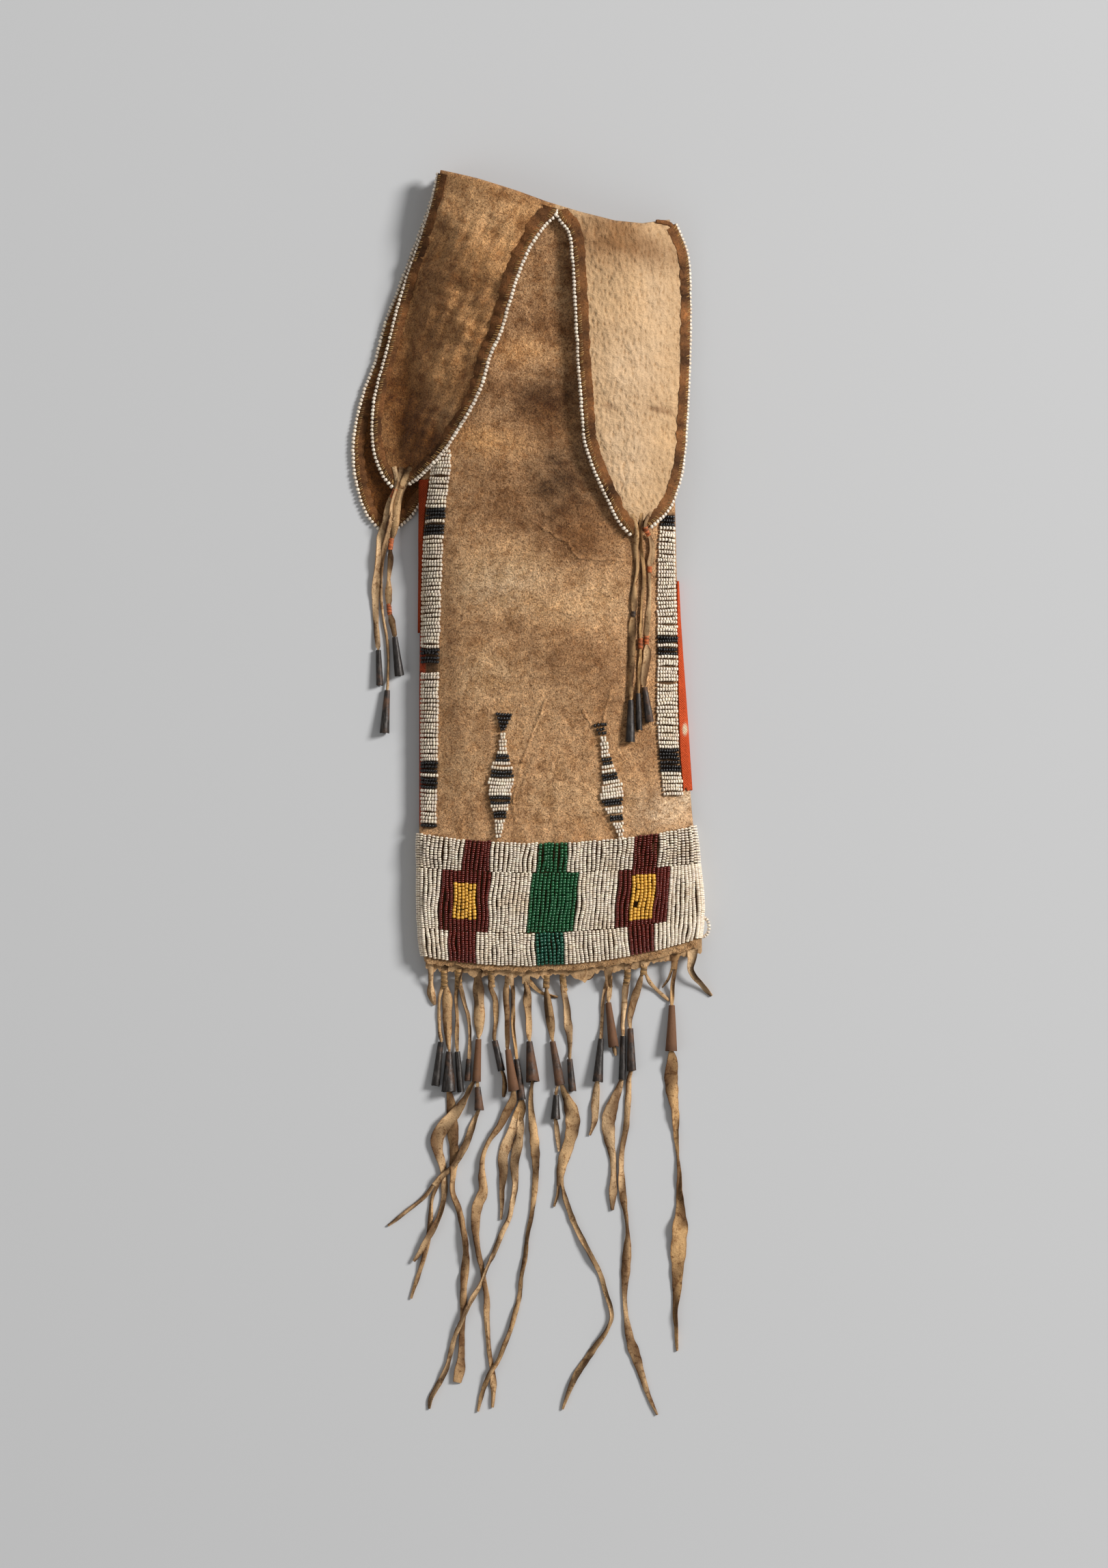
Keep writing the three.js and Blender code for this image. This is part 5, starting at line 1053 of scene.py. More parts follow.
@dataclass(frozen=True)
class RedCloth(Finish):
    """Coarse plain-woven wool, faded along its threads."""

    def paint(self, graph: Graph) -> None:
        """Over-and-under threads from sine waves of the lay; dyed unevenly, darker in the hollows as dust and painted
        shade.

        Args:
            graph: The finish's nodes.
        """
        across, along, _ = graph.lay()
        at = graph.place()
        slub = graph.noise(at, 1.0, 4.0, 0.7)
        loose = graph.noise(at, 3.0, 2.0, 0.6) * 5.0
        warp, weft = (across * (TURN / 1.5) + loose).sine(), (along * (TURN / 1.3) + loose).sine()
        weave = warp * weft * 0.5 + 0.5
        fade = graph.noise(at, 16.0, 3.0, 0.6)
        colour = graph.worn(
            graph.tint(),
            ((1.25, 1.5, 1.5), graph.step(fade, 0.45, 0.7) * 0.6),
            # Darker in the hollows of the weave: dust and painted shade between the threads.
            ((0.36, 0.26, 0.23), graph.step(weave, 0.7, 0.1) * 0.75),
            ((0.5, 0.42, 0.38), graph.step(slub, 0.48, 0.7) * 0.75),
        )
        graph.set(Base_Color=colour, Roughness=0.95, Specular_IOR_Level=0.08)
        graph.bump(weave * 0.8 + slub * 0.5, 0.6, 0.9)


@dataclass(frozen=True)
class Ribbon(Finish):
    """Worn brown ribbon with a felted face and faint cross ribs."""

    def paint(self, graph: Graph) -> None:
        """Ribs from a sine wave of the lay along the edge, rubbed golden in places and dark in others.

        Args:
            graph: The finish's nodes.
        """
        _, along, _ = graph.lay()
        at = graph.place()
        rib = (along * (TURN / 0.8)).sine() * 0.5 + 0.5
        rub = graph.noise(at, 4.0, 4.0, 0.65)
        fuzz = graph.noise(at, 0.9, 3.0, 0.65)
        colour = graph.worn(
            graph.tint(),
            ((1.9, 1.75, 1.5), graph.step(rub, 0.52, 0.7) * 0.6),
            ((0.4, 0.33, 0.27), graph.step(rub, 0.45, 0.32) * 0.7),
            ((0.5, 0.43, 0.36), graph.step(fuzz, 0.48, 0.66) * 0.75),
            ((0.75, 0.7, 0.65), rib * 0.2),
        )
        graph.set(Base_Color=colour, Roughness=0.75 + 0.2 * fuzz, Specular_IOR_Level=0.2)
        graph.bump(rib * 0.06 + rub * 0.8 + fuzz * 0.5, 0.8)


@dataclass(frozen=True)
class Tin(Finish):
    """Rolled tin gone dark or rusty: the first part of the lay vector says how rusty."""

    def paint(self, graph: Graph) -> None:
        """Dark metal blended to rust by the lay and a soft noise; rust is rough and no metal.

        Args:
            graph: The finish's nodes.
        """
        at = graph.place()
        rusty, along, _ = graph.lay()
        patch = graph.noise(at, 9.0, 4.0, 0.6)
        fleck = graph.noise(at, 1.1, 3.0, 0.65)
        scrape = graph.noise(graph.place((2.0, 0.4, 1.0)), 2.0, 3.0, 0.6)
        rust = graph.step(rusty + (patch - 0.5) * 1.5 + (fleck - 0.5) * 0.5, 0.2, 0.85)
        colour = graph.blend((0.030, 0.025, 0.022), (0.085, 0.074, 0.066), graph.step(scrape, 0.42, 0.75))
        colour = graph.blend(colour, (0.165, 0.072, 0.03), rust)
        colour = graph.worn(
            colour,
            ((0.45, 0.38, 0.32), graph.step(fleck, 0.55, 0.72) * 0.5),
            ((0.5, 0.45, 0.4), graph.step(along, 0.8, 1.0) * 0.6),
        )
        graph.set(Base_Color=colour, Metallic=0.5 - 0.45 * rust, Roughness=0.42 + 0.3 * rust + 0.12 * fleck)
        graph.bump(rust * 0.25 + fleck * 0.3 + scrape * 0.3, 0.3)


@dataclass(frozen=True)
class Wrapping(Finish):
    """Flattened quill or thread in its own tint, a little glossy."""

    def paint(self, graph: Graph) -> None:
        """Tint darkened by fine noise.

        Args:
            graph: The finish's nodes.
        """
        at = graph.place()
        worn = graph.noise(at, 1.4, 3.0, 0.6)
        colour = graph.worn(graph.tint(), ((0.5, 0.4, 0.3), graph.step(worn, 0.45, 0.75) * 0.7))
        graph.set(Base_Color=colour, Roughness=0.5 + 0.25 * worn)
        graph.bump(worn, 0.2, 0.6)


HIDE_FINISH = Suede("smoked_hide", "hide")
STRAND_FINISH = Thong("cut_strands", "fringe_hide")
CLOTH_FINISH = RedCloth("red_wool", "red_cloth")
RIBBON_FINISH = Ribbon("brown_ribbon", "ribbon")
TIN_FINISH = Tin("rusty_tin", "tin")
WRAP_FINISH = Wrapping("wrapping", "fringe_hide")
STITCH_FINISH = Wrapping("whip_thread", "ribbon")
BEAD_FINISH = {
    Glass.WHITE: GlassBead("white_glass", "white_bead", 0.5, 0.17),
    Glass.OXBLOOD: GlassBead("oxblood_glass", "oxblood_bead"),
    Glass.GREEN: GlassBead("green_glass", "green_bead"),
    Glass.SEA_GREEN: GlassBead("sea_green_glass", "green_bead"),
    Glass.YELLOW: GlassBead("yellow_glass", "yellow_bead", 0.45),
    Glass.BLACK: GlassBead("black_glass", "oxblood_bead", 0.2),
}


# ------------------------------------------------------------------ the pouch


@dataclass(frozen=True)
class Pouch:
    """The surface of the lying bag: rows across it, their section, and points on its front and sides."""

    # Thickness of the hide, and radii of the sides and of the fold at the mouth.
    hide: float = 1.6
    side_round: float = 3.2
    fold: float = 2.2
    # Rows at the foot, where the hem's bend ends, where the mouth's begins, and at the lip.
    foot: float = -154.0
    low: float = -57.75
    high: float = 227.15
    top: float = 277.2
    # How far the back's lip stays below the front's.
    back_drop: float = 2.5
    # Height of the front span's edge in side radii, one plus the sine of 60 degrees, and the step of a slope.
    span_rise: float = 1.866
    probe: float = 0.8
    # Creases of the front: start, end, half width, height.
    creases: tuple[tuple[float, ...], ...] = (
        (-17.0, 101.0, 12.5, 80.0, 1.8, 0.6), (-2.7, -4.0, -21.0, -73.0, 1.5, 0.75),
        (14.0, 84.0, 44.0, 66.0, 3.4, 0.4), (-52.0, 62.0, -20.0, 56.0, 4.5, 0.45),
        (8.0, 22.0, 40.0, 28.0, 3.6, 0.4), (39.0, 6.0, 29.0, -24.0, 1.5, 0.55),
        (22.0, -8.0, 28.0, -24.0, 1.4, 0.5), (36.0, -20.0, 47.0, -62.0, 3.0, 0.45),
        (14.0, 88.0, 46.0, 80.0, 1.6, 0.4), (6.0, 104.0, 30.0, 62.0, 1.7, 0.4),
        (-56.0, -12.0, -44.0, -64.0, 3.2, 0.4), (18.0, -34.0, 10.0, -74.0, 2.6, -0.4),
        (-8.0, 120.0, 30.0, 112.0, 4.0, 0.5), (-40.0, 30.0, 6.0, 40.0, 5.0, -0.45),
    )

    def section(self, n: Array, inset: float) -> dict[str, Array]:
        """The pouch's cross-section at rows n, moved inward by an inset.

        Args:
            n: Row numbers, which are distances along the middle of the bag.
            inset: How far inside the outer face.

        Returns:
            Edges, underside, top, side radius, middle and half width of the front span.
        """
        left, right, under, top = read_off(PROFILE, n)
        turn = np.minimum(self.side_round, (top - under) / 2 - 0.05) - inset
        return {
            "left": left + inset, "right": right - inset, "under": under + inset, "top": top - inset,
            "round": turn, "middle": (left + right) / 2, "half": (right - left) / 2 - inset - turn / 2,
        }

    def mouth(self, x: Array) -> Array:
        """Lip of the mouth at x."""
        return read_off(MOUTH, x)[0]

    def row_y(self, x: Array, n: Array) -> Array:
        """Where row n crosses x: straight in the middle, bending to the hem below and the mouth above.

        Args:
            x: Places across.
            n: Rows.

        Returns:
            Places along.
        """
        below = (self.low - n) / (self.low - self.foot) * (parabola(HEM, x) - self.foot)
        above = (n - self.high) / (self.top - self.high) * (self.mouth(x) - self.top)
        return n + np.where(n < self.low, below, 0.0) + np.where(n > self.high, above, 0.0)

    def row_of(self, x: Array, y: Array) -> Array:
        """The row that crosses the place x, y: the inverse of row_y.

        Args:
            x: Places across.
            y: Places along.

        Returns:
            Rows.
        """
        b = (parabola(HEM, x) - self.foot) / (self.low - self.foot)
        m = (self.mouth(x) - self.top) / (self.top - self.high)
        low, high = (y - self.low * b) / (1 - b), (y + self.high * m) / (1 + m)
        return np.where(y < self.low, low, np.where(y > self.high, high, y))

    def relief(self, x: Array, n: Array) -> Array:
        """Soft swells, named creases, puckers over the beadwork and small dents of the front.

        A crease is a bell across its line, faded at its two ends.

        Args:
            x: Places across.
            n: Rows.

        Returns:
            Heights to add to the front.
        """
        fade = ease((n - self.low) / 40) * ease((self.high - n) / 50)
        high = fade * (0.7 * np.sin(x / 11 + n / 38) + 0.5 * np.sin(n / 19 - x / 40))
        high = high + 0.22 * ripple(x, n * 1.5, 13.0, 5) * ease((n + 84) / 30)
        for ax, ay, bx, by, wide, tall in self.creases:
            run = math.hypot(bx - ax, by - ay)
            ux, uy = (bx - ax) / run, (by - ay) / run
            along, across = (x - ax) * ux + (n - ay) * uy, (n - ay) * ux - (x - ax) * uy
            across = across + 1.6 * np.sin(along / 7.0)
            high = high + tall * bell(across, wide) * ease(along / 9 + 0.5) * ease((run - along) / 9 + 0.5)
        pucker = bell(n + 80, 15.0) * (0.32 * np.sin(x / 1.75 + 1.5 * np.sin(x / 9)) + 0.25 * np.sin(x / 4.1))
        return high + pucker

    def front_z(self, x: Array, n: Array) -> Array:
        """Height of the middle of the front hide: a cubic crown over the span, with its relief.

        Args:
            x: Places across.
            n: Rows.

        Returns:
            Heights.
        """
        s = self.section(n, self.hide / 2)
        u = np.clip((x - s["middle"]) / s["half"], -1.0, 1.0)
        edge = s["under"] + self.span_rise * s["round"]
        return edge + (s["top"] - edge) * (1 - np.abs(u) ** 3) + self.relief(x, n) * (1 - u**4)

    def on_front(self, x: Array, y: Array, off: float | Array) -> Array:
        """Points standing off the middle of the front hide along its normal, found by differences.

        Args:
            x: Places across.
            y: Places along.
            off: Distance off the middle of the hide.

        Returns:
            Points.
        """
        x, y, off = np.broadcast_arrays(*(np.asarray(v, float) for v in (x, y, off)))

        def z(dx: float, dy: float) -> Array:
            """Height a little to one side."""
            return self.front_z(x + dx, self.row_of(x + dx, y + dy))

        d = self.probe
        normal = unit(stack(z(-d, 0) - z(d, 0), z(0, -d) - z(0, d), np.full_like(x, 2 * d)))
        return stack(x, y, z(0, 0)) + normal * off[..., None]

    def on_side(self, n: Array, side: Side, degrees: Array, off: float | Array, inset: float = 0.0) -> Array:
        """Points round the side of the pouch, off outward of its section.

        Args:
            n: Rows.
            side: Which side.
            degrees: Angle up from level, 60 where the front span begins.
            off: Distance off the section.
            inset: Inset of the section.

        Returns:
            Points.
        """
        n, degrees = np.broadcast_arrays(np.asarray(n, float), np.asarray(degrees, float))
        s = self.section(n, inset)
        a, way = np.radians(degrees), side.value
        edge = s[side.word]
        x = edge - way * s["round"] + way * (s["round"] + off) * np.cos(a)
        return stack(x, self.row_y(edge, n), s["under"] + s["round"] + (s["round"] + off) * np.sin(a))


POUCH = Pouch()


@dataclass(frozen=True)
class Patch:
    """A soft-edged patch of colour on hide: an ellipse of the given half axes, turned by degrees."""

    x: float
    y: float
    wide: float
    tall: float
    turn: float
    share: float
    dye: Dye

    def over(self, tint: Array, x: Array, y: Array) -> Array:
        """The tint carried toward the patch's dye by a bell of the distance from its middle.

        Args:
            tint: Colours to change.
            x: Places across.
            y: Places along.

        Returns:
            The changed colours.
        """
        a = math.radians(self.turn)
        u = ((x - self.x) * math.cos(a) + (y - self.y) * math.sin(a)) / self.wide
        v = ((y - self.y) * math.cos(a) - (x - self.x) * math.sin(a)) / self.tall
        wander = 0.35 * ripple(x, y, 11.0, int(abs(self.x * 3 + self.y)) + 1)
        share = self.share * np.exp(-np.maximum(u * u + v * v + wander * 0.6, 0.0))
        return mix(tint, self.dye.rgb, share[..., None])


# Patches of the front hide: partly stains and paler places of the hide, partly painted shade and light of its soft
# swells.
BODY_PATCHES: tuple[Patch, ...] = (
    Patch(0, 242, 16, 22, 0, 0.4, Dye.STAIN), Patch(-8, 226, 16, 9, 0, 0.45, Dye.PALE),
    Patch(-4, 204, 22, 9, -6, 0.75, Dye.STAIN), Patch(-20, 190, 18, 7, 0, 0.7, Dye.AMBER),
    # The two near black patches beside the right tab's west edge are partly smoke stain, partly the right tab's
    # painted shadow.
    Patch(-6, 163, 17, 14, 6, 0.95, Dye.SMOKE), Patch(-34, 172, 11, 8, 0, 0.5, Dye.STAIN),
    Patch(-2, 150, 22, 18, 0, 0.65, Dye.STAIN), Patch(-40, 140, 24, 8, -8, 0.95, Dye.AMBER),
    Patch(2, 114, 20, 26, 0, 0.88, Dye.SMOKE), Patch(18, 96, 18, 18, 20, 0.55, Dye.STAIN),
    Patch(-36, 120, 18, 7, -6, 0.4, Dye.STAIN), Patch(-30, 102, 18, 13, 0, 0.6, Dye.STAIN),
    Patch(14, 82, 20, 13, 0, 0.8, Dye.STAIN), Patch(-32, 62, 32, 17, 6, 1.0, Dye.PALE),
    Patch(-28, 58, 20, 9, 4, 0.4, Dye.CREAM), Patch(24, 52, 16, 12, 0, 0.55, Dye.PALE),
    Patch(-30, 36, 30, 5, 3, 0.5, Dye.STAIN), Patch(6, 44, 34, 9, 2, 0.55, Dye.PALE),
    Patch(4, 16, 24, 18, 8, 0.55, Dye.STAIN), Patch(-36, 8, 24, 15, 8, 0.8, Dye.PALE),
    Patch(-14, -16, 30, 13, 30, 0.4, Dye.PALE), Patch(30, -6, 13, 20, -12, 0.45, Dye.STAIN),
    Patch(-52, -46, 14, 13, 0, 0.55, Dye.PALE), Patch(-38, -30, 9, 8, 0, 0.3, Dye.STAIN),
    Patch(-4, -58, 26, 13, 0, 0.5, Dye.PALE), Patch(-36, -64, 14, 7, 0, 0.35, Dye.STAIN),
    Patch(52, -34, 7, 26, 3, 0.4, Dye.STAIN), Patch(30, -64, 18, 10, 0, 0.5, Dye.PALE),
    Patch(62, -68, 16, 10, 0, 0.75, Dye.CREAM), Patch(75, -61, 6, 6, 0, 0.9, Dye.CREAM),
    Patch(-58, 20, 4, 80, 2, 0.35, Dye.STAIN),
)


@dataclass(frozen=True)
class Tab:
    """One tongue of the mouth, turned out and down over the bag."""

    name: str
    face: Face
    side: Side
    west: Rows
    east: Rows
    dye: Dye
    swell: float
    lay: tuple[float, float, float]
    patches: tuple[Patch, ...] = ()
    # Height where a front tab rests past the side, its lift over the front and over beads, and a back tab's height.
    rest: float = 5.2
    lift: float = 3.4
    strip_lift: float = 5.5
    floor: float = 0.8
    # Rise of the curled edge, how far inside the bag's edge the tab starts to hang, and how slowly it bends.
    curl: float = 2.6
    shore: float = 8.0
    droop: float = 120.0
    # The notch between the front tabs: its middle, half its width, and the share of the tab that it narrows over.
    notch: tuple[float, float, float] = (1.6, 0.7, 0.07)

    def height(self, x: Array, y: Array, v: Array, t: Array) -> Array:
        """Height of the tab's middle: over the front, hanging past its side, or flat on the floor.

        Past the shore, a little inside the edge, the tab falls on the front's slope and a parabola, and eases
        out level where it comes to rest on the tab below.

        Args:
            x: Places across.
            y: Places along.
            v: Share of the way from the fold to the tip.
            t: Share of the way from the west to the east edge.

        Returns:
            Heights.
        """
        if self.face is Face.BACK:
            return np.full_like(x, self.floor)
        far = self.lift if self.side is Side.LEFT else mix(self.lift, self.strip_lift, t)
        free_edge = 1 - t if self.side is Side.RIGHT else t
        curl = self.curl * free_edge**4 * ease(v * 4) * ease((1 - v) * 3)
        lift = mix(2 * POUCH.fold, far, ease(1.2 * v)) + curl + self.swell * (0.6 + self.dents(x, y)) * ease(v * 6)
        n = POUCH.row_of(x, y)
        s = POUCH.section(n, POUCH.hide / 2)
        hang = np.maximum(np.maximum(s["left"] + self.shore - x, x - s["right"] + self.shore), 0.0)
        shore = np.clip(x, s["left"] + self.shore, s["right"] - self.shore)
        fall = np.abs(POUCH.front_z(shore + 1, n) - POUCH.front_z(shore - 1, n)) / 2
        free = POUCH.front_z(shore, n) + lift - fall * hang - hang**2 / self.droop - self.rest
        over = self.rest + (free + np.sqrt(free**2 + 4)) / 2
        return np.where(hang > 0, over, POUCH.front_z(x, n) + lift)

    def dents(self, x: Array, y: Array) -> Array:
        """Rumples of the tab: a coarse and a finer soft swell."""
        return ripple(x, y, 24.0, 31 + self.side.value) * 0.7 + ripple(x, y, 11.0, 41 + self.side.value) * 0.4

    def surface(self, v: Array, t: Array) -> Array:
        """Points of the tab's middle surface at shares v down it and t across it.

        The two edges are smooth curves through their points, and each row runs straight between them.

        Args:
            v: Shares from the fold to the tip, one per row.
            t: Shares from west to east, one per column.

        Returns:
            Points, rows by columns by 3.
        """
        v, t = np.atleast_1d(np.asarray(v, float)), np.atleast_1d(np.asarray(t, float))
        west, east = spline(self.west, v)[:, None], spline(self.east, v)[:, None]
        if self.face is Face.FRONT:
            middle, half, share = self.notch
            slit = east if self.side is Side.LEFT else west
            slit[..., 0] = mix(middle + half * self.side.value, slit[..., 0], ease(v / share)[:, None])
        plan = mix(west, east, t[None, :, None])
        x, y = plan[..., 0], plan[..., 1]
        full = np.broadcast_arrays(x, v[:, None], t[None])
        return stack(x, y, self.height(x, y, full[1], full[2]))

    def border(self, step: float, start: float = 0.008) -> tuple[Array, Array, Array, Array]:
        """The tab's edge from the fold down the west side, round the tip and up the east side.

        Args:
            step: Distance between places.
            start: Share down the tab where it begins.

        Returns:
            Places, unit vectors inward, unit vectors up off the tab, and nearness to the tip.
        """
        down = np.linspace(start, 1.0, 200)
        tip = np.linspace(0.0, 1.0, 25)[1:-1]
        edge = [self.surface(down, 0.0)[:, 0], self.surface(1.0, tip)[0], self.surface(down[::-1], 1.0)[:, 0]]
        inner = [self.surface(down, 0.08)[:, 0], self.surface(0.97, mix(0.2, 0.8, tip))[0],
                 self.surface(down[::-1], 0.92)[:, 0]]
        at_tip = np.concatenate([np.zeros_like(down), np.ones_like(tip), np.zeros_like(down)])
        line = np.concatenate([np.concatenate(edge), np.concatenate(inner), at_tip[:, None]], 1)
        line = even(line, step)
        inward = unit(line[:, 3:6] - line[:, :3])
        ahead = unit(np.gradient(line[:, :3], axis=0))
        inward = unit(inward - ahead * (inward * ahead).sum(1, keepdims=True))
        smooth = np.ones(5) / 5
        inward = unit(np.stack([np.convolve(np.pad(inward[:, k], 2, "edge"), smooth, "valid") for k in range(3)], 1))
        up = unit(np.cross(ahead, inward))
        up = up * np.sign(up[:, 2:])
        length = np.arange(len(line)) * step
        middle = length[line[:, 6] > 0.5].mean()
        return line[:, :3], inward, up, bell(length - middle, 9.0)

    def tint(self, points: Array) -> Array:
        """The tab's dye with its patches.

        Args:
            points: Grid of the tab.

        Returns:
            One colour per point.
        """
        x, y = points[..., 0], points[..., 1]
        tint = spread(self.dye.rgb, x.size).reshape(*x.shape, 3)
        for patch in self.patches:
            tint = patch.over(tint, x, y)
        return tint


TABS: dict[str, Tab] = {tab.name: tab for tab in (
    Tab(
        "left_front", Face.FRONT, Side.LEFT, LEFT_FRONT_WEST, LEFT_FRONT_EAST, Dye.GOLDEN, 1.9, (0.1, 0.4, 0.85),
        # The left tab's upper part is brightened partly as painted light, and its part hanging past the left side is
        # darkened partly as painted shade.
        (
            Patch(-40, 262, 34, 26, -15, 0.9, Dye.AMBER), Patch(-44, 268, 24, 16, -15, 0.4, Dye.PALE),
            Patch(-64, 236, 10, 24, 12, 0.4, Dye.STAIN), Patch(-60, 262, 8, 8, 0, 0.3, Dye.STAIN),
            Patch(-44, 232, 9, 8, 20, 0.3, Dye.STAIN), Patch(-50, 208, 10, 15, 20, 0.6, Dye.AMBER),
            Patch(-70, 206, 9, 22, 14, 0.35, Dye.STAIN), Patch(-54, 176, 8, 11, -20, 0.5, Dye.STAIN),
            Patch(-63, 181, 11, 10, 0, 0.85, Dye.AMBER), Patch(-86, 164, 16, 44, 10, 0.92, Dye.STAIN),
            Patch(-72, 142, 13, 16, 20, 0.8, Dye.STAIN), Patch(-80, 124, 14, 16, 0, 0.8, Dye.STAIN),
            Patch(-60, 154, 7, 8, 0, 0.25, Dye.PALE),
        ),
    ),
    Tab(
        "right_front", Face.FRONT, Side.RIGHT, RIGHT_FRONT_WEST, RIGHT_FRONT_EAST, Dye.TAB, 0.45, (1.0, 0.08, 0.16),
        (
            Patch(30.8, 159, 4, 1.7, -8, 0.75, Dye.STAIN), Patch(58.9, 157.5, 7, 1.5, -14, 0.8, Dye.STAIN),
            Patch(30, 254, 24, 15, 0, 0.7, Dye.STAIN), Patch(52, 247, 20, 9, -20, 0.5, Dye.STAIN),
            Patch(58, 260, 8, 6, 0, 0.4, Dye.PALE), Patch(44, 180, 20, 24, 0, 0.35, Dye.CREAM),
            Patch(40, 130, 14, 26, 0, 0.4, Dye.CREAM), Patch(56, 220, 12, 20, 0, 0.25, Dye.CREAM),
        ),
    ),
    # The back left tab is dyed dark all over as painted shade, where it lies under the front left tab.
    Tab(
        "left_back", Face.BACK, Side.LEFT, LEFT_BACK_WEST, LEFT_BACK_EAST, Dye.STAIN, 0.0, (0.1, 0.35, 0.5),
    ),
    Tab(
        "right_back", Face.BACK, Side.RIGHT, RIGHT_BACK_WEST, RIGHT_BACK_EAST, Dye.UNDER, 0.0, (0.1, 0.35, 0.5),
    ),
)}


@dataclass
class Hides:
    """The two hides of the pouch, each with its two tabs turned out at the mouth."""

    columns: int = 111
    rows: int = 190
    lip_rows: int = 36
    tab_rows: int = 100
    fold_steps: int = 9
    # The row where the lip begins, and the share of a tab that the fold takes.
    lip_start: float = 228.0
    tab_start: float = 0.05
    # Degrees up from level of the columns round the sides of the front and of the back.
    seam: tuple[float, ...] = (9.0, 20.0, 33.0, 47.0)
    arc: tuple[float, ...] = (-9.0, -24.0, -40.0, -57.0, -74.0)

    def row_numbers(self, x: Array, drop: float) -> Array:
        """Rows of the grid where they cross x: even up to the lip, then closing on the mouth.

        Args:
            x: Place across of each row and column.
            drop: How far below the mouth the last row stays.

        Returns:
            Row numbers, shaped as x.
        """
        body = np.linspace(POUCH.foot, self.lip_start, self.rows)
        end = POUCH.row_of(x, POUCH.mouth(x) - drop)
        share = np.linspace(0.0, 1.0, self.lip_rows + 1)[1:]
        lip = mix(self.lip_start, end[self.rows:], share[:, None])
        return np.concatenate([np.broadcast_to(body[:, None], (self.rows, x.shape[1])), lip])

    def middles(self, drop: float) -> dict[str, Array]:
        """Sections where the rows cross the bag's middle line."""
        n = self.row_numbers(np.zeros((self.rows + self.lip_rows, 1)), drop)
        return POUCH.section(n, POUCH.hide / 2)

    def round_side(self, side: Side, drop: float, degrees: tuple[float, ...]) -> Array:
        """Points of the middle surface round one side, at angles up from level."""
        n = self.row_numbers(self.middles(drop)[side.word], drop)
        return POUCH.on_side(n, side, degrees, 0.0, POUCH.hide / 2)

    def front_grid(self) -> Array:
        """The front's middle surface: up the left side arc, over the crown and down the right arc.

        Returns:
            Points, rows by columns by 3.
        """
        s = self.middles(POUCH.fold)
        x = s["middle"] + np.linspace(-1.0, 1.0, self.columns) * s["half"]
        n = self.row_numbers(x, POUCH.fold)
        rag = 0.8 * wave(x, 7.0, 91) + 0.45 * wave(x, 2.6, 92) - 0.3
        y = POUCH.row_y(x, n) + rag * np.clip((POUCH.foot + 5 - n) / 5, 0.0, 1.0) ** 2
        span = stack(x, y, POUCH.front_z(x, n))
        left = self.round_side(Side.LEFT, POUCH.fold, self.seam)
        right = self.round_side(Side.RIGHT, POUCH.fold, self.seam[::-1])
        return np.concatenate([left, span, right], 1)

    def back_grid(self) -> Array:
        """The back's middle surface: under the right side arc, flat across and up the left arc.

        Returns:
            Points, rows by columns by 3.
        """
        drop = POUCH.fold + POUCH.back_drop
        s = self.middles(drop)
        x = mix(s["right"] - s["round"], s["left"] + s["round"], np.linspace(0.0, 1.0, self.columns // 2))
        n = self.row_numbers(x, drop)
        flat = POUCH.section(n, POUCH.hide / 2)["under"] + 0.05 + 0.05 * np.tanh(ripple(x, n, 30.0, 3))
        span = stack(x, POUCH.row_y(x, n), flat)
        right = self.round_side(Side.RIGHT, drop, self.arc)
        left = self.round_side(Side.LEFT, drop, self.arc[::-1])
        return np.concatenate([right, span, left], 1)

    def turned_out(self, row: Array, face: Face, grid: Array) -> Array:
        """A tab carried on from a row of the lip: half a circle of the fold, then the tab's own grid.

        Args:
            row: Points of the lip.
            face: Which hide it is.
            grid: The tab's own points.

        Returns:
            Points, rows by columns by 3.
        """
        a = np.linspace(0.0, math.pi, self.fold_steps)[1:, None]
        turn = row[None] + stack(0.0, POUCH.fold * np.sin(a), face.value * POUCH.fold * (1 - np.cos(a)))
        return np.concatenate([turn, grid])

    def sheet(self, body: Array, first: int, face: Face, tabs: tuple[Tab, Tab]) -> Shape:
        """One hide as a closed sheet: its body and, from its lip, two tabs that share the notch.

        Args:
            body: Grid of the body.
            first: Column where the first tab begins.
            face: Which hide it is.
            tabs: The tab from the first column to the notch, then the other.

        Returns:
            The thickened hide.
        """
        rows, wide = body.shape[:2]
        ids = np.arange(rows * wide).reshape(rows, wide)
        points, faces = [body.reshape(-1, 3)], [quads(ids)]
        tint, lay = [self.body_tint(body, face)], [self.body_lay(body)]
        notch = (wide - 1) // 2
        total = rows * wide
        down = np.linspace(self.tab_start, 1.0, self.tab_rows)
        for tab, start, stop in ((tabs[0], first, notch), (tabs[1], notch, wide - 1 - first)):
            share = np.linspace(0.0, 1.0, stop - start + 1)
            grid = tab.surface(down, share if face is Face.FRONT else share[::-1])
            made = self.turned_out(body[-1, start:stop + 1], face, grid)
            new = total + np.arange(made.shape[0] * made.shape[1]).reshape(made.shape[:2])
            faces.append(quads(np.concatenate([ids[-1:, start:stop + 1], new])))
            points.append(made.reshape(-1, 3))
            tint.append(tab.tint(made).reshape(-1, 3))
            lay.append(spread(tab.lay, new.size))
            total += new.size
        return thicken(
            np.concatenate(points), np.concatenate(faces), POUCH.hide / 2, np.concatenate(tint), np.concatenate(lay)
        )

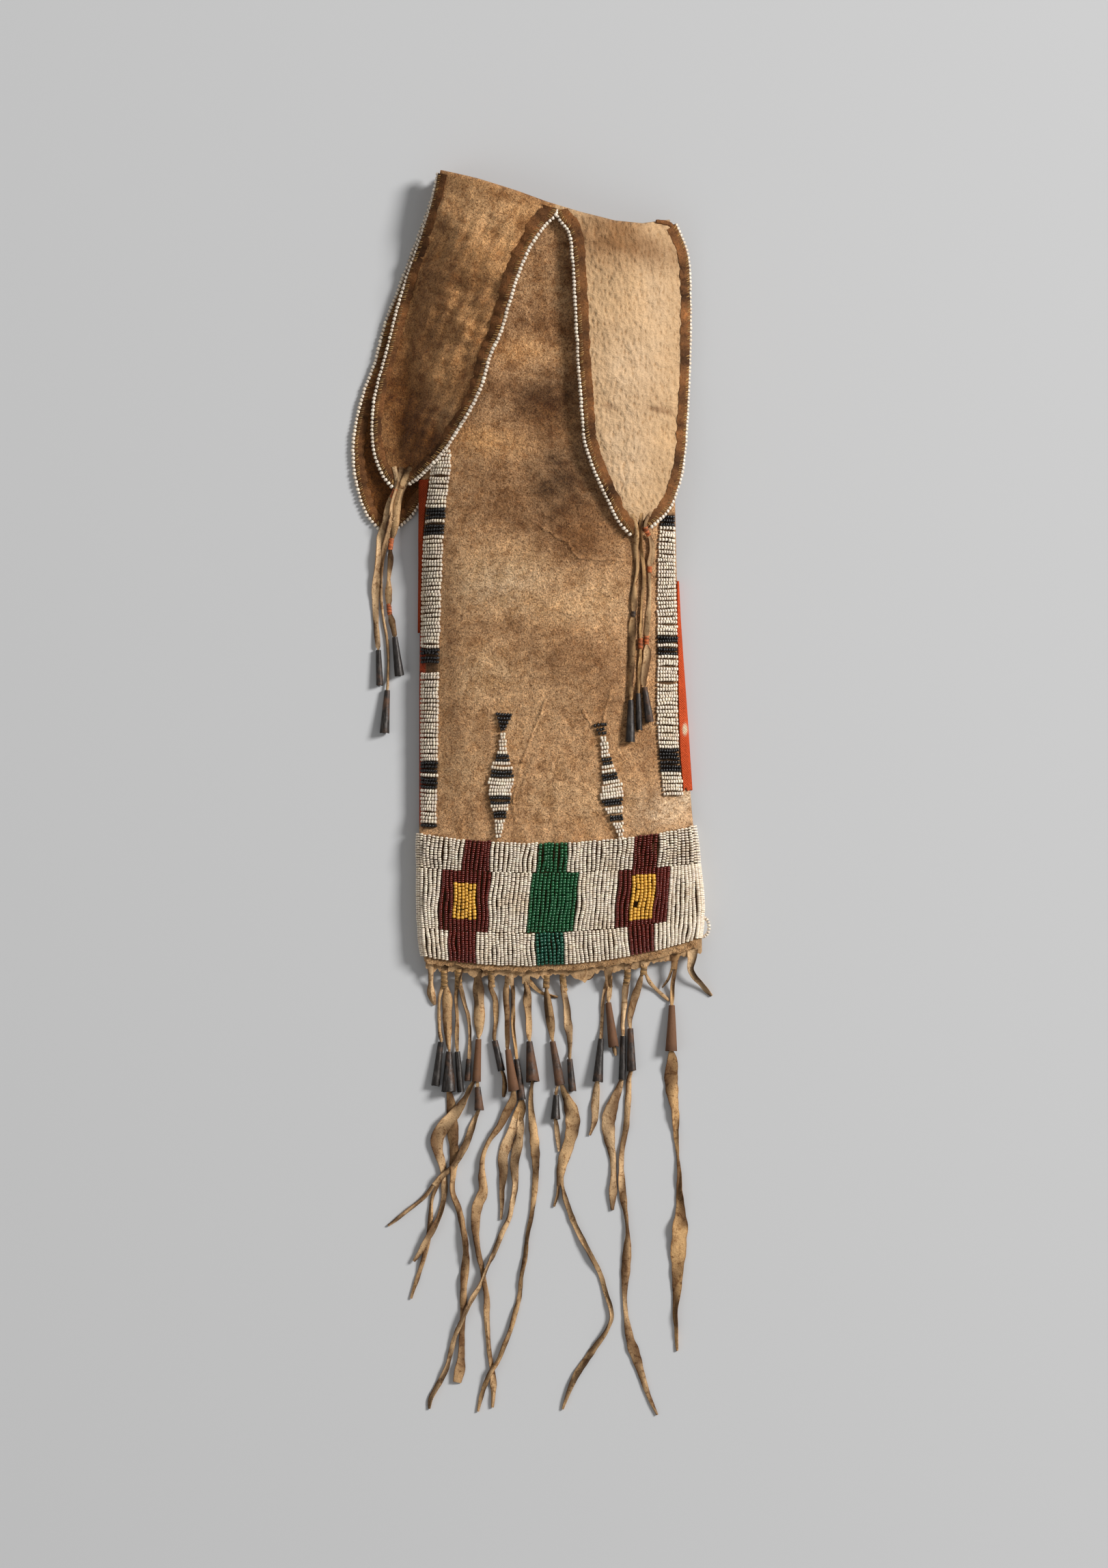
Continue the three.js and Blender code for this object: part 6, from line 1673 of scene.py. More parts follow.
    def body_tint(self, body: Array, face: Face) -> Array:
        """Dye of the body: the back plain; the front with its patches, darkened under its beads as painted shade
        in the gaps between them, and grimy at its hem.

        Args:
            body: Grid of the body.
            face: Which hide it is.

        Returns:
            One colour per point.
        """
        x, y = body[..., 0], body[..., 1]
        if face is Face.BACK:
            return spread(Dye.UNDER.rgb, x.size)
        tint = spread(Dye.BODY.rgb, x.size).reshape(*x.shape, 3)
        for patch in BODY_PATCHES:
            tint = patch.over(tint, x, y)
        # Painted shade: the hide under the lanes and the side strips is darkened, so the gaps between the beads read
        # dark.
        grime = ease((parabola(LANE_EDGES[0], x) - y) / 1.6) * ease((y - parabola(LANE_EDGES[3], x)) / 1.6)
        for strip in (LEFT_STRIP, RIGHT_STRIP):
            west, east = read_off(strip, y)
            grime += ease((x - west) / 1.5) * ease((east - x) / 1.5) * (y > strip[0][0]) * (y < strip[-1][0])
        tint = mix(tint, Dye.SMOKE.rgb * 1.3, 0.85 * np.clip(grime, 0.0, 1.0)[..., None])
        hem = ease((parabola(LANE_EDGES[3], x) + 1.0 - y) / 2.0)
        tint = mix(tint, Dye.HEM.rgb, 0.9 * hem[..., None])
        seam = (np.arange(x.shape[1]) < len(self.seam) + 2) * ease((y + 78) / 4) * ease((36 - y) / 3)
        return mix(tint, Dye.RED.rgb * 0.7, seam[..., None]).reshape(-1, 3)

    def body_lay(self, body: Array) -> Array:
        """Pits, speckles and grime of the body, thicker in the upper half.

        Args:
            body: Grid of the body.

        Returns:
            One lay vector per point.
        """
        x, y = body[..., 0].ravel(), body[..., 1].ravel()
        rough = ease((y - 60) / 90)
        return stack(0.05 * rough, 0.3 + 0.3 * rough + 0.2 * ripple(x, y, 26.0, 8), 0.62 + 0.25 * rough)

    def build(self) -> dict[str, bpy.types.Object]:
        """Makes both hides, which replace their solids.

        Returns:
            The front and the back, by name.
        """
        front = self.sheet(
            self.front_grid(), len(self.seam), Face.FRONT, (TABS["left_front"], TABS["right_front"])
        ).piece("bag_front", HIDE_FINISH)
        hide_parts("front_hide")
        back = self.sheet(
            self.back_grid(), len(self.arc), Face.BACK, (TABS["right_back"], TABS["left_back"])
        ).piece("bag_back", HIDE_FINISH)
        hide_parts("back_hide")
        return {"front": front, "back": back}


@dataclass
class TabTrim:
    """Ribbon binding, whip stitches and a row of white beads round one tab."""

    tab: Tab
    step: float = 0.9
    # Width of the ribbon at the top of the west edge, at the tip and at the top of the east edge.
    wide: tuple[float, float, float] = (5.4, 5.0, 5.4)
    bead_pitch: float = 2.2
    bead_radius: float = 1.17
    stitch_pitch: float = 1.25
    ribbon: float = 0.4
    floor_gap: float = 0.45
    # A stitch's four places (inward, up and ahead), its thread's radius, and the shares of stitches and beads gone.
    stitch: Rows = ((1.9, 1.2, -0.4), (1.25, 1.75, -0.15), (0.5, 1.75, 0.15), (-0.5, 1.1, 0.4))
    thread: float = 0.26
    gone: Pair = (0.2, 0.012)
    # How far a bead stands out from the edge, and how far its hole turns outward.
    bead_out: float = 1.35
    bead_lean: float = 0.45
    # Nearness to the tip past which there are no stitches and beads.
    bare_tip: float = 0.74
    rolled: bool = False
    # The binding's section: share of its width inward of the edge, and off the middle of the hide.
    section: tuple[tuple[float, float], ...] = (
        (1.0, 0.95), (0.86, 1.2), (0.6, 1.34), (0.3, 1.42), (0.08, 1.35), (-0.09, 0.95), (-0.14, 0.0),
        (-0.08, -0.78), (0.2, -0.86),
    )

    def binding(self) -> Shape:
        """The ribbon folded over the edge: its section carried round the tab, ruffled between stitches.

        Returns:
            The closed ribbon.
        """
        edge, inward, up, _ = self.tab.border(self.step)
        length = np.arange(len(edge)) * self.step
        plan = np.asarray(self.section)
        wide = np.interp(length / length[-1], (0.0, 0.5, 1.0), self.wide)[:, None]
        seed = len(self.tab.name) + self.tab.side.value
        sway = wave(length, 5.0, seed)
        ruffle = 0.1 * np.sin(length * TURN / 3.1) + 0.26 * sway
        loose = np.clip(plan[:, 0] * 1.4, 0.0, 1.0) * (plan[:, 1] > 0.9)
        into = plan[:, 0] * wide + np.where(plan[:, 0] > 0.8, 0.45, 0.12) * sway[:, None]
        off = plan[:, 1] + ruffle[:, None] * loose
        if self.tab.face is Face.BACK:
            off = np.maximum(off, -self.floor_gap)
        points = edge[:, None] + inward[:, None] * into[..., None] + up[:, None] * off[..., None]
        faces = grid_faces(*points.shape[:2])
        lay = stack(np.broadcast_to(plan[:, 0], into.shape), length[:, None], sway[:, None]).reshape(-1, 3)
        worn = 0.85 + 0.2 * sway + 0.45 * wave(length, 22.0, seed + 4)
        tint = spread(Dye.RIBBON.rgb, len(lay)) * np.clip(worn, 0.35, 1.5).repeat(len(plan))[:, None]
        return thicken(points.reshape(-1, 3), faces, self.ribbon / 2, tint, lay)

    def rolled_end(self) -> Shape:
        """The ribbon's end, rolled up along the fold at the outer corner.

        Returns:
            A tube that swells in its middle.
        """
        places = ((0.004, 0.85), (0.004, 0.92), (0.008, 0.97), (0.03, 0.985))
        corner = [self.tab.surface(v, t)[0, 0] for v, t in places]
        path = spline(np.array(corner), np.linspace(0.0, 1.0, 12)) + (0.0, -0.3, 1.0)
        fat = 0.6 + 0.75 * np.sin(np.linspace(0.5, 2.9, 12)) + 0.12 * np.sin(np.arange(12) * 1.9)
        tint = Dye.RIBBON.rgb * 1.1
        return tube(path[None], circle(fat[None], 9, 0.8), UP, tint, np.zeros(3))

    def stitches(self) -> Shape:
        """Whip stitches that carry the beads: short arched threads over the ribbon's outer edge.

        Returns:
            The threads.
        """
        edge, inward, up, tip = self.tab.border(self.stitch_pitch)
        rng = np.random.default_rng(7)
        ahead = unit(np.gradient(edge, axis=0))
        plan = np.asarray(self.stitch)
        shake = rng.normal(0.0, 0.16, (len(edge), 1, 1))
        path = (
            edge[:, None] + inward[:, None] * (plan[:, :1] + shake) + up[:, None] * plan[:, 1:2]
            + ahead[:, None] * (plan[:, 2:] + shake)
        )
        keep = (rng.random(len(edge)) > self.gone[0]) & ((tip < self.bare_tip) | (self.tab.face is Face.BACK))
        tint = Dye.WHIPPING.rgb * rng.uniform(0.3, 1.0, (keep.sum(), 1, 1, 1))
        return tube(path[keep], circle(self.thread, 5), up[keep][:, None], tint, np.zeros(3))

    def edging(self) -> Shape:
        """White beads threaded along the edge, each leaning on the next.

        Returns:
            The beads.
        """
        edge, inward, up, tip = self.tab.border(self.bead_pitch, 0.012)
        rng = np.random.default_rng(len(self.tab.name) * 3 + self.tab.side.value)
        n = len(edge)
        front = self.tab.face is Face.FRONT
        out = self.bead_out + 0.16 * wave(np.arange(n) * self.bead_pitch, 14.0, n)
        rise = (0.25 + 1.5 * tip) if front else np.full(n, 0.7)
        centre = edge - inward * out[:, None] + up * rise[:, None] + rng.normal(0.0, 0.07, (n, 3))
        ahead = unit(np.gradient(edge, axis=0))
        lean = self.bead_lean + rng.normal(0.0, 0.12, n)
        axis = ahead - inward * lean[:, None] + up * rng.normal(0.1, 0.1, n)[:, None]
        keep = (rng.random(n) > self.gone[1]) & ((tip < self.bare_tip) | (not front))
        radius = self.bead_radius * rng.normal(1.0, 0.05, n)
        tint = Glass.WHITE.rgb * rng.uniform(0.82, 1.08, (n, 1))
        return beads(centre[keep], axis[keep], radius[keep], 0.8 * radius[keep], tint[keep])

    def build(self) -> list[bpy.types.Object]:
        """Makes the three, which replace the tab's binding and edging.

        Returns:
            Ribbon, stitches and beads.
        """
        name = self.tab.name
        shape = self.binding()
        if self.rolled:
            shape = Shape.join([shape, self.rolled_end()])
        ribbon = shape.piece(f"{name}_ribbon", RIBBON_FINISH)
        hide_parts(f"{name}_binding")
        thread = self.stitches().piece(f"{name}_stitches", STITCH_FINISH)
        string = self.edging().piece(f"{name}_edge_beads", BEAD_FINISH[Glass.WHITE], 180.0)
        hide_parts(f"{name}_edging")
        return [ribbon, thread, string]


@dataclass
class Strands:
    """Strips of hide that hang from an edge: paths with widths, folded and twisted along their length."""

    runs: list[Array]
    cones: list["TinCone"]
    thick: float = 0.9
    step: float = 1.3
    seed: int = 2
    # Where given, each strip's widths by place along the bag, from the top down.
    widths: list[Rows] | None = None
    # Wide and narrow places: strip, place along the bag, half length, width added.
    swells: Rows = ()

    def held(self, run: Array, path: Array) -> Array:
        """Brings the part of a path that passes its own cone onto the cone's axis, and says which part it is.

        A cone is the strand's own where a point of its run lies on the axis.

        Args:
            run: Points with widths that the path passes.
            path: The path, changed in place.

        Returns:
            How firmly each point is held, 0 or 1.
        """
        grip = np.zeros(len(path))
        for cone in self.cones:
            top, mouth, (small, large) = cone.axis()
            line = mouth - top
            at = (run[:, :3] - top) @ line / (line @ line)
            gap = np.linalg.norm(run[:, :3] - top - at[:, None] * line, axis=1)
            if not ((gap < 0.9) & (at > -0.1) & (at < 1.1)).any():
                continue
            t = (path[:, :2] - top[:2]) @ line[:2] / (line[:2] @ line[:2])
            on = top + t[:, None] * line
            inside = (t > -0.03) & (t < 0.97) & (np.linalg.norm((path[:, :3] - on)[:, :2], axis=1) < 2.5)
            path[inside, :3] = on[inside]
            path[inside, 3] = np.minimum(path[inside, 3], 1.35 * (mix(small, large, t[inside]) - 0.6))
            grip[inside] = 1.0
        return grip

    def strip(self, run: Array, index: int) -> Shape:
        """One strip: a folded, twisting section carried along its smooth path.

        Args:
            run: Points with widths.
            index: Which strip it is.

        Returns:
            The closed strip.
        """
        length = np.linalg.norm(np.diff(run[:, :3], axis=0), axis=1).sum()
        count = max(int(length / self.step), 8)
        path = spline(run, np.linspace(0.0, 1.0, count))
        rng = np.random.default_rng(self.seed * 100 + index)
        at = np.linspace(0.0, length, count)
        if self.widths:
            table = np.asarray(self.widths[index])
            path[:, 3] = np.interp(-path[:, 1], -table[:, 0], table[:, 1])
        swell = np.zeros(count)
        for strip, y, half, added in self.swells:
            swell += (strip == index) * added * bell(path[:, 1] - y, half)
        path[:, 2] = np.maximum(path[:, 2], self.thick / 2 + 0.07)
        path[:, 3] = (path[:, 3] + swell) * (1 + 0.08 * wave(at, 9.0, index + 3))
        grip = self.held(run, path)
        wide = np.maximum(path[:, 3], 0.6)
        free = 1 - np.convolve(np.pad(grip, 3, "edge"), np.ones(7) / 7, "valid")
        free = free * (1 - grip) * ease(at / 9.0)
        flat = 1 / (1 + 0.6 * np.maximum(swell, 0.0))
        curl = np.clip(0.5 * wave(at, 30.0, index + 50) + 0.3 * rng.choice([-1.0, 1.0]), -0.75, 0.75)
        twist = np.clip(0.75 * wave(at, 42.0, index + 70), -0.85, 0.85) * free
        thick = mix(0.7, self.thick, free)
        ring = curl_ring(wide[None], thick[None], (curl * free * flat)[None], (twist * flat)[None])
        ring[..., 1] *= mix(0.75, 1.0, free)[None, :, None]
        across = np.r_[STRIP_ACROSS, STRIP_ACROSS[::-1]]
        tone, deep = rng.uniform(0.0, 1.0, 2)
        pale = mix(Dye.STRAND.rgb, Dye.STRAND_PALE.rgb, tone)
        dark = mix(Dye.STRAND_BROWN.rgb, Dye.STRAND_DARK.rgb, deep)
        smoke = 0.8 * wave(at, 38.0, index + 9) + 0.15 * wave(at, 9.0, index + 19)
        smoke = ease(0.52 + 0.55 * smoke + 0.14 * ease((-185 - path[:, 1]) / 90))
        # Painted shade: along stretches of the strip one side is darker than the other, as if it were lit from one
        # side.
        dirt_and_shade = np.clip(1.3 * wave(at, 30.0, index + 29)[:, None] * across, -0.5, 1.0)
        share = np.clip(0.85 * smoke[:, None] + 0.75 * dirt_and_shade, 0.0, 0.94)
        lay = stack(across[None], at[:, None], 0.0)[None]
        return tube(path[None, :, :3], ring, UP, mix(pale, dark, share[..., None])[None], lay)

    def shape(self) -> Shape:
        """All the strips as one shape."""
        return Shape.join([self.strip(np.asarray(run, float), i) for i, run in enumerate(self.runs)])


def laid(rows: Rows) -> Array:
    """A strand's points with their heights filled in where they rest on the floor."""
    return np.array([r if len(r) == 4 else (r[0], r[1], FLOOR_REST, r[2]) for r in rows], float)


def wrap(run: Array, start: float, stop: float, turns: float, tint: Colour, thick: float, wide: float) -> Shape:
    """A quill or thread wound round a strip: a flattened helix between two places along the bag.

    Args:
        run: Points of the strip.
        start: Place along the bag where it starts.
        stop: Place where it stops, lower down.
        turns: Number of turns.
        tint: Its colour.
        thick: Its thickness.
        wide: Half width of the bundle.

    Returns:
        The closed coil.
    """
    share = np.linspace(0.0, 1.0, 400)
    fine = spline(run, share)
    first, last = np.interp((-start, -stop), -fine[:, 1], share)
    count = int(turns * 10) + 1
    path = spline(run, np.linspace(first, last, count))
    side, away = frames(path[None, :, :3], UP)
    a = np.linspace(0.0, TURN * turns, count)[:, None]
    loose = 1 + 0.1 * wave(a, 7.0, count) + 0.06 * wave(a, 2.0, count + 1)
    coil = path[:, :3] + side[0] * np.cos(a) * wide * loose + away[0] * (0.35 + np.sin(a) * 0.85 * loose)
    coil[:, 2] = np.maximum(coil[:, 2], thick + 0.05)
    shade = np.asarray(tint) * np.clip(0.8 + 0.3 * wave(a, 16.0, count) + 0.25 * np.sin(a * 1.3), 0.3, 1.3)
    return tube(coil[None], circle(thick, 5), away, shade[None, :, None], np.zeros(3))


@dataclass
class Thongs:
    """The three thongs at the tip of each front tab, with their wrappings."""

    # How far the right thongs lie off the front, the thickness of a quill, and half the width of what it binds.
    off: float = 1.85
    quill: Pair = (0.4, 1.05)
    # Shares of a cone's length where its thong passes, and a thong's roots: share down the tab, height over it.
    in_cone: Pair = (-0.04, 0.9)
    roots: Rows = ((0.93, 0.7), (0.99, 1.6))
    # Widths of the thongs by place along the bag.
    widths: dict[Side, list[Rows]] = field(default_factory=lambda: {
        Side.LEFT: [
            ((120, 2.6), (114, 2.6), (108, 3.4), (96, 4.6), (66, 4.6), (55, 4.3), (45, 3.4), (29, 3.0), (22, 2.4)),
            ((120, 4.6), (96, 4.6), (86, 3.4), (72, 2.2), (60, 2.0), (45, 1.4), (30, 1.6), (5, 1.5), (0, 1.5)),
            ((120, 4.6), (96, 4.8), (89, 4.2), (86, 2.0), (79.5, 2.0), (76, 4.3), (69, 3.8), (63, 2.0), (57, 4.1),
             (50, 3.8), (48.5, 2.2), (42.5, 2.2), (39, 4.0), (31, 2.8)),
        ],
        Side.RIGHT: [
            ((100, 2.4), (88, 2.4), (84, 3.2), (64, 2.7), (61.6, 1.4), (57.3, 3.2), (46, 3.4), (42.6, 2.0),
             (38.9, 4.0), (18, 4.2), (5, 3.2), (-5, 2.6)),
            ((100, 2.0), (60, 2.4), (48.7, 1.5), (35, 2.2), (29, 1.4), (23, 1.4), (15, 2.4), (-1, 2.0)),
            ((100, 1.8), (87, 1.8), (83, 3.6), (77, 4.4), (71, 3.2), (69, 1.6), (64.7, 2.0), (47, 2.2), (43, 3.7),
             (32, 3.4), (30, 1.7), (25.5, 1.7), (22, 4.6), (8, 3.8), (1, 2.6)),
        ],
    })
    # Wraps: side, thong, places along the bag where it starts and stops, turns, dye.
    wraps: tuple[tuple[Side, int, float, float, float, Dye], ...] = (
        (Side.LEFT, 0, 113.5, 108.5, 8, Dye.ORANGE), (Side.LEFT, 2, 86.0, 79.5, 11, Dye.ORANGE),
        (Side.LEFT, 2, 48.7, 42.5, 10, Dye.ORANGE), (Side.RIGHT, 2, 91.5, 87.0, 7, Dye.ORANGE),
        (Side.RIGHT, 2, 69.3, 66.0, 5, Dye.ORANGE), (Side.RIGHT, 2, 30.0, 25.6, 7, Dye.ORANGE),
        (Side.RIGHT, 1, 28.8, 23.0, 9, Dye.ORANGE), (Side.RIGHT, 0, 44.0, 41.0, 6, Dye.DARK),
    )

    def runs(self, side: Side) -> list[Array]:
        """Paths of one tab's thongs: from its tip, along what they lie on, to their cones.

        Args:
            side: Which front tab.

        Returns:
            Points of each thong, with a column left for its width.
        """
        left = side is Side.LEFT
        tab = TABS["left_front" if left else "right_front"]
        runs = []
        for i, rows in enumerate(LEFT_THONGS if left else RIGHT_THONGS):
            path = np.asarray(rows, float)
            if not left:
                top, mouth, _ = TinCone(f"right_tab_cone_{i + 1:02d}").axis()
                lie = POUCH.on_front(path[:, 0], path[:, 1], self.off)
                path = np.concatenate([lie, [mix(top, mouth, t) for t in self.in_cone]])
            root = [tab.surface(v, 0.3 + 0.2 * i)[0, 0] + UP * rise for v, rise in self.roots]
            runs.append(np.pad(np.concatenate([root, path]), ((0, 0), (0, 1))))
        return runs

    def build(self) -> list[bpy.types.Object]:
        """Makes the thongs and their wrappings.

        Returns:
            Thongs and wrappings.
        """
        sides = {side: self.runs(side) for side in Side}
        cones = [TinCone(f"{side.word}_tab_cone_{i:02d}") for side in Side for i in (1, 2, 3)]
        widths = self.widths[Side.LEFT] + self.widths[Side.RIGHT]
        strips = Strands(sides[Side.LEFT] + sides[Side.RIGHT], cones, thick=1.0, seed=5, widths=widths)
        thongs = strips.shape().piece("tab_thongs", STRAND_FINISH)
        coils = [wrap(sides[s][i], a, b, turns, dye.value, *self.quill) for s, i, a, b, turns, dye in self.wraps]
        quills = Shape.join(coils).piece("tab_thong_wraps", WRAP_FINISH)
        return [thongs, quills]


@dataclass
class Gusset:
    """A strip of red cloth let in along one side of the pouch."""

    side: Side
    rows: Rows
    ends: Pair
    # A worn spot: across, along, half width.
    worn_spot: tuple[float, float, float] | None = None
    off: float = 0.8
    cloth: float = 0.8
    columns: int = 22
    row_step: float = 0.9
    # Degrees below level where the cloth ends, how far its lower end frays, and over what length.
    under: float = 35.0
    fray: Pair = (0.9, 1.5)

    def surface(self, n: Array, share: Array) -> Array:
        """Points of the cloth: in over the front from its edge, then round the side.

        The front part runs from the inner edge to the start of the side arc, at 60 degrees, and the arc on to
        the lower edge; where the inner edge is past the start, the arc begins there instead.

        Args:
            n: Rows.
            share: Share from the inner edge to the lower edge, one per column.

        Returns:
            Points, rows by columns by 3.
        """
        way = self.side.value
        inner = read_off(self.rows, n)[0]
        s = POUCH.section(n, 0.0)
        edge = s[self.side.word]
        reach = way * (inner - edge) + s["round"]
        bend = np.degrees(np.arccos(np.clip(reach / s["round"], 0.5, 1.0)))
        flat = np.maximum(s["round"] * 0.5 - reach, 0.0)
        arc = np.radians(bend + self.under) * s["round"]
        run = share[None] * (flat + arc)[:, None]
        on_arc = run >= flat[:, None]
        angle = bend[:, None] - np.degrees((run - flat[:, None]) / s["round"][:, None])
        wall = POUCH.on_side(np.broadcast_to(n[:, None], run.shape), self.side, angle, self.off)
        x = inner[:, None] + way * np.minimum(run, flat[:, None])
        front = POUCH.on_front(x, np.broadcast_to(n[:, None], run.shape), POUCH.hide / 2 + self.off)
        return np.where(on_arc[..., None], wall, front)

    def build(self) -> bpy.types.Object:
        """Makes the cloth: a grid with frayed ends and, where it is worn through, a pale spot.

        Returns:
            The cloth.
        """
        n = np.linspace(*self.ends, int((self.ends[1] - self.ends[0]) / self.row_step))
        share = np.linspace(0.0, 1.0, self.columns)
        points = self.surface(n, share)
        far, over = self.fray
        fray = np.exp(-(np.abs(n - self.ends[0]) / over))[:, None]
        points[..., 1] += fray * far * ripple(points[..., 0] * 3 + points[..., 2] * 3, points[..., 2], 3.0, 4)
        points[..., 2] += 0.14 * ripple(points[..., 0], points[..., 1], 9.0, 17)
        faces = grid_faces(*points.shape[:2])
        if self.side is Side.LEFT:
            faces = faces[:, ::-1]
        flat = points.reshape(-1, 3)
        across = np.linalg.norm(np.diff(points, axis=1, prepend=points[:, :1]), axis=2).cumsum(1)
        lay = stack(across.ravel(), flat[:, 1], 0.0)
        worn = ripple(flat[:, 0], flat[:, 1], 20.0, 6)[:, None]
        # Painted shade: the left gusset's red is darkened, the left side being away from the lamp.
        shade = 0.6 if self.side is Side.LEFT else 1.0
        tint = spread(Dye.RED.rgb, len(flat)) * shade * (1 + 0.12 * worn)
        if self.worn_spot:
            x, y, r = self.worn_spot
            bare = ease(1.6 - np.hypot((flat[:, 0] - x) / r, (flat[:, 1] - y) / (2.4 * r)))
            tint = mix(tint, Dye.CREAM.rgb, bare[:, None])
        name = f"{self.side.word}_gusset"
        cloth = thicken(flat, faces, self.cloth / 2, tint, lay).piece(f"{name}_cloth", CLOTH_FINISH)
        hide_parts(name)
        return cloth


BeadRow = tuple[float, float, float, int, Glass]
# Spacing of a strip's rows, length of a bead in strips and figures, and how far a row may lie outside its band.
ROW_PITCH = 2.2
STRIP_BEAD = 1.42
FIGURE_BEAD = 1.45
BAND_EDGE = 0.6


def bead_tints(colours: list[Glass], seed: int) -> Array:
    """A tint for each bead, varied a little in strength and warmth.

    Args:
        colours: Colour of each bead.
        seed: Which variation of many.

    Returns:
        One tint per bead.
    """
    rng = np.random.default_rng(seed)
    base = np.array([c.rgb for c in colours])
    n = len(colours)
    warm = np.stack([np.ones(n), rng.normal(1.0, 0.006, n), rng.normal(0.99, 0.02, n)], 1)
    return base * rng.uniform(0.8, 1.1, (n, 1)) * warm


@dataclass
class BeadRows:
    """Beadwork sewn on the front in short rows across: a side strip or a figure."""

    node: str
    # Place along the bag, west and east end, number of beads and colour of each row.
    rows: list[BeadRow]
    # Slope of the rows, radius of a bead, its height off the hide at a row's ends and more in the middle.
    tilt: float = 0.0
    radius: float = 1.03
    stand: float = 0.75
    arch: float = 0.75
    # How many beads a row may have too many or too few.
    uneven: int = 1
    seed: int = 11

    def build(self) -> None:
        """Makes the beads: each row an arch over the hide, its beads evenly along it with small errors."""
        rng = np.random.default_rng(self.seed)
        rows = len(self.rows)
        more = rng.choice([-1, 0, 0, 0, 0, 1], rows) * self.uneven
        count = np.maximum(np.array([r[3] for r in self.rows]) + more, 2)
        row = np.repeat(np.arange(rows), count)
        place = np.concatenate([(np.arange(c) + 0.5) / c for c in count])
        y, west, east = (np.array([r[k] for r in self.rows]) for k in range(3))
        west, east = west + rng.normal(0.0, 0.2, rows), east + rng.normal(0.0, 0.25, rows)
        lean = self.tilt + 0.05 * wave(y, 30.0, self.seed) + rng.normal(0.0, 0.022, rows)
        y = y + (0.12 + 0.12 * self.uneven) * wave(y, 13.0, self.seed + 1) + rng.normal(0.0, 0.07, rows)
        sag = rng.normal(0.0, 0.3, rows)[row] * np.sin(place * math.pi) + rng.normal(0.0, 0.05, len(row))
        pitch = ((east - west) / count)[row]
        x = mix(west[row], east[row], place) + rng.normal(0.0, 0.05, len(row))
        y = y[row] + (place - 0.5) * (east - west)[row] * lean[row] + sag
        off = POUCH.hide / 2 + self.stand + self.arch * np.sin(math.pi * place) * rng.normal(1.0, 0.15, rows)[row]
        centre = POUCH.on_front(x, y, off)
        ahead = POUCH.on_front(x + 0.6, y + 0.6 * lean[row], off) - centre
        axis = unit(ahead) + rng.normal(0.0, 0.08, centre.shape)
        radius = self.radius * rng.normal(1.0, 0.05, len(row))
        colours = [self.rows[i][4] for i in row]
        made = beads(centre, axis, radius, np.minimum(pitch * 0.5, 0.8), bead_tints(colours, self.seed))
        piece = made.piece(f"{self.node}_beads", BEAD_FINISH[Glass.WHITE], 180.0)
        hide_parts(self.node)


def strip_rows(table: Rows, black: Rows, gaps: Rows = (), above: float = 0.0) -> list[BeadRow]:
    """Rows of a side strip, black in some bands and missing in others.

    Args:
        table: Places along the bag, west and east edge.
        black: Low and high end of each black band.
        gaps: Low and high end of each bare band.
        above: How far the strip runs on past its table, under a tab.

    Returns:
        The rows, from the foot up.
    """
    y = np.arange(table[0][0] + 0.8, table[-1][0] - BAND_EDGE + above, ROW_PITCH)
    west, east = read_off(table, y)
    count = np.round((east - west) / STRIP_BEAD).astype(int)

    def within(at: float, bands: Rows) -> bool:
        """Whether a place along the bag lies in any of the bands."""
        return any(low - BAND_EDGE <= at <= high + BAND_EDGE for low, high in bands)

    return [
        (float(at), float(w), float(e), int(c), Glass.BLACK if within(at, black) else Glass.WHITE)
        for at, w, e, c in zip(y, west, east, count) if not within(at, gaps)
    ]


def figure_rows(table: Rows, ends: Pair, counts: tuple[int, ...], black: tuple[int, ...]) -> list[BeadRow]:
    """Rows of a bead figure, even between its ends.

    Args:
        table: Places along the bag and the figure's middle there.
        ends: Places of the first and last row.
        counts: Beads in each row, from the top down.
        black: Numbers of the black rows.

    Returns:
        The rows.
    """
    y = np.linspace(*ends, len(counts))
    centre = read_off(table, y)[0]
    half = np.array(counts) * FIGURE_BEAD / 2
    return [
        (float(at), float(c - h), float(c + h), n, Glass.BLACK if i in black else Glass.WHITE)
        for i, (at, c, h, n) in enumerate(zip(y, centre, half, counts))
    ]


@dataclass(frozen=True)
class BeadRun:
    """Beads of one colour on one string of a lane: the string's ends across, and the share it fills."""

    top: float
    foot: float
    start: float
    stop: float


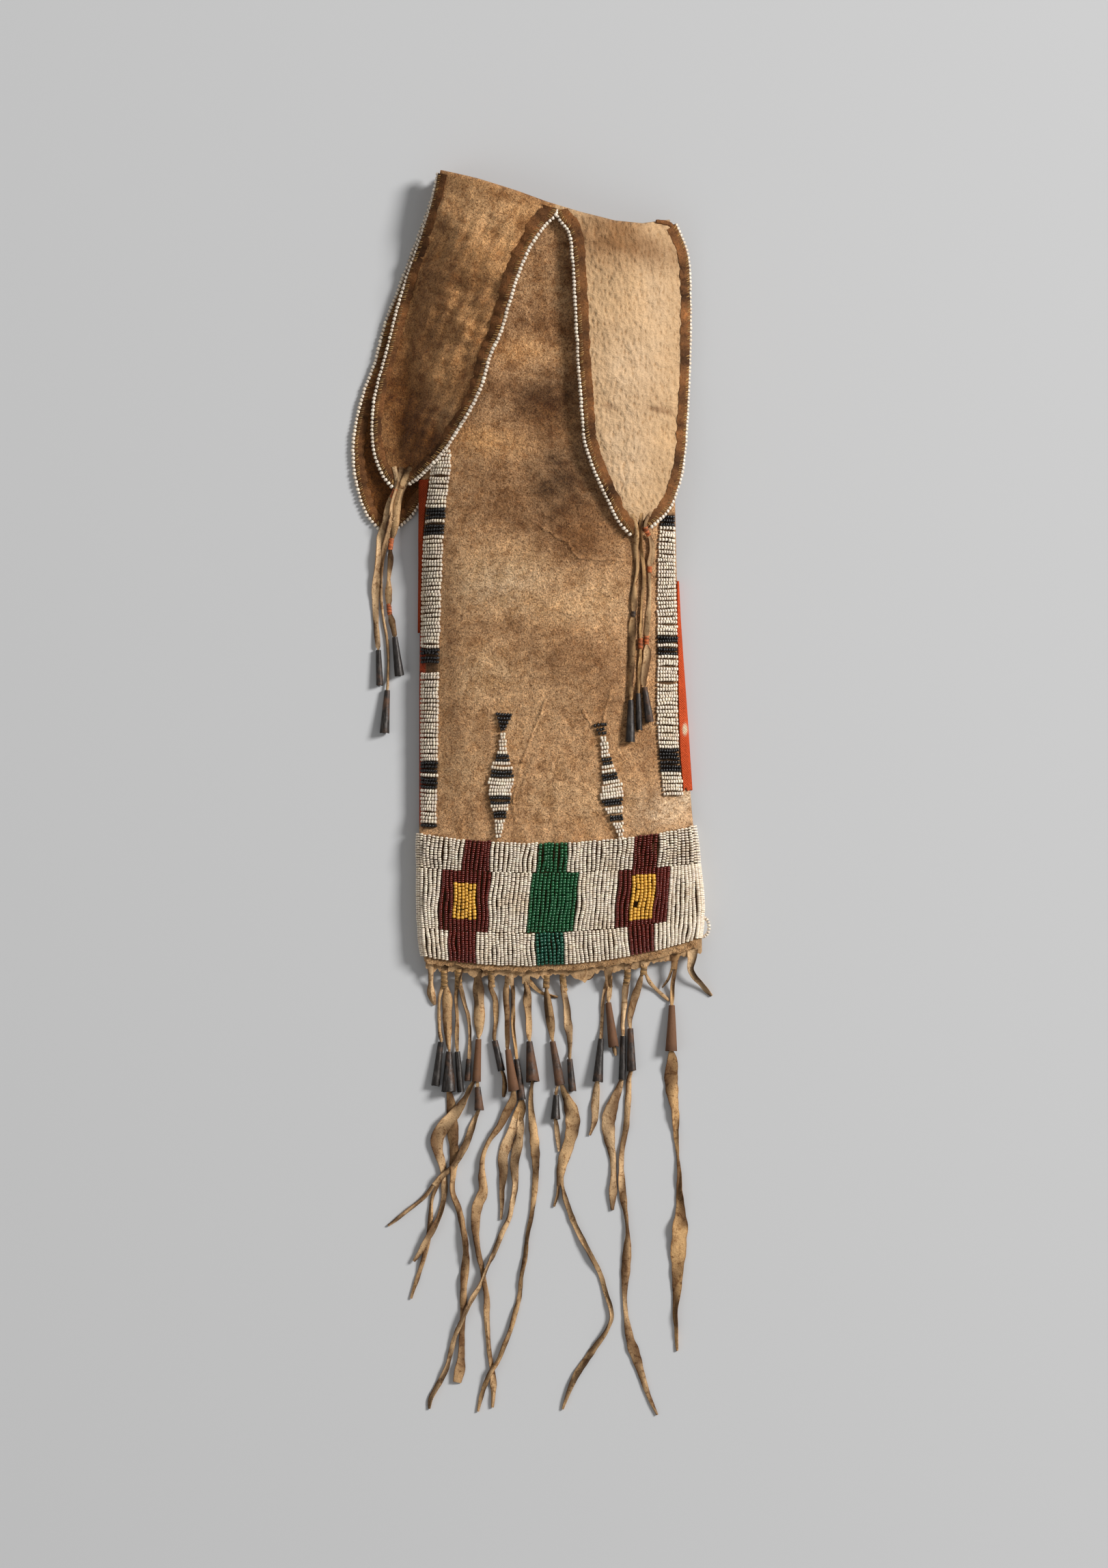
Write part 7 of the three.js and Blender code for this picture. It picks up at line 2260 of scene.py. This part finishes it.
@dataclass
class BeadPanel:
    """Three lanes of beads round the foot of the pouch, their strings running toward the hem."""

    # Spacing of the strings, radius of a bead, its height off the hide at a lane's edges and more in the middle.
    pitch: float = 2.28
    radius: float = 1.06
    stand: float = 0.6
    arch: float = 1.75
    # How far strings stop inside a lane's edges, and the front ones inside the side arcs.
    edge_gap: float = 0.15
    side_gap: float = 0.6
    # The bag's edges, and the strings round each: degrees up from level, distance off, and more in the middle.
    sides: Pair = (-76.2, 81.0)
    side_angles: tuple[float, ...] = (65.0, 41.0, 13.0, -17.0, -47.0, -77.0)
    side_off: Pair = (0.95, 0.35)
    names: tuple[str, ...] = ("upper", "middle", "lower")
    # Share down a lane either way over which a string's heading is taken.
    nudge: float = 0.02
    # The strings under the bag: west and east limit at a lane's two edges, and beads to each one of a front string.
    under: tuple[Pair, Pair] = ((-72.5, -70.5), (77.5, 78.5))
    under_share: float = 0.6
    # How far below the underside their middles lie, and their least height.
    under_off: Pair = (1.08, 1.18)
    # A slit in the right inset (across, half width, low and high end), and a slack string's middle and half axes.
    slit: tuple[float, float, float, float] = (46.6, 1.0, -122.8, -119.2)
    slack: tuple[float, float, float] = (84.2, -134.0, 4.4)
    loop: tuple[float, float, float] = (3.4, 5.4, 1.2)
    colours: dict[str, Glass] = field(default_factory=lambda: {
        "yellow": Glass.YELLOW, "maroon": Glass.OXBLOOD, "lower_green": Glass.SEA_GREEN, "green": Glass.GREEN,
    })
    lengths: dict[Glass, float] = field(default_factory=lambda: {
        Glass.WHITE: 1.22, Glass.OXBLOOD: 1.12, Glass.GREEN: 1.66, Glass.SEA_GREEN: 1.85, Glass.YELLOW: 1.9,
    })

    def lane_y(self, lane: int, x: Array, t: Array) -> Array:
        """Place along the bag at share t down a lane, between the parabolas of its two edges."""
        top, foot = (parabola(LANE_EDGES[k], x) for k in (lane, lane + 1))
        return mix(top - self.edge_gap, foot + self.edge_gap, t)

    def edges(self, lane: int) -> Array:
        """Places along the bag of a lane's two edges, at the bag's middle."""
        return self.lane_y(lane, np.zeros(2), np.array([0.0, 1.0]))

    def front(self, lane: int, x: Array, t: Array) -> Array:
        """Bead centres on the front: each string arches over the hide as half a sine.

        Args:
            lane: Number of the lane.
            x: Places across.
            t: Shares down the lane.

        Returns:
            Points.
        """
        y = self.lane_y(lane, x, t)
        string = np.round(x / self.pitch)
        sway = 0.6 * ripple(x, y * 0.6, 13.0, lane + 60) + 0.28 * ripple(string * 31.7, y, 13.0, lane + 63)
        lift = 0.25 * ripple(x, y, 12.0, lane + 66) + 0.2 * wave(string * 17.3, 5.0, lane + 69)
        off = self.stand + (self.arch + lift) * np.sin(math.pi * t)
        return POUCH.on_front(x + sway * np.sin(math.pi * np.clip(t, 0.08, 0.92)), y, POUCH.hide / 2 + off)

    def round_side(self, lane: int, side: Side, angle: Array, t: Array) -> Array:
        """Bead centres round a side of the pouch, off its arc by half a sine over the lane.

        Args:
            lane: Number of the lane.
            side: Which side.
            angle: Degrees up from level.
            t: Shares down the lane.

        Returns:
            Points.
        """
        edge = self.sides[0 if side is Side.LEFT else 1]
        n = POUCH.row_of(np.full_like(t, edge), self.lane_y(lane, np.full_like(t, edge), t))
        off, more = self.side_off
        return POUCH.on_side(n, side, angle, off + more * np.sin(math.pi * t))

    def back(self, lane: int, x: Array, t: Array) -> Array:
        """Bead centres under the pouch, pressed flat where it lies."""
        s = POUCH.section(POUCH.row_of(x * 0, self.lane_y(lane, x * 0, t)), 0.0)
        return stack(x, self.lane_y(lane, x, t), np.maximum(s["under"] - self.under_off[0], self.under_off[1]))

    def string(self, runs: list[BeadRun], glass: Glass, height: float) -> tuple[Array, Array, Array]:
        """Spaces beads along runs of one colour.

        Args:
            runs: The runs.
            glass: Their colour.
            height: Length of the lane.

        Returns:
            Place across, share down the lane and half length of each bead.
        """
        span = np.array([r.stop - r.start for r in runs])
        count = np.maximum(np.round(span * height / self.lengths[glass]).astype(int), 1)
        which = np.repeat(np.arange(len(runs)), count)
        k = np.concatenate([np.arange(c) + 0.5 for c in count])
        rng = np.random.default_rng(len(which))
        k = k + rng.normal(0.0, 0.06, len(k)) + rng.normal(0.0, 0.12, len(runs))[which]
        start = np.array([r.start for r in runs])[which]
        t = start + span[which] * np.clip(k / count[which], 0.0, 1.0)
        x = mix(np.array([r.top for r in runs])[which], np.array([r.foot for r in runs])[which], t)
        return x, t, (span * height / count / 2)[which] * 0.99

    def strings_between(self, a: Pair, b: Pair, ends: Pair = (0.0, 1.0)) -> list[BeadRun]:
        """Strings spaced evenly between two lines.

        Args:
            a: Place across of the first line at the top and the foot of the lane.
            b: The same of the second line.
            ends: Share of the lane where the strings start and stop.

        Returns:
            One run per string.
        """
        wide = (b[0] - a[0] + b[1] - a[1]) / 2
        count = max(int(round(wide / self.pitch)), 1)
        shares = (np.arange(count) + 0.5) / count
        return [BeadRun(float(mix(a[0], b[0], s)), float(mix(a[1], b[1], s)), *ends) for s in shares]

    def lane_runs(self, lane: int) -> dict[str, list[BeadRun]]:
        """All the front strings of a lane, sorted into the white ground, its fields and their insets.

        Args:
            lane: Number of the lane.

        Returns:
            Runs by node.
        """
        name = self.names[lane]
        sections = [POUCH.section(y, POUCH.hide / 2) for y in self.edges(lane)]
        west = tuple(float(s["left"] + s["round"] / 2 + self.side_gap) for s in sections)
        east = tuple(float(s["right"] - s["round"] / 2 - self.side_gap) for s in sections)
        runs: dict[str, list[BeadRun]] = {f"{name}_lane": []}
        here = west
        for field_name, (ta, tb, fa, fb) in FIELDS[name].items():
            runs[f"{name}_lane"] += self.strings_between(here, (ta, fa))
            inset = INSETS.get(field_name.removeprefix("maroon_")) if name == "middle" else None
            key = f"{name}_{field_name}"
            if inset is None:
                runs[key] = self.strings_between((ta, fa), (tb, fb))
            else:
                ia, ib, ja, jb, start, stop = inset
                core = self.strings_between((ia, ja), (ib, jb), (start, stop))
                runs[key] = (
                    self.strings_between((ta, fa), (ia, ja))
                    + self.strings_between((ib, jb), (tb, fb))
                    + [BeadRun(r.top, r.foot, 0.0, start) for r in core]
                    + [BeadRun(r.top, r.foot, stop, 1.0) for r in core]
                )
                runs[f"middle_yellow_{field_name.removeprefix('maroon_')}"] = core
            here = (tb, fb)
        runs[f"{name}_lane"] += self.strings_between(here, east)
        return runs

    def glass_of(self, node: str) -> Glass:
        """Colour of a node's beads: that of the first word which its name holds, or else white."""
        return next((glass for word, glass in self.colours.items() if word in node), Glass.WHITE)

    def front_beads(self, lane: int, node: str, runs: list[BeadRun]) -> Shape:
        """A node's beads on the front, with a slit where a thread has worn through.

        Args:
            lane: Number of the lane.
            node: Name of the node.
            runs: Its runs.

        Returns:
            The beads.
        """
        glass = self.glass_of(node)
        height = float(np.ptp(self.edges(lane)))
        x, t, half = self.string(runs, glass, height * 1.03)
        centre = self.front(lane, x, t)
        axis = self.front(lane, x, t + self.nudge) - self.front(lane, x, t - self.nudge)
        rng = np.random.default_rng(len(x) + lane)
        keep = np.ones(len(x), bool)
        if node == "middle_yellow_right":
            middle, reach, low, high = self.slit
            keep &= ~((np.abs(x - middle) < reach) & (centre[:, 1] < high) & (centre[:, 1] > low))
        axis = unit(axis) + rng.normal(0.0, 0.06, centre.shape)
        radius = self.radius * rng.normal(1.0, 0.05, len(x))
        tint = bead_tints([glass] * len(x), lane + len(x))
        return beads(centre[keep], axis[keep], radius[keep], half[keep], tint[keep])

    def ground(self, lane: int) -> Shape:
        """The white strings of a lane round both sides and under the back.

        Args:
            lane: Number of the lane.

        Returns:
            The beads.
        """
        parts = []
        height = float(np.ptp(self.edges(lane)))
        for side in Side:
            runs = [BeadRun(a, a, 0.0, 1.0) for a in self.side_angles]
            angle, t, half = self.string(runs, Glass.WHITE, height)
            centre = self.round_side(lane, side, angle, t)
            centre[:, 2] = np.maximum(centre[:, 2], self.radius + 0.06)
            ahead, behind = (self.round_side(lane, side, angle, t + way * self.nudge) for way in (1, -1))
            axis = ahead - behind
            tint = bead_tints([Glass.WHITE] * len(t), lane + 20)
            parts.append(beads(centre, axis, np.full(len(t), self.radius), half, tint))
        under = self.strings_between(*self.under)
        x, t, half = self.string(under, Glass.WHITE, height * self.under_share)
        half = half / self.under_share
        centre = self.back(lane, x, t)
        axis = self.back(lane, x, t + self.nudge) - self.back(lane, x, t - self.nudge)
        tint = bead_tints([Glass.WHITE] * len(t), lane + 30)
        parts.append(beads(centre, axis, np.full(len(t), self.radius), half, tint, 6))
        return Shape.join(parts)

    def loose_loop(self) -> Shape:
        """A slack string of white beads that has come away at the right of the lower lane.

        Returns:
            Beads along half an ellipse.
        """
        a = np.linspace(-0.5 * math.pi, 0.5 * math.pi, 10)
        (x, y, z), (wide, tall, high) = self.slack, self.loop
        path = stack(x + wide * np.cos(a), y + tall * np.sin(a), z + high * np.cos(a))
        n = len(a)
        tint = bead_tints([Glass.WHITE] * n, 77)
        return beads(path, np.gradient(path, axis=0), np.full(n, self.radius), np.full(n, 0.72), tint)

    def build(self) -> None:
        """Makes each lane's ground, fields and insets, which replace their solids."""
        for lane, name in enumerate(self.names):
            for node, runs in self.lane_runs(lane).items():
                shape = self.front_beads(lane, node, runs)
                if node == f"{name}_lane":
                    shape = Shape.join([shape, self.ground(lane)] + ([self.loose_loop()] if lane == 2 else []))
                piece = shape.piece(f"{node}_beads", BEAD_FINISH[self.glass_of(node)], 180.0)
                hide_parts(node)


# Wide and narrow places of the fringe: strand, place along the bag, half length, width added.
FRINGE_SWELLS: Rows = (
    (3, -250, 14, 1), (8, -252, 12, 4), (14, -241, 12, 1.5), (14, -289, 16, 2.6), (15, -240, 10, 2),
    (16, -260, 20, 3.2), (17, -262, 16, 2.2), (17, -330, 14, -0.6), (19, -256, 14, 2.8), (19, -330, 30, -0.6),
    (23, -241, 14, 2), (23, -265, 10, 2.4), (25, -350, 14, -0.5), (25, -385, 12, 1), (29, -235, 10, 1),
    (31, -244, 16, 3), (31, -284, 10, 1.4), (33, -282, 10, 1.2), (33, -303, 9, -0.9), (33, -323, 14, 2.2),
    (33, -348, 9, -0.8), (33, -374, 11, 2.8), (37, -222, 14, 1.4), (37, -266, 12, -1.8), (37, -316, 20, 4.4),
)


@dataclass
class Fringe:
    """The ragged hem below the beadwork and the strands cut from it."""

    span: Pair = (-72.5, 83.5)
    inside: float = 8.0
    level: float = 5.65
    # The hem's rows and columns, its mean length past its line, and half its thickness at its root and edge.
    grid: tuple[int, int] = (12, 240)
    ragged: float = 3.3
    half: Pair = (0.75, 0.42)
    # Thickness of a quill, and half the width of what it binds.
    quill: Pair = (0.5, 1.5)
    # A tongue of hide left between the strands: middle, half width, length.
    tongue: tuple[float, float, float] = (16.5, 6.0, 3.2)
    # Quill wraps: root of the strand, then where they start and stop along the bag, and turns.
    wraps: tuple[tuple[float, float, float, float], ...] = (
        (-61.98, -158.6, -169.0, 13), (-53.9, -158.0, -168.5, 13), (-35.4, -158.5, -168.0, 12),
        (5.39, -160.5, -170.0, 12), (41.58, -158.0, -166.5, 10), (50.82, -156.5, -160.9, 6),
        (-4.24, -161.0, -168.5, 9),
    )

    def rooted(self, run: Array) -> Array:
        """A strand's run; one that forks from another starts 5 mm earlier and narrower, inside it.

        Args:
            run: Points with widths.

        Returns:
            The points, with one more before a fork.
        """
        if run[0, 2] > self.level - 0.5:
            return run
        back = run[0] - np.r_[unit(run[1, :3] - run[0, :3]) * 5.0, run[0, 3] * 0.4]
        return np.concatenate([back[None], run])

    def hem(self) -> Shape:
        """The hem as a sheet: from inside the pouch out past the lowest lane, its edge ragged.

        Returns:
            The closed hem.
        """
        rows, columns = self.grid
        x = np.linspace(*self.span, columns)
        drop = np.linspace(0.0, 1.0, rows)[:, None]
        rag = self.ragged + 1.2 * wave(x, 9.0, 12) + 0.7 * wave(x, 2.8, 13)
        middle, reach, length = self.tongue
        rag = rag + length * np.maximum(0.0, 1 - ((x - middle) / reach) ** 2)
        line = parabola(HEM, x)
        y = line[None] + mix(self.inside, 0.0, drop) - np.maximum(rag, 0.8) * drop**2
        z = self.level + 0.25 * ripple(x[None], y, 8.0, 14) * drop - 0.5 * drop**3
        half = np.broadcast_to(mix(*self.half, drop**2), y.shape).ravel()
        points = stack(x[None], y, z).reshape(-1, 3)
        faces = grid_faces(*y.shape)[:, ::-1]
        grime = 1.05 + 0.25 * ripple(points[:, 0], points[:, 1], 7.0, 15)
        tint = spread(Dye.HEM.rgb, len(points)) * grime[:, None]
        lay = stack(np.broadcast_to(drop * 0.6, y.shape).ravel(), points[:, 0], 0.0)
        return thicken(points, faces, half, tint, lay)

    def build(self) -> list[bpy.types.Object]:
        """Makes the hem with its strands, which replace the fringe, and the quill wraps.

        Returns:
            Fringe and wraps.
        """
        runs = [self.rooted(laid(rows)) for rows in STRANDS]
        cones = [TinCone(f"fringe_cone_{i:02d}") for i in range(1, len(FRINGE_RUST) + 1)]
        strands = Strands(runs, cones, swells=FRINGE_SWELLS).shape()
        fringe = Shape.join([self.hem(), strands]).piece("hem_fringe", STRAND_FINISH)
        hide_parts("fringe")
        coils = []
        for root, start, stop, turns in self.wraps:
            run = min(runs, key=lambda r: abs(r[0, 0] - root) + abs(r[0, 2] - self.level))
            coils.append(wrap(run, start, stop, turns, Dye.QUILL.value, *self.quill))
        quills = Shape.join(coils).piece("fringe_quills", WRAP_FINISH)
        return [fringe, quills]


@dataclass
class TinCone:
    """A cone rolled from a piece of tin, measured from its solid."""

    node: str
    rust: float = 0.3
    wall: float = 0.35
    # How far round the sheet laps itself in radians, how far it winds inward, and how rough its mouth and top are.
    lap: float = 0.7
    wound: float = 0.22
    rough: Pair = (0.3, 0.12)
    columns: int = 34
    rows: int = 11

    def axis(self) -> tuple[Array, Array, tuple[float, float]]:
        """Ends of the solid's long axis and its radius at each, the narrow end first.

        The axis is the first principal direction of the solid's points.

        Returns:
            Narrow end, wide end, and the two radii.
        """
        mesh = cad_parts[self.node].data
        flat = np.empty(len(mesh.vertices) * 3, np.float32)
        mesh.vertices.foreach_get("co", flat)
        p = np.unique(np.round(flat.reshape(-1, 3) / METRE, 2), axis=0).astype(float)
        middle = p.mean(0)
        line = np.linalg.svd(p - middle, full_matrices=False)[2][0]
        along = (p - middle) @ line
        reach = np.linalg.norm(p - middle - along[:, None] * line, axis=1)
        span = np.ptp(along)
        ends = [(along.min(), reach[along < along.min() + 0.3 * span].max()),
                (along.max(), reach[along > along.max() - 0.3 * span].max())]
        (a, small), (b, large) = sorted(ends, key=lambda e: e[1])
        return middle + line * a, middle + line * b, (float(small), float(large))

    def build(self) -> None:
        """Makes the cone: a sheet rolled once round and lapped over itself, dented and rough at its ends."""
        top, mouth, (small, large) = self.axis()
        seed = sum(map(ord, self.node))
        rng = np.random.default_rng(seed)
        line = unit(mouth - top)
        length = float(np.linalg.norm(mouth - top))
        first = unit(np.cross(line, UP))
        second = np.cross(line, first)
        a = np.linspace(0.0, TURN + self.lap, self.columns)[None]
        t = np.linspace(0.0, 1.0, self.rows)[:, None]
        r = mix(small, large, t) - self.wall / 2 - self.wound * (1 - a / (TURN + self.lap))
        r = r * (0.95 + 0.035 * np.sin(2 * a + seed) * t + 0.015 * np.sin(3 * a + 4 * t))
        low, high = self.rough
        wear = low * wave(a * 3, 5.0, seed) * t**6 + high * wave(a * 3, 6.0, seed + 1) * (1 - t) ** 8
        spin = rng.uniform(0.2, 2.6) - a
        points = (
            top + line * (length * t + wear)[..., None]
            + first * (r * np.cos(spin))[..., None] + second * (r * np.sin(spin))[..., None]
        )
        faces = grid_faces(t.size, a.size)[:, ::-1]
        flat = points.reshape(-1, 3)
        lay = stack(self.rust, np.broadcast_to(t, r.shape).ravel(), 0.0)
        made = thicken(flat, faces, self.wall / 2, spread(Dye.DARK.rgb, len(flat)), lay)
        piece = made.piece(f"{self.node}_tin", TIN_FINISH, 40.0)
        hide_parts(self.node)


# ------------------------------------------------------------------ studio


@dataclass
class Studio:
    """Camera straight above the bag, a pale floor and soft light from the upper right."""

    # Middle and height of the view, distance to the bag's face, and the face's level.
    middle: Pair = (0.0, -53.1)
    tall: float = 884.0
    away: float = 4000.0
    level: float = 15.0
    sensor: float = 36.0
    floor_tone: float = 0.62
    floor_half: float = 6000.0
    floor_gap: float = 0.05
    sky: float = 0.27
    # Key and fill lamps: name, place from the bag's middle in metres, width, watts.
    lamps: tuple[tuple[str, Colour, float, float], ...] = (
        ("key", (4.6, 2.1, 3.4), 1.75, 400.0), ("fill", (-4.5, -1.5, 4.0), 4.0, 24.0),
    )

    def camera(self) -> None:
        """A long lens whose view is as tall as the picture at the level of the bag's face."""
        data = bpy.data.cameras.new("camera")
        data.sensor_fit, data.sensor_width = "AUTO", self.sensor
        data.lens = self.sensor * self.away / self.tall
        data.clip_end = 50.0
        camera = bpy.data.objects.new("camera", data)
        camera.location = (self.middle[0] * METRE, self.middle[1] * METRE, (self.away + self.level) * METRE)
        bpy.context.scene.collection.objects.link(camera)
        bpy.context.scene.camera = camera

    def lights(self) -> None:
        """A large key lamp at the upper right, a weak fill at the left, and an even sky."""
        for name, place, size, power in self.lamps:
            data = bpy.data.lights.new(name, "AREA")
            data.shape, data.size, data.energy = "DISK", size, power
            lamp = bpy.data.objects.new(name, data)
            aim = np.array([0.0, self.middle[1] * METRE, 0.0])
            lamp.location = aim + place
            flat = math.hypot(place[0], place[1])
            lamp.rotation_euler = (math.atan2(flat, place[2]), 0.0, math.atan2(place[1], place[0]) + math.pi / 2)
            bpy.context.scene.collection.objects.link(lamp)
        world = bpy.data.worlds.new("sky")
        world.use_nodes = True
        shade = world.node_tree.nodes["Background"]
        shade.inputs["Color"].default_value = (1.0, 1.0, 1.0, 1.0)
        shade.inputs["Strength"].default_value = self.sky
        bpy.context.scene.world = world

    def floor(self) -> None:
        """A wide pale floor just under the bag."""
        grid = np.linspace(-self.floor_half, self.floor_half, 3)
        x, y = np.meshgrid(grid, grid)
        points = stack(x, y, -self.floor_gap).reshape(-1, 3)
        mesh = bpy.data.meshes.new("floor")
        mesh.from_pydata((points * METRE).tolist(), [], grid_faces(3, 3).tolist())
        graph = Graph("pale_floor")
        graph.set(Base_Color=(*(self.floor_tone,) * 3, 1.0), Roughness=0.9, Specular_IOR_Level=0.1)
        mesh.materials.append(graph.material)
        floor = bpy.data.objects.new("floor", mesh)
        bpy.context.scene.collection.objects.link(floor)

    def build(self) -> None:
        """Sets the whole studio."""
        self.camera()
        self.lights()
        self.floor()
        bpy.context.scene.view_settings.view_transform = "Standard"


# Black bands of the side strips: low and high end. Beads and black rows of the figures, from the top down.
LEFT_BLACK: Rows = (
    (96.25, 101.255), (87.01, 93.94), (18.865, 23.87), (14.245, 17.71), (-47.355, -41.58), (-55.44, -49.665),
    (-79.695, -75.075),
)
RIGHT_BLACK: Rows = (
    (93.17, 101.64), (26.95, 30.8), (19.25, 23.87), (-38.5, -33.495), (-45.815, -40.81),
)
LEFT_COUNTS = (
    6, 5, 4, 3, 2, 2, 2, 3, 3, 3, 4, 5, 6, 7, 8, 8, 9, 10, 10, 9, 9, 9, 8, 8, 7, 6, 5, 5, 4, 3, 3, 3, 2,
)
LEFT_DARK = (0, 1, 2, 3, 4, 11, 12, 15, 16, 22, 23, 26, 27)
RIGHT_COUNTS = (5, 3, 3, 2, 2, 3, 3, 3, 4, 4, 4, 5, 5, 6, 6, 7, 8, 8, 9, 9, 8, 7, 7, 6, 5, 5, 4, 3, 3, 2, 2)
RIGHT_DARK = (0, 1, 2, 9, 10, 13, 14, 20, 21, 24, 25)
# How rusty each cone is, west to east.
FRINGE_RUST = (0.1, 0.3, 0.05, 0.85, 0.35, 0.5, 0.2, 0.85, 0.4, 0.5, 0.6, 0.5, 0.1, 0.75, 0.2, 0.05, 0.45, 0.9)
TAB_RUST = {Side.LEFT: (0.25, 0.35, 0.15), Side.RIGHT: (0.15, 0.1, 0.4)}
# Ribbon at the top of the west edge, the tip and the top of the east edge, where it isn't the usual.
RIBBON_WIDTHS = {"left_front": (5.6, 3.6, 7.4), "right_front": (5.8, 5.2, 6.2)}


def main() -> None:
    """Builds the studio and the bag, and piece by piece."""
    logging.basicConfig(level=logging.INFO, format="%(message)s")
    Studio().build()
    hides = Hides().build()
    trims = {
        name: TabTrim(tab, wide=RIBBON_WIDTHS.get(name, TabTrim.wide), rolled=name == "right_front").build()
        for name, tab in TABS.items()
    }
    thongs = Thongs().build()
    left = Gusset(Side.LEFT, LEFT_GUSSET, (32.73, 118.6)).build()
    right = Gusset(Side.RIGHT, RIGHT_GUSSET, (-56.5, 61.6), (73.7, -22.3, 1.2)).build()
    BeadRows("left_bead_strip", strip_rows(LEFT_STRIP, LEFT_BLACK, ((11.935, 13.86),), 14.0), seed=21).build()
    BeadRows("right_bead_strip", strip_rows(RIGHT_STRIP, RIGHT_BLACK), seed=22).build()
    first = figure_rows(LEFT_FIGURE, (-13.86, -82.39), LEFT_COUNTS, LEFT_DARK)
    BeadRows("left_bead_figure", first, arch=0.45, uneven=0, seed=23).build()
    second = figure_rows(RIGHT_FIGURE, (-20.02, -83.545), RIGHT_COUNTS, RIGHT_DARK)
    BeadRows("right_bead_figure", second, tilt=0.16, arch=0.45, uneven=0, seed=24).build()
    BeadPanel().build()
    fringe = Fringe().build()
    for i, rust in enumerate(FRINGE_RUST):
        TinCone(f"fringe_cone_{i + 1:02d}", rust).build()
    for side, row in TAB_RUST.items():
        for i, rust in enumerate(row):
            TinCone(f"{side.word}_tab_cone_{i + 1:02d}", rust).build()


if __name__ == "__main__":
    main()
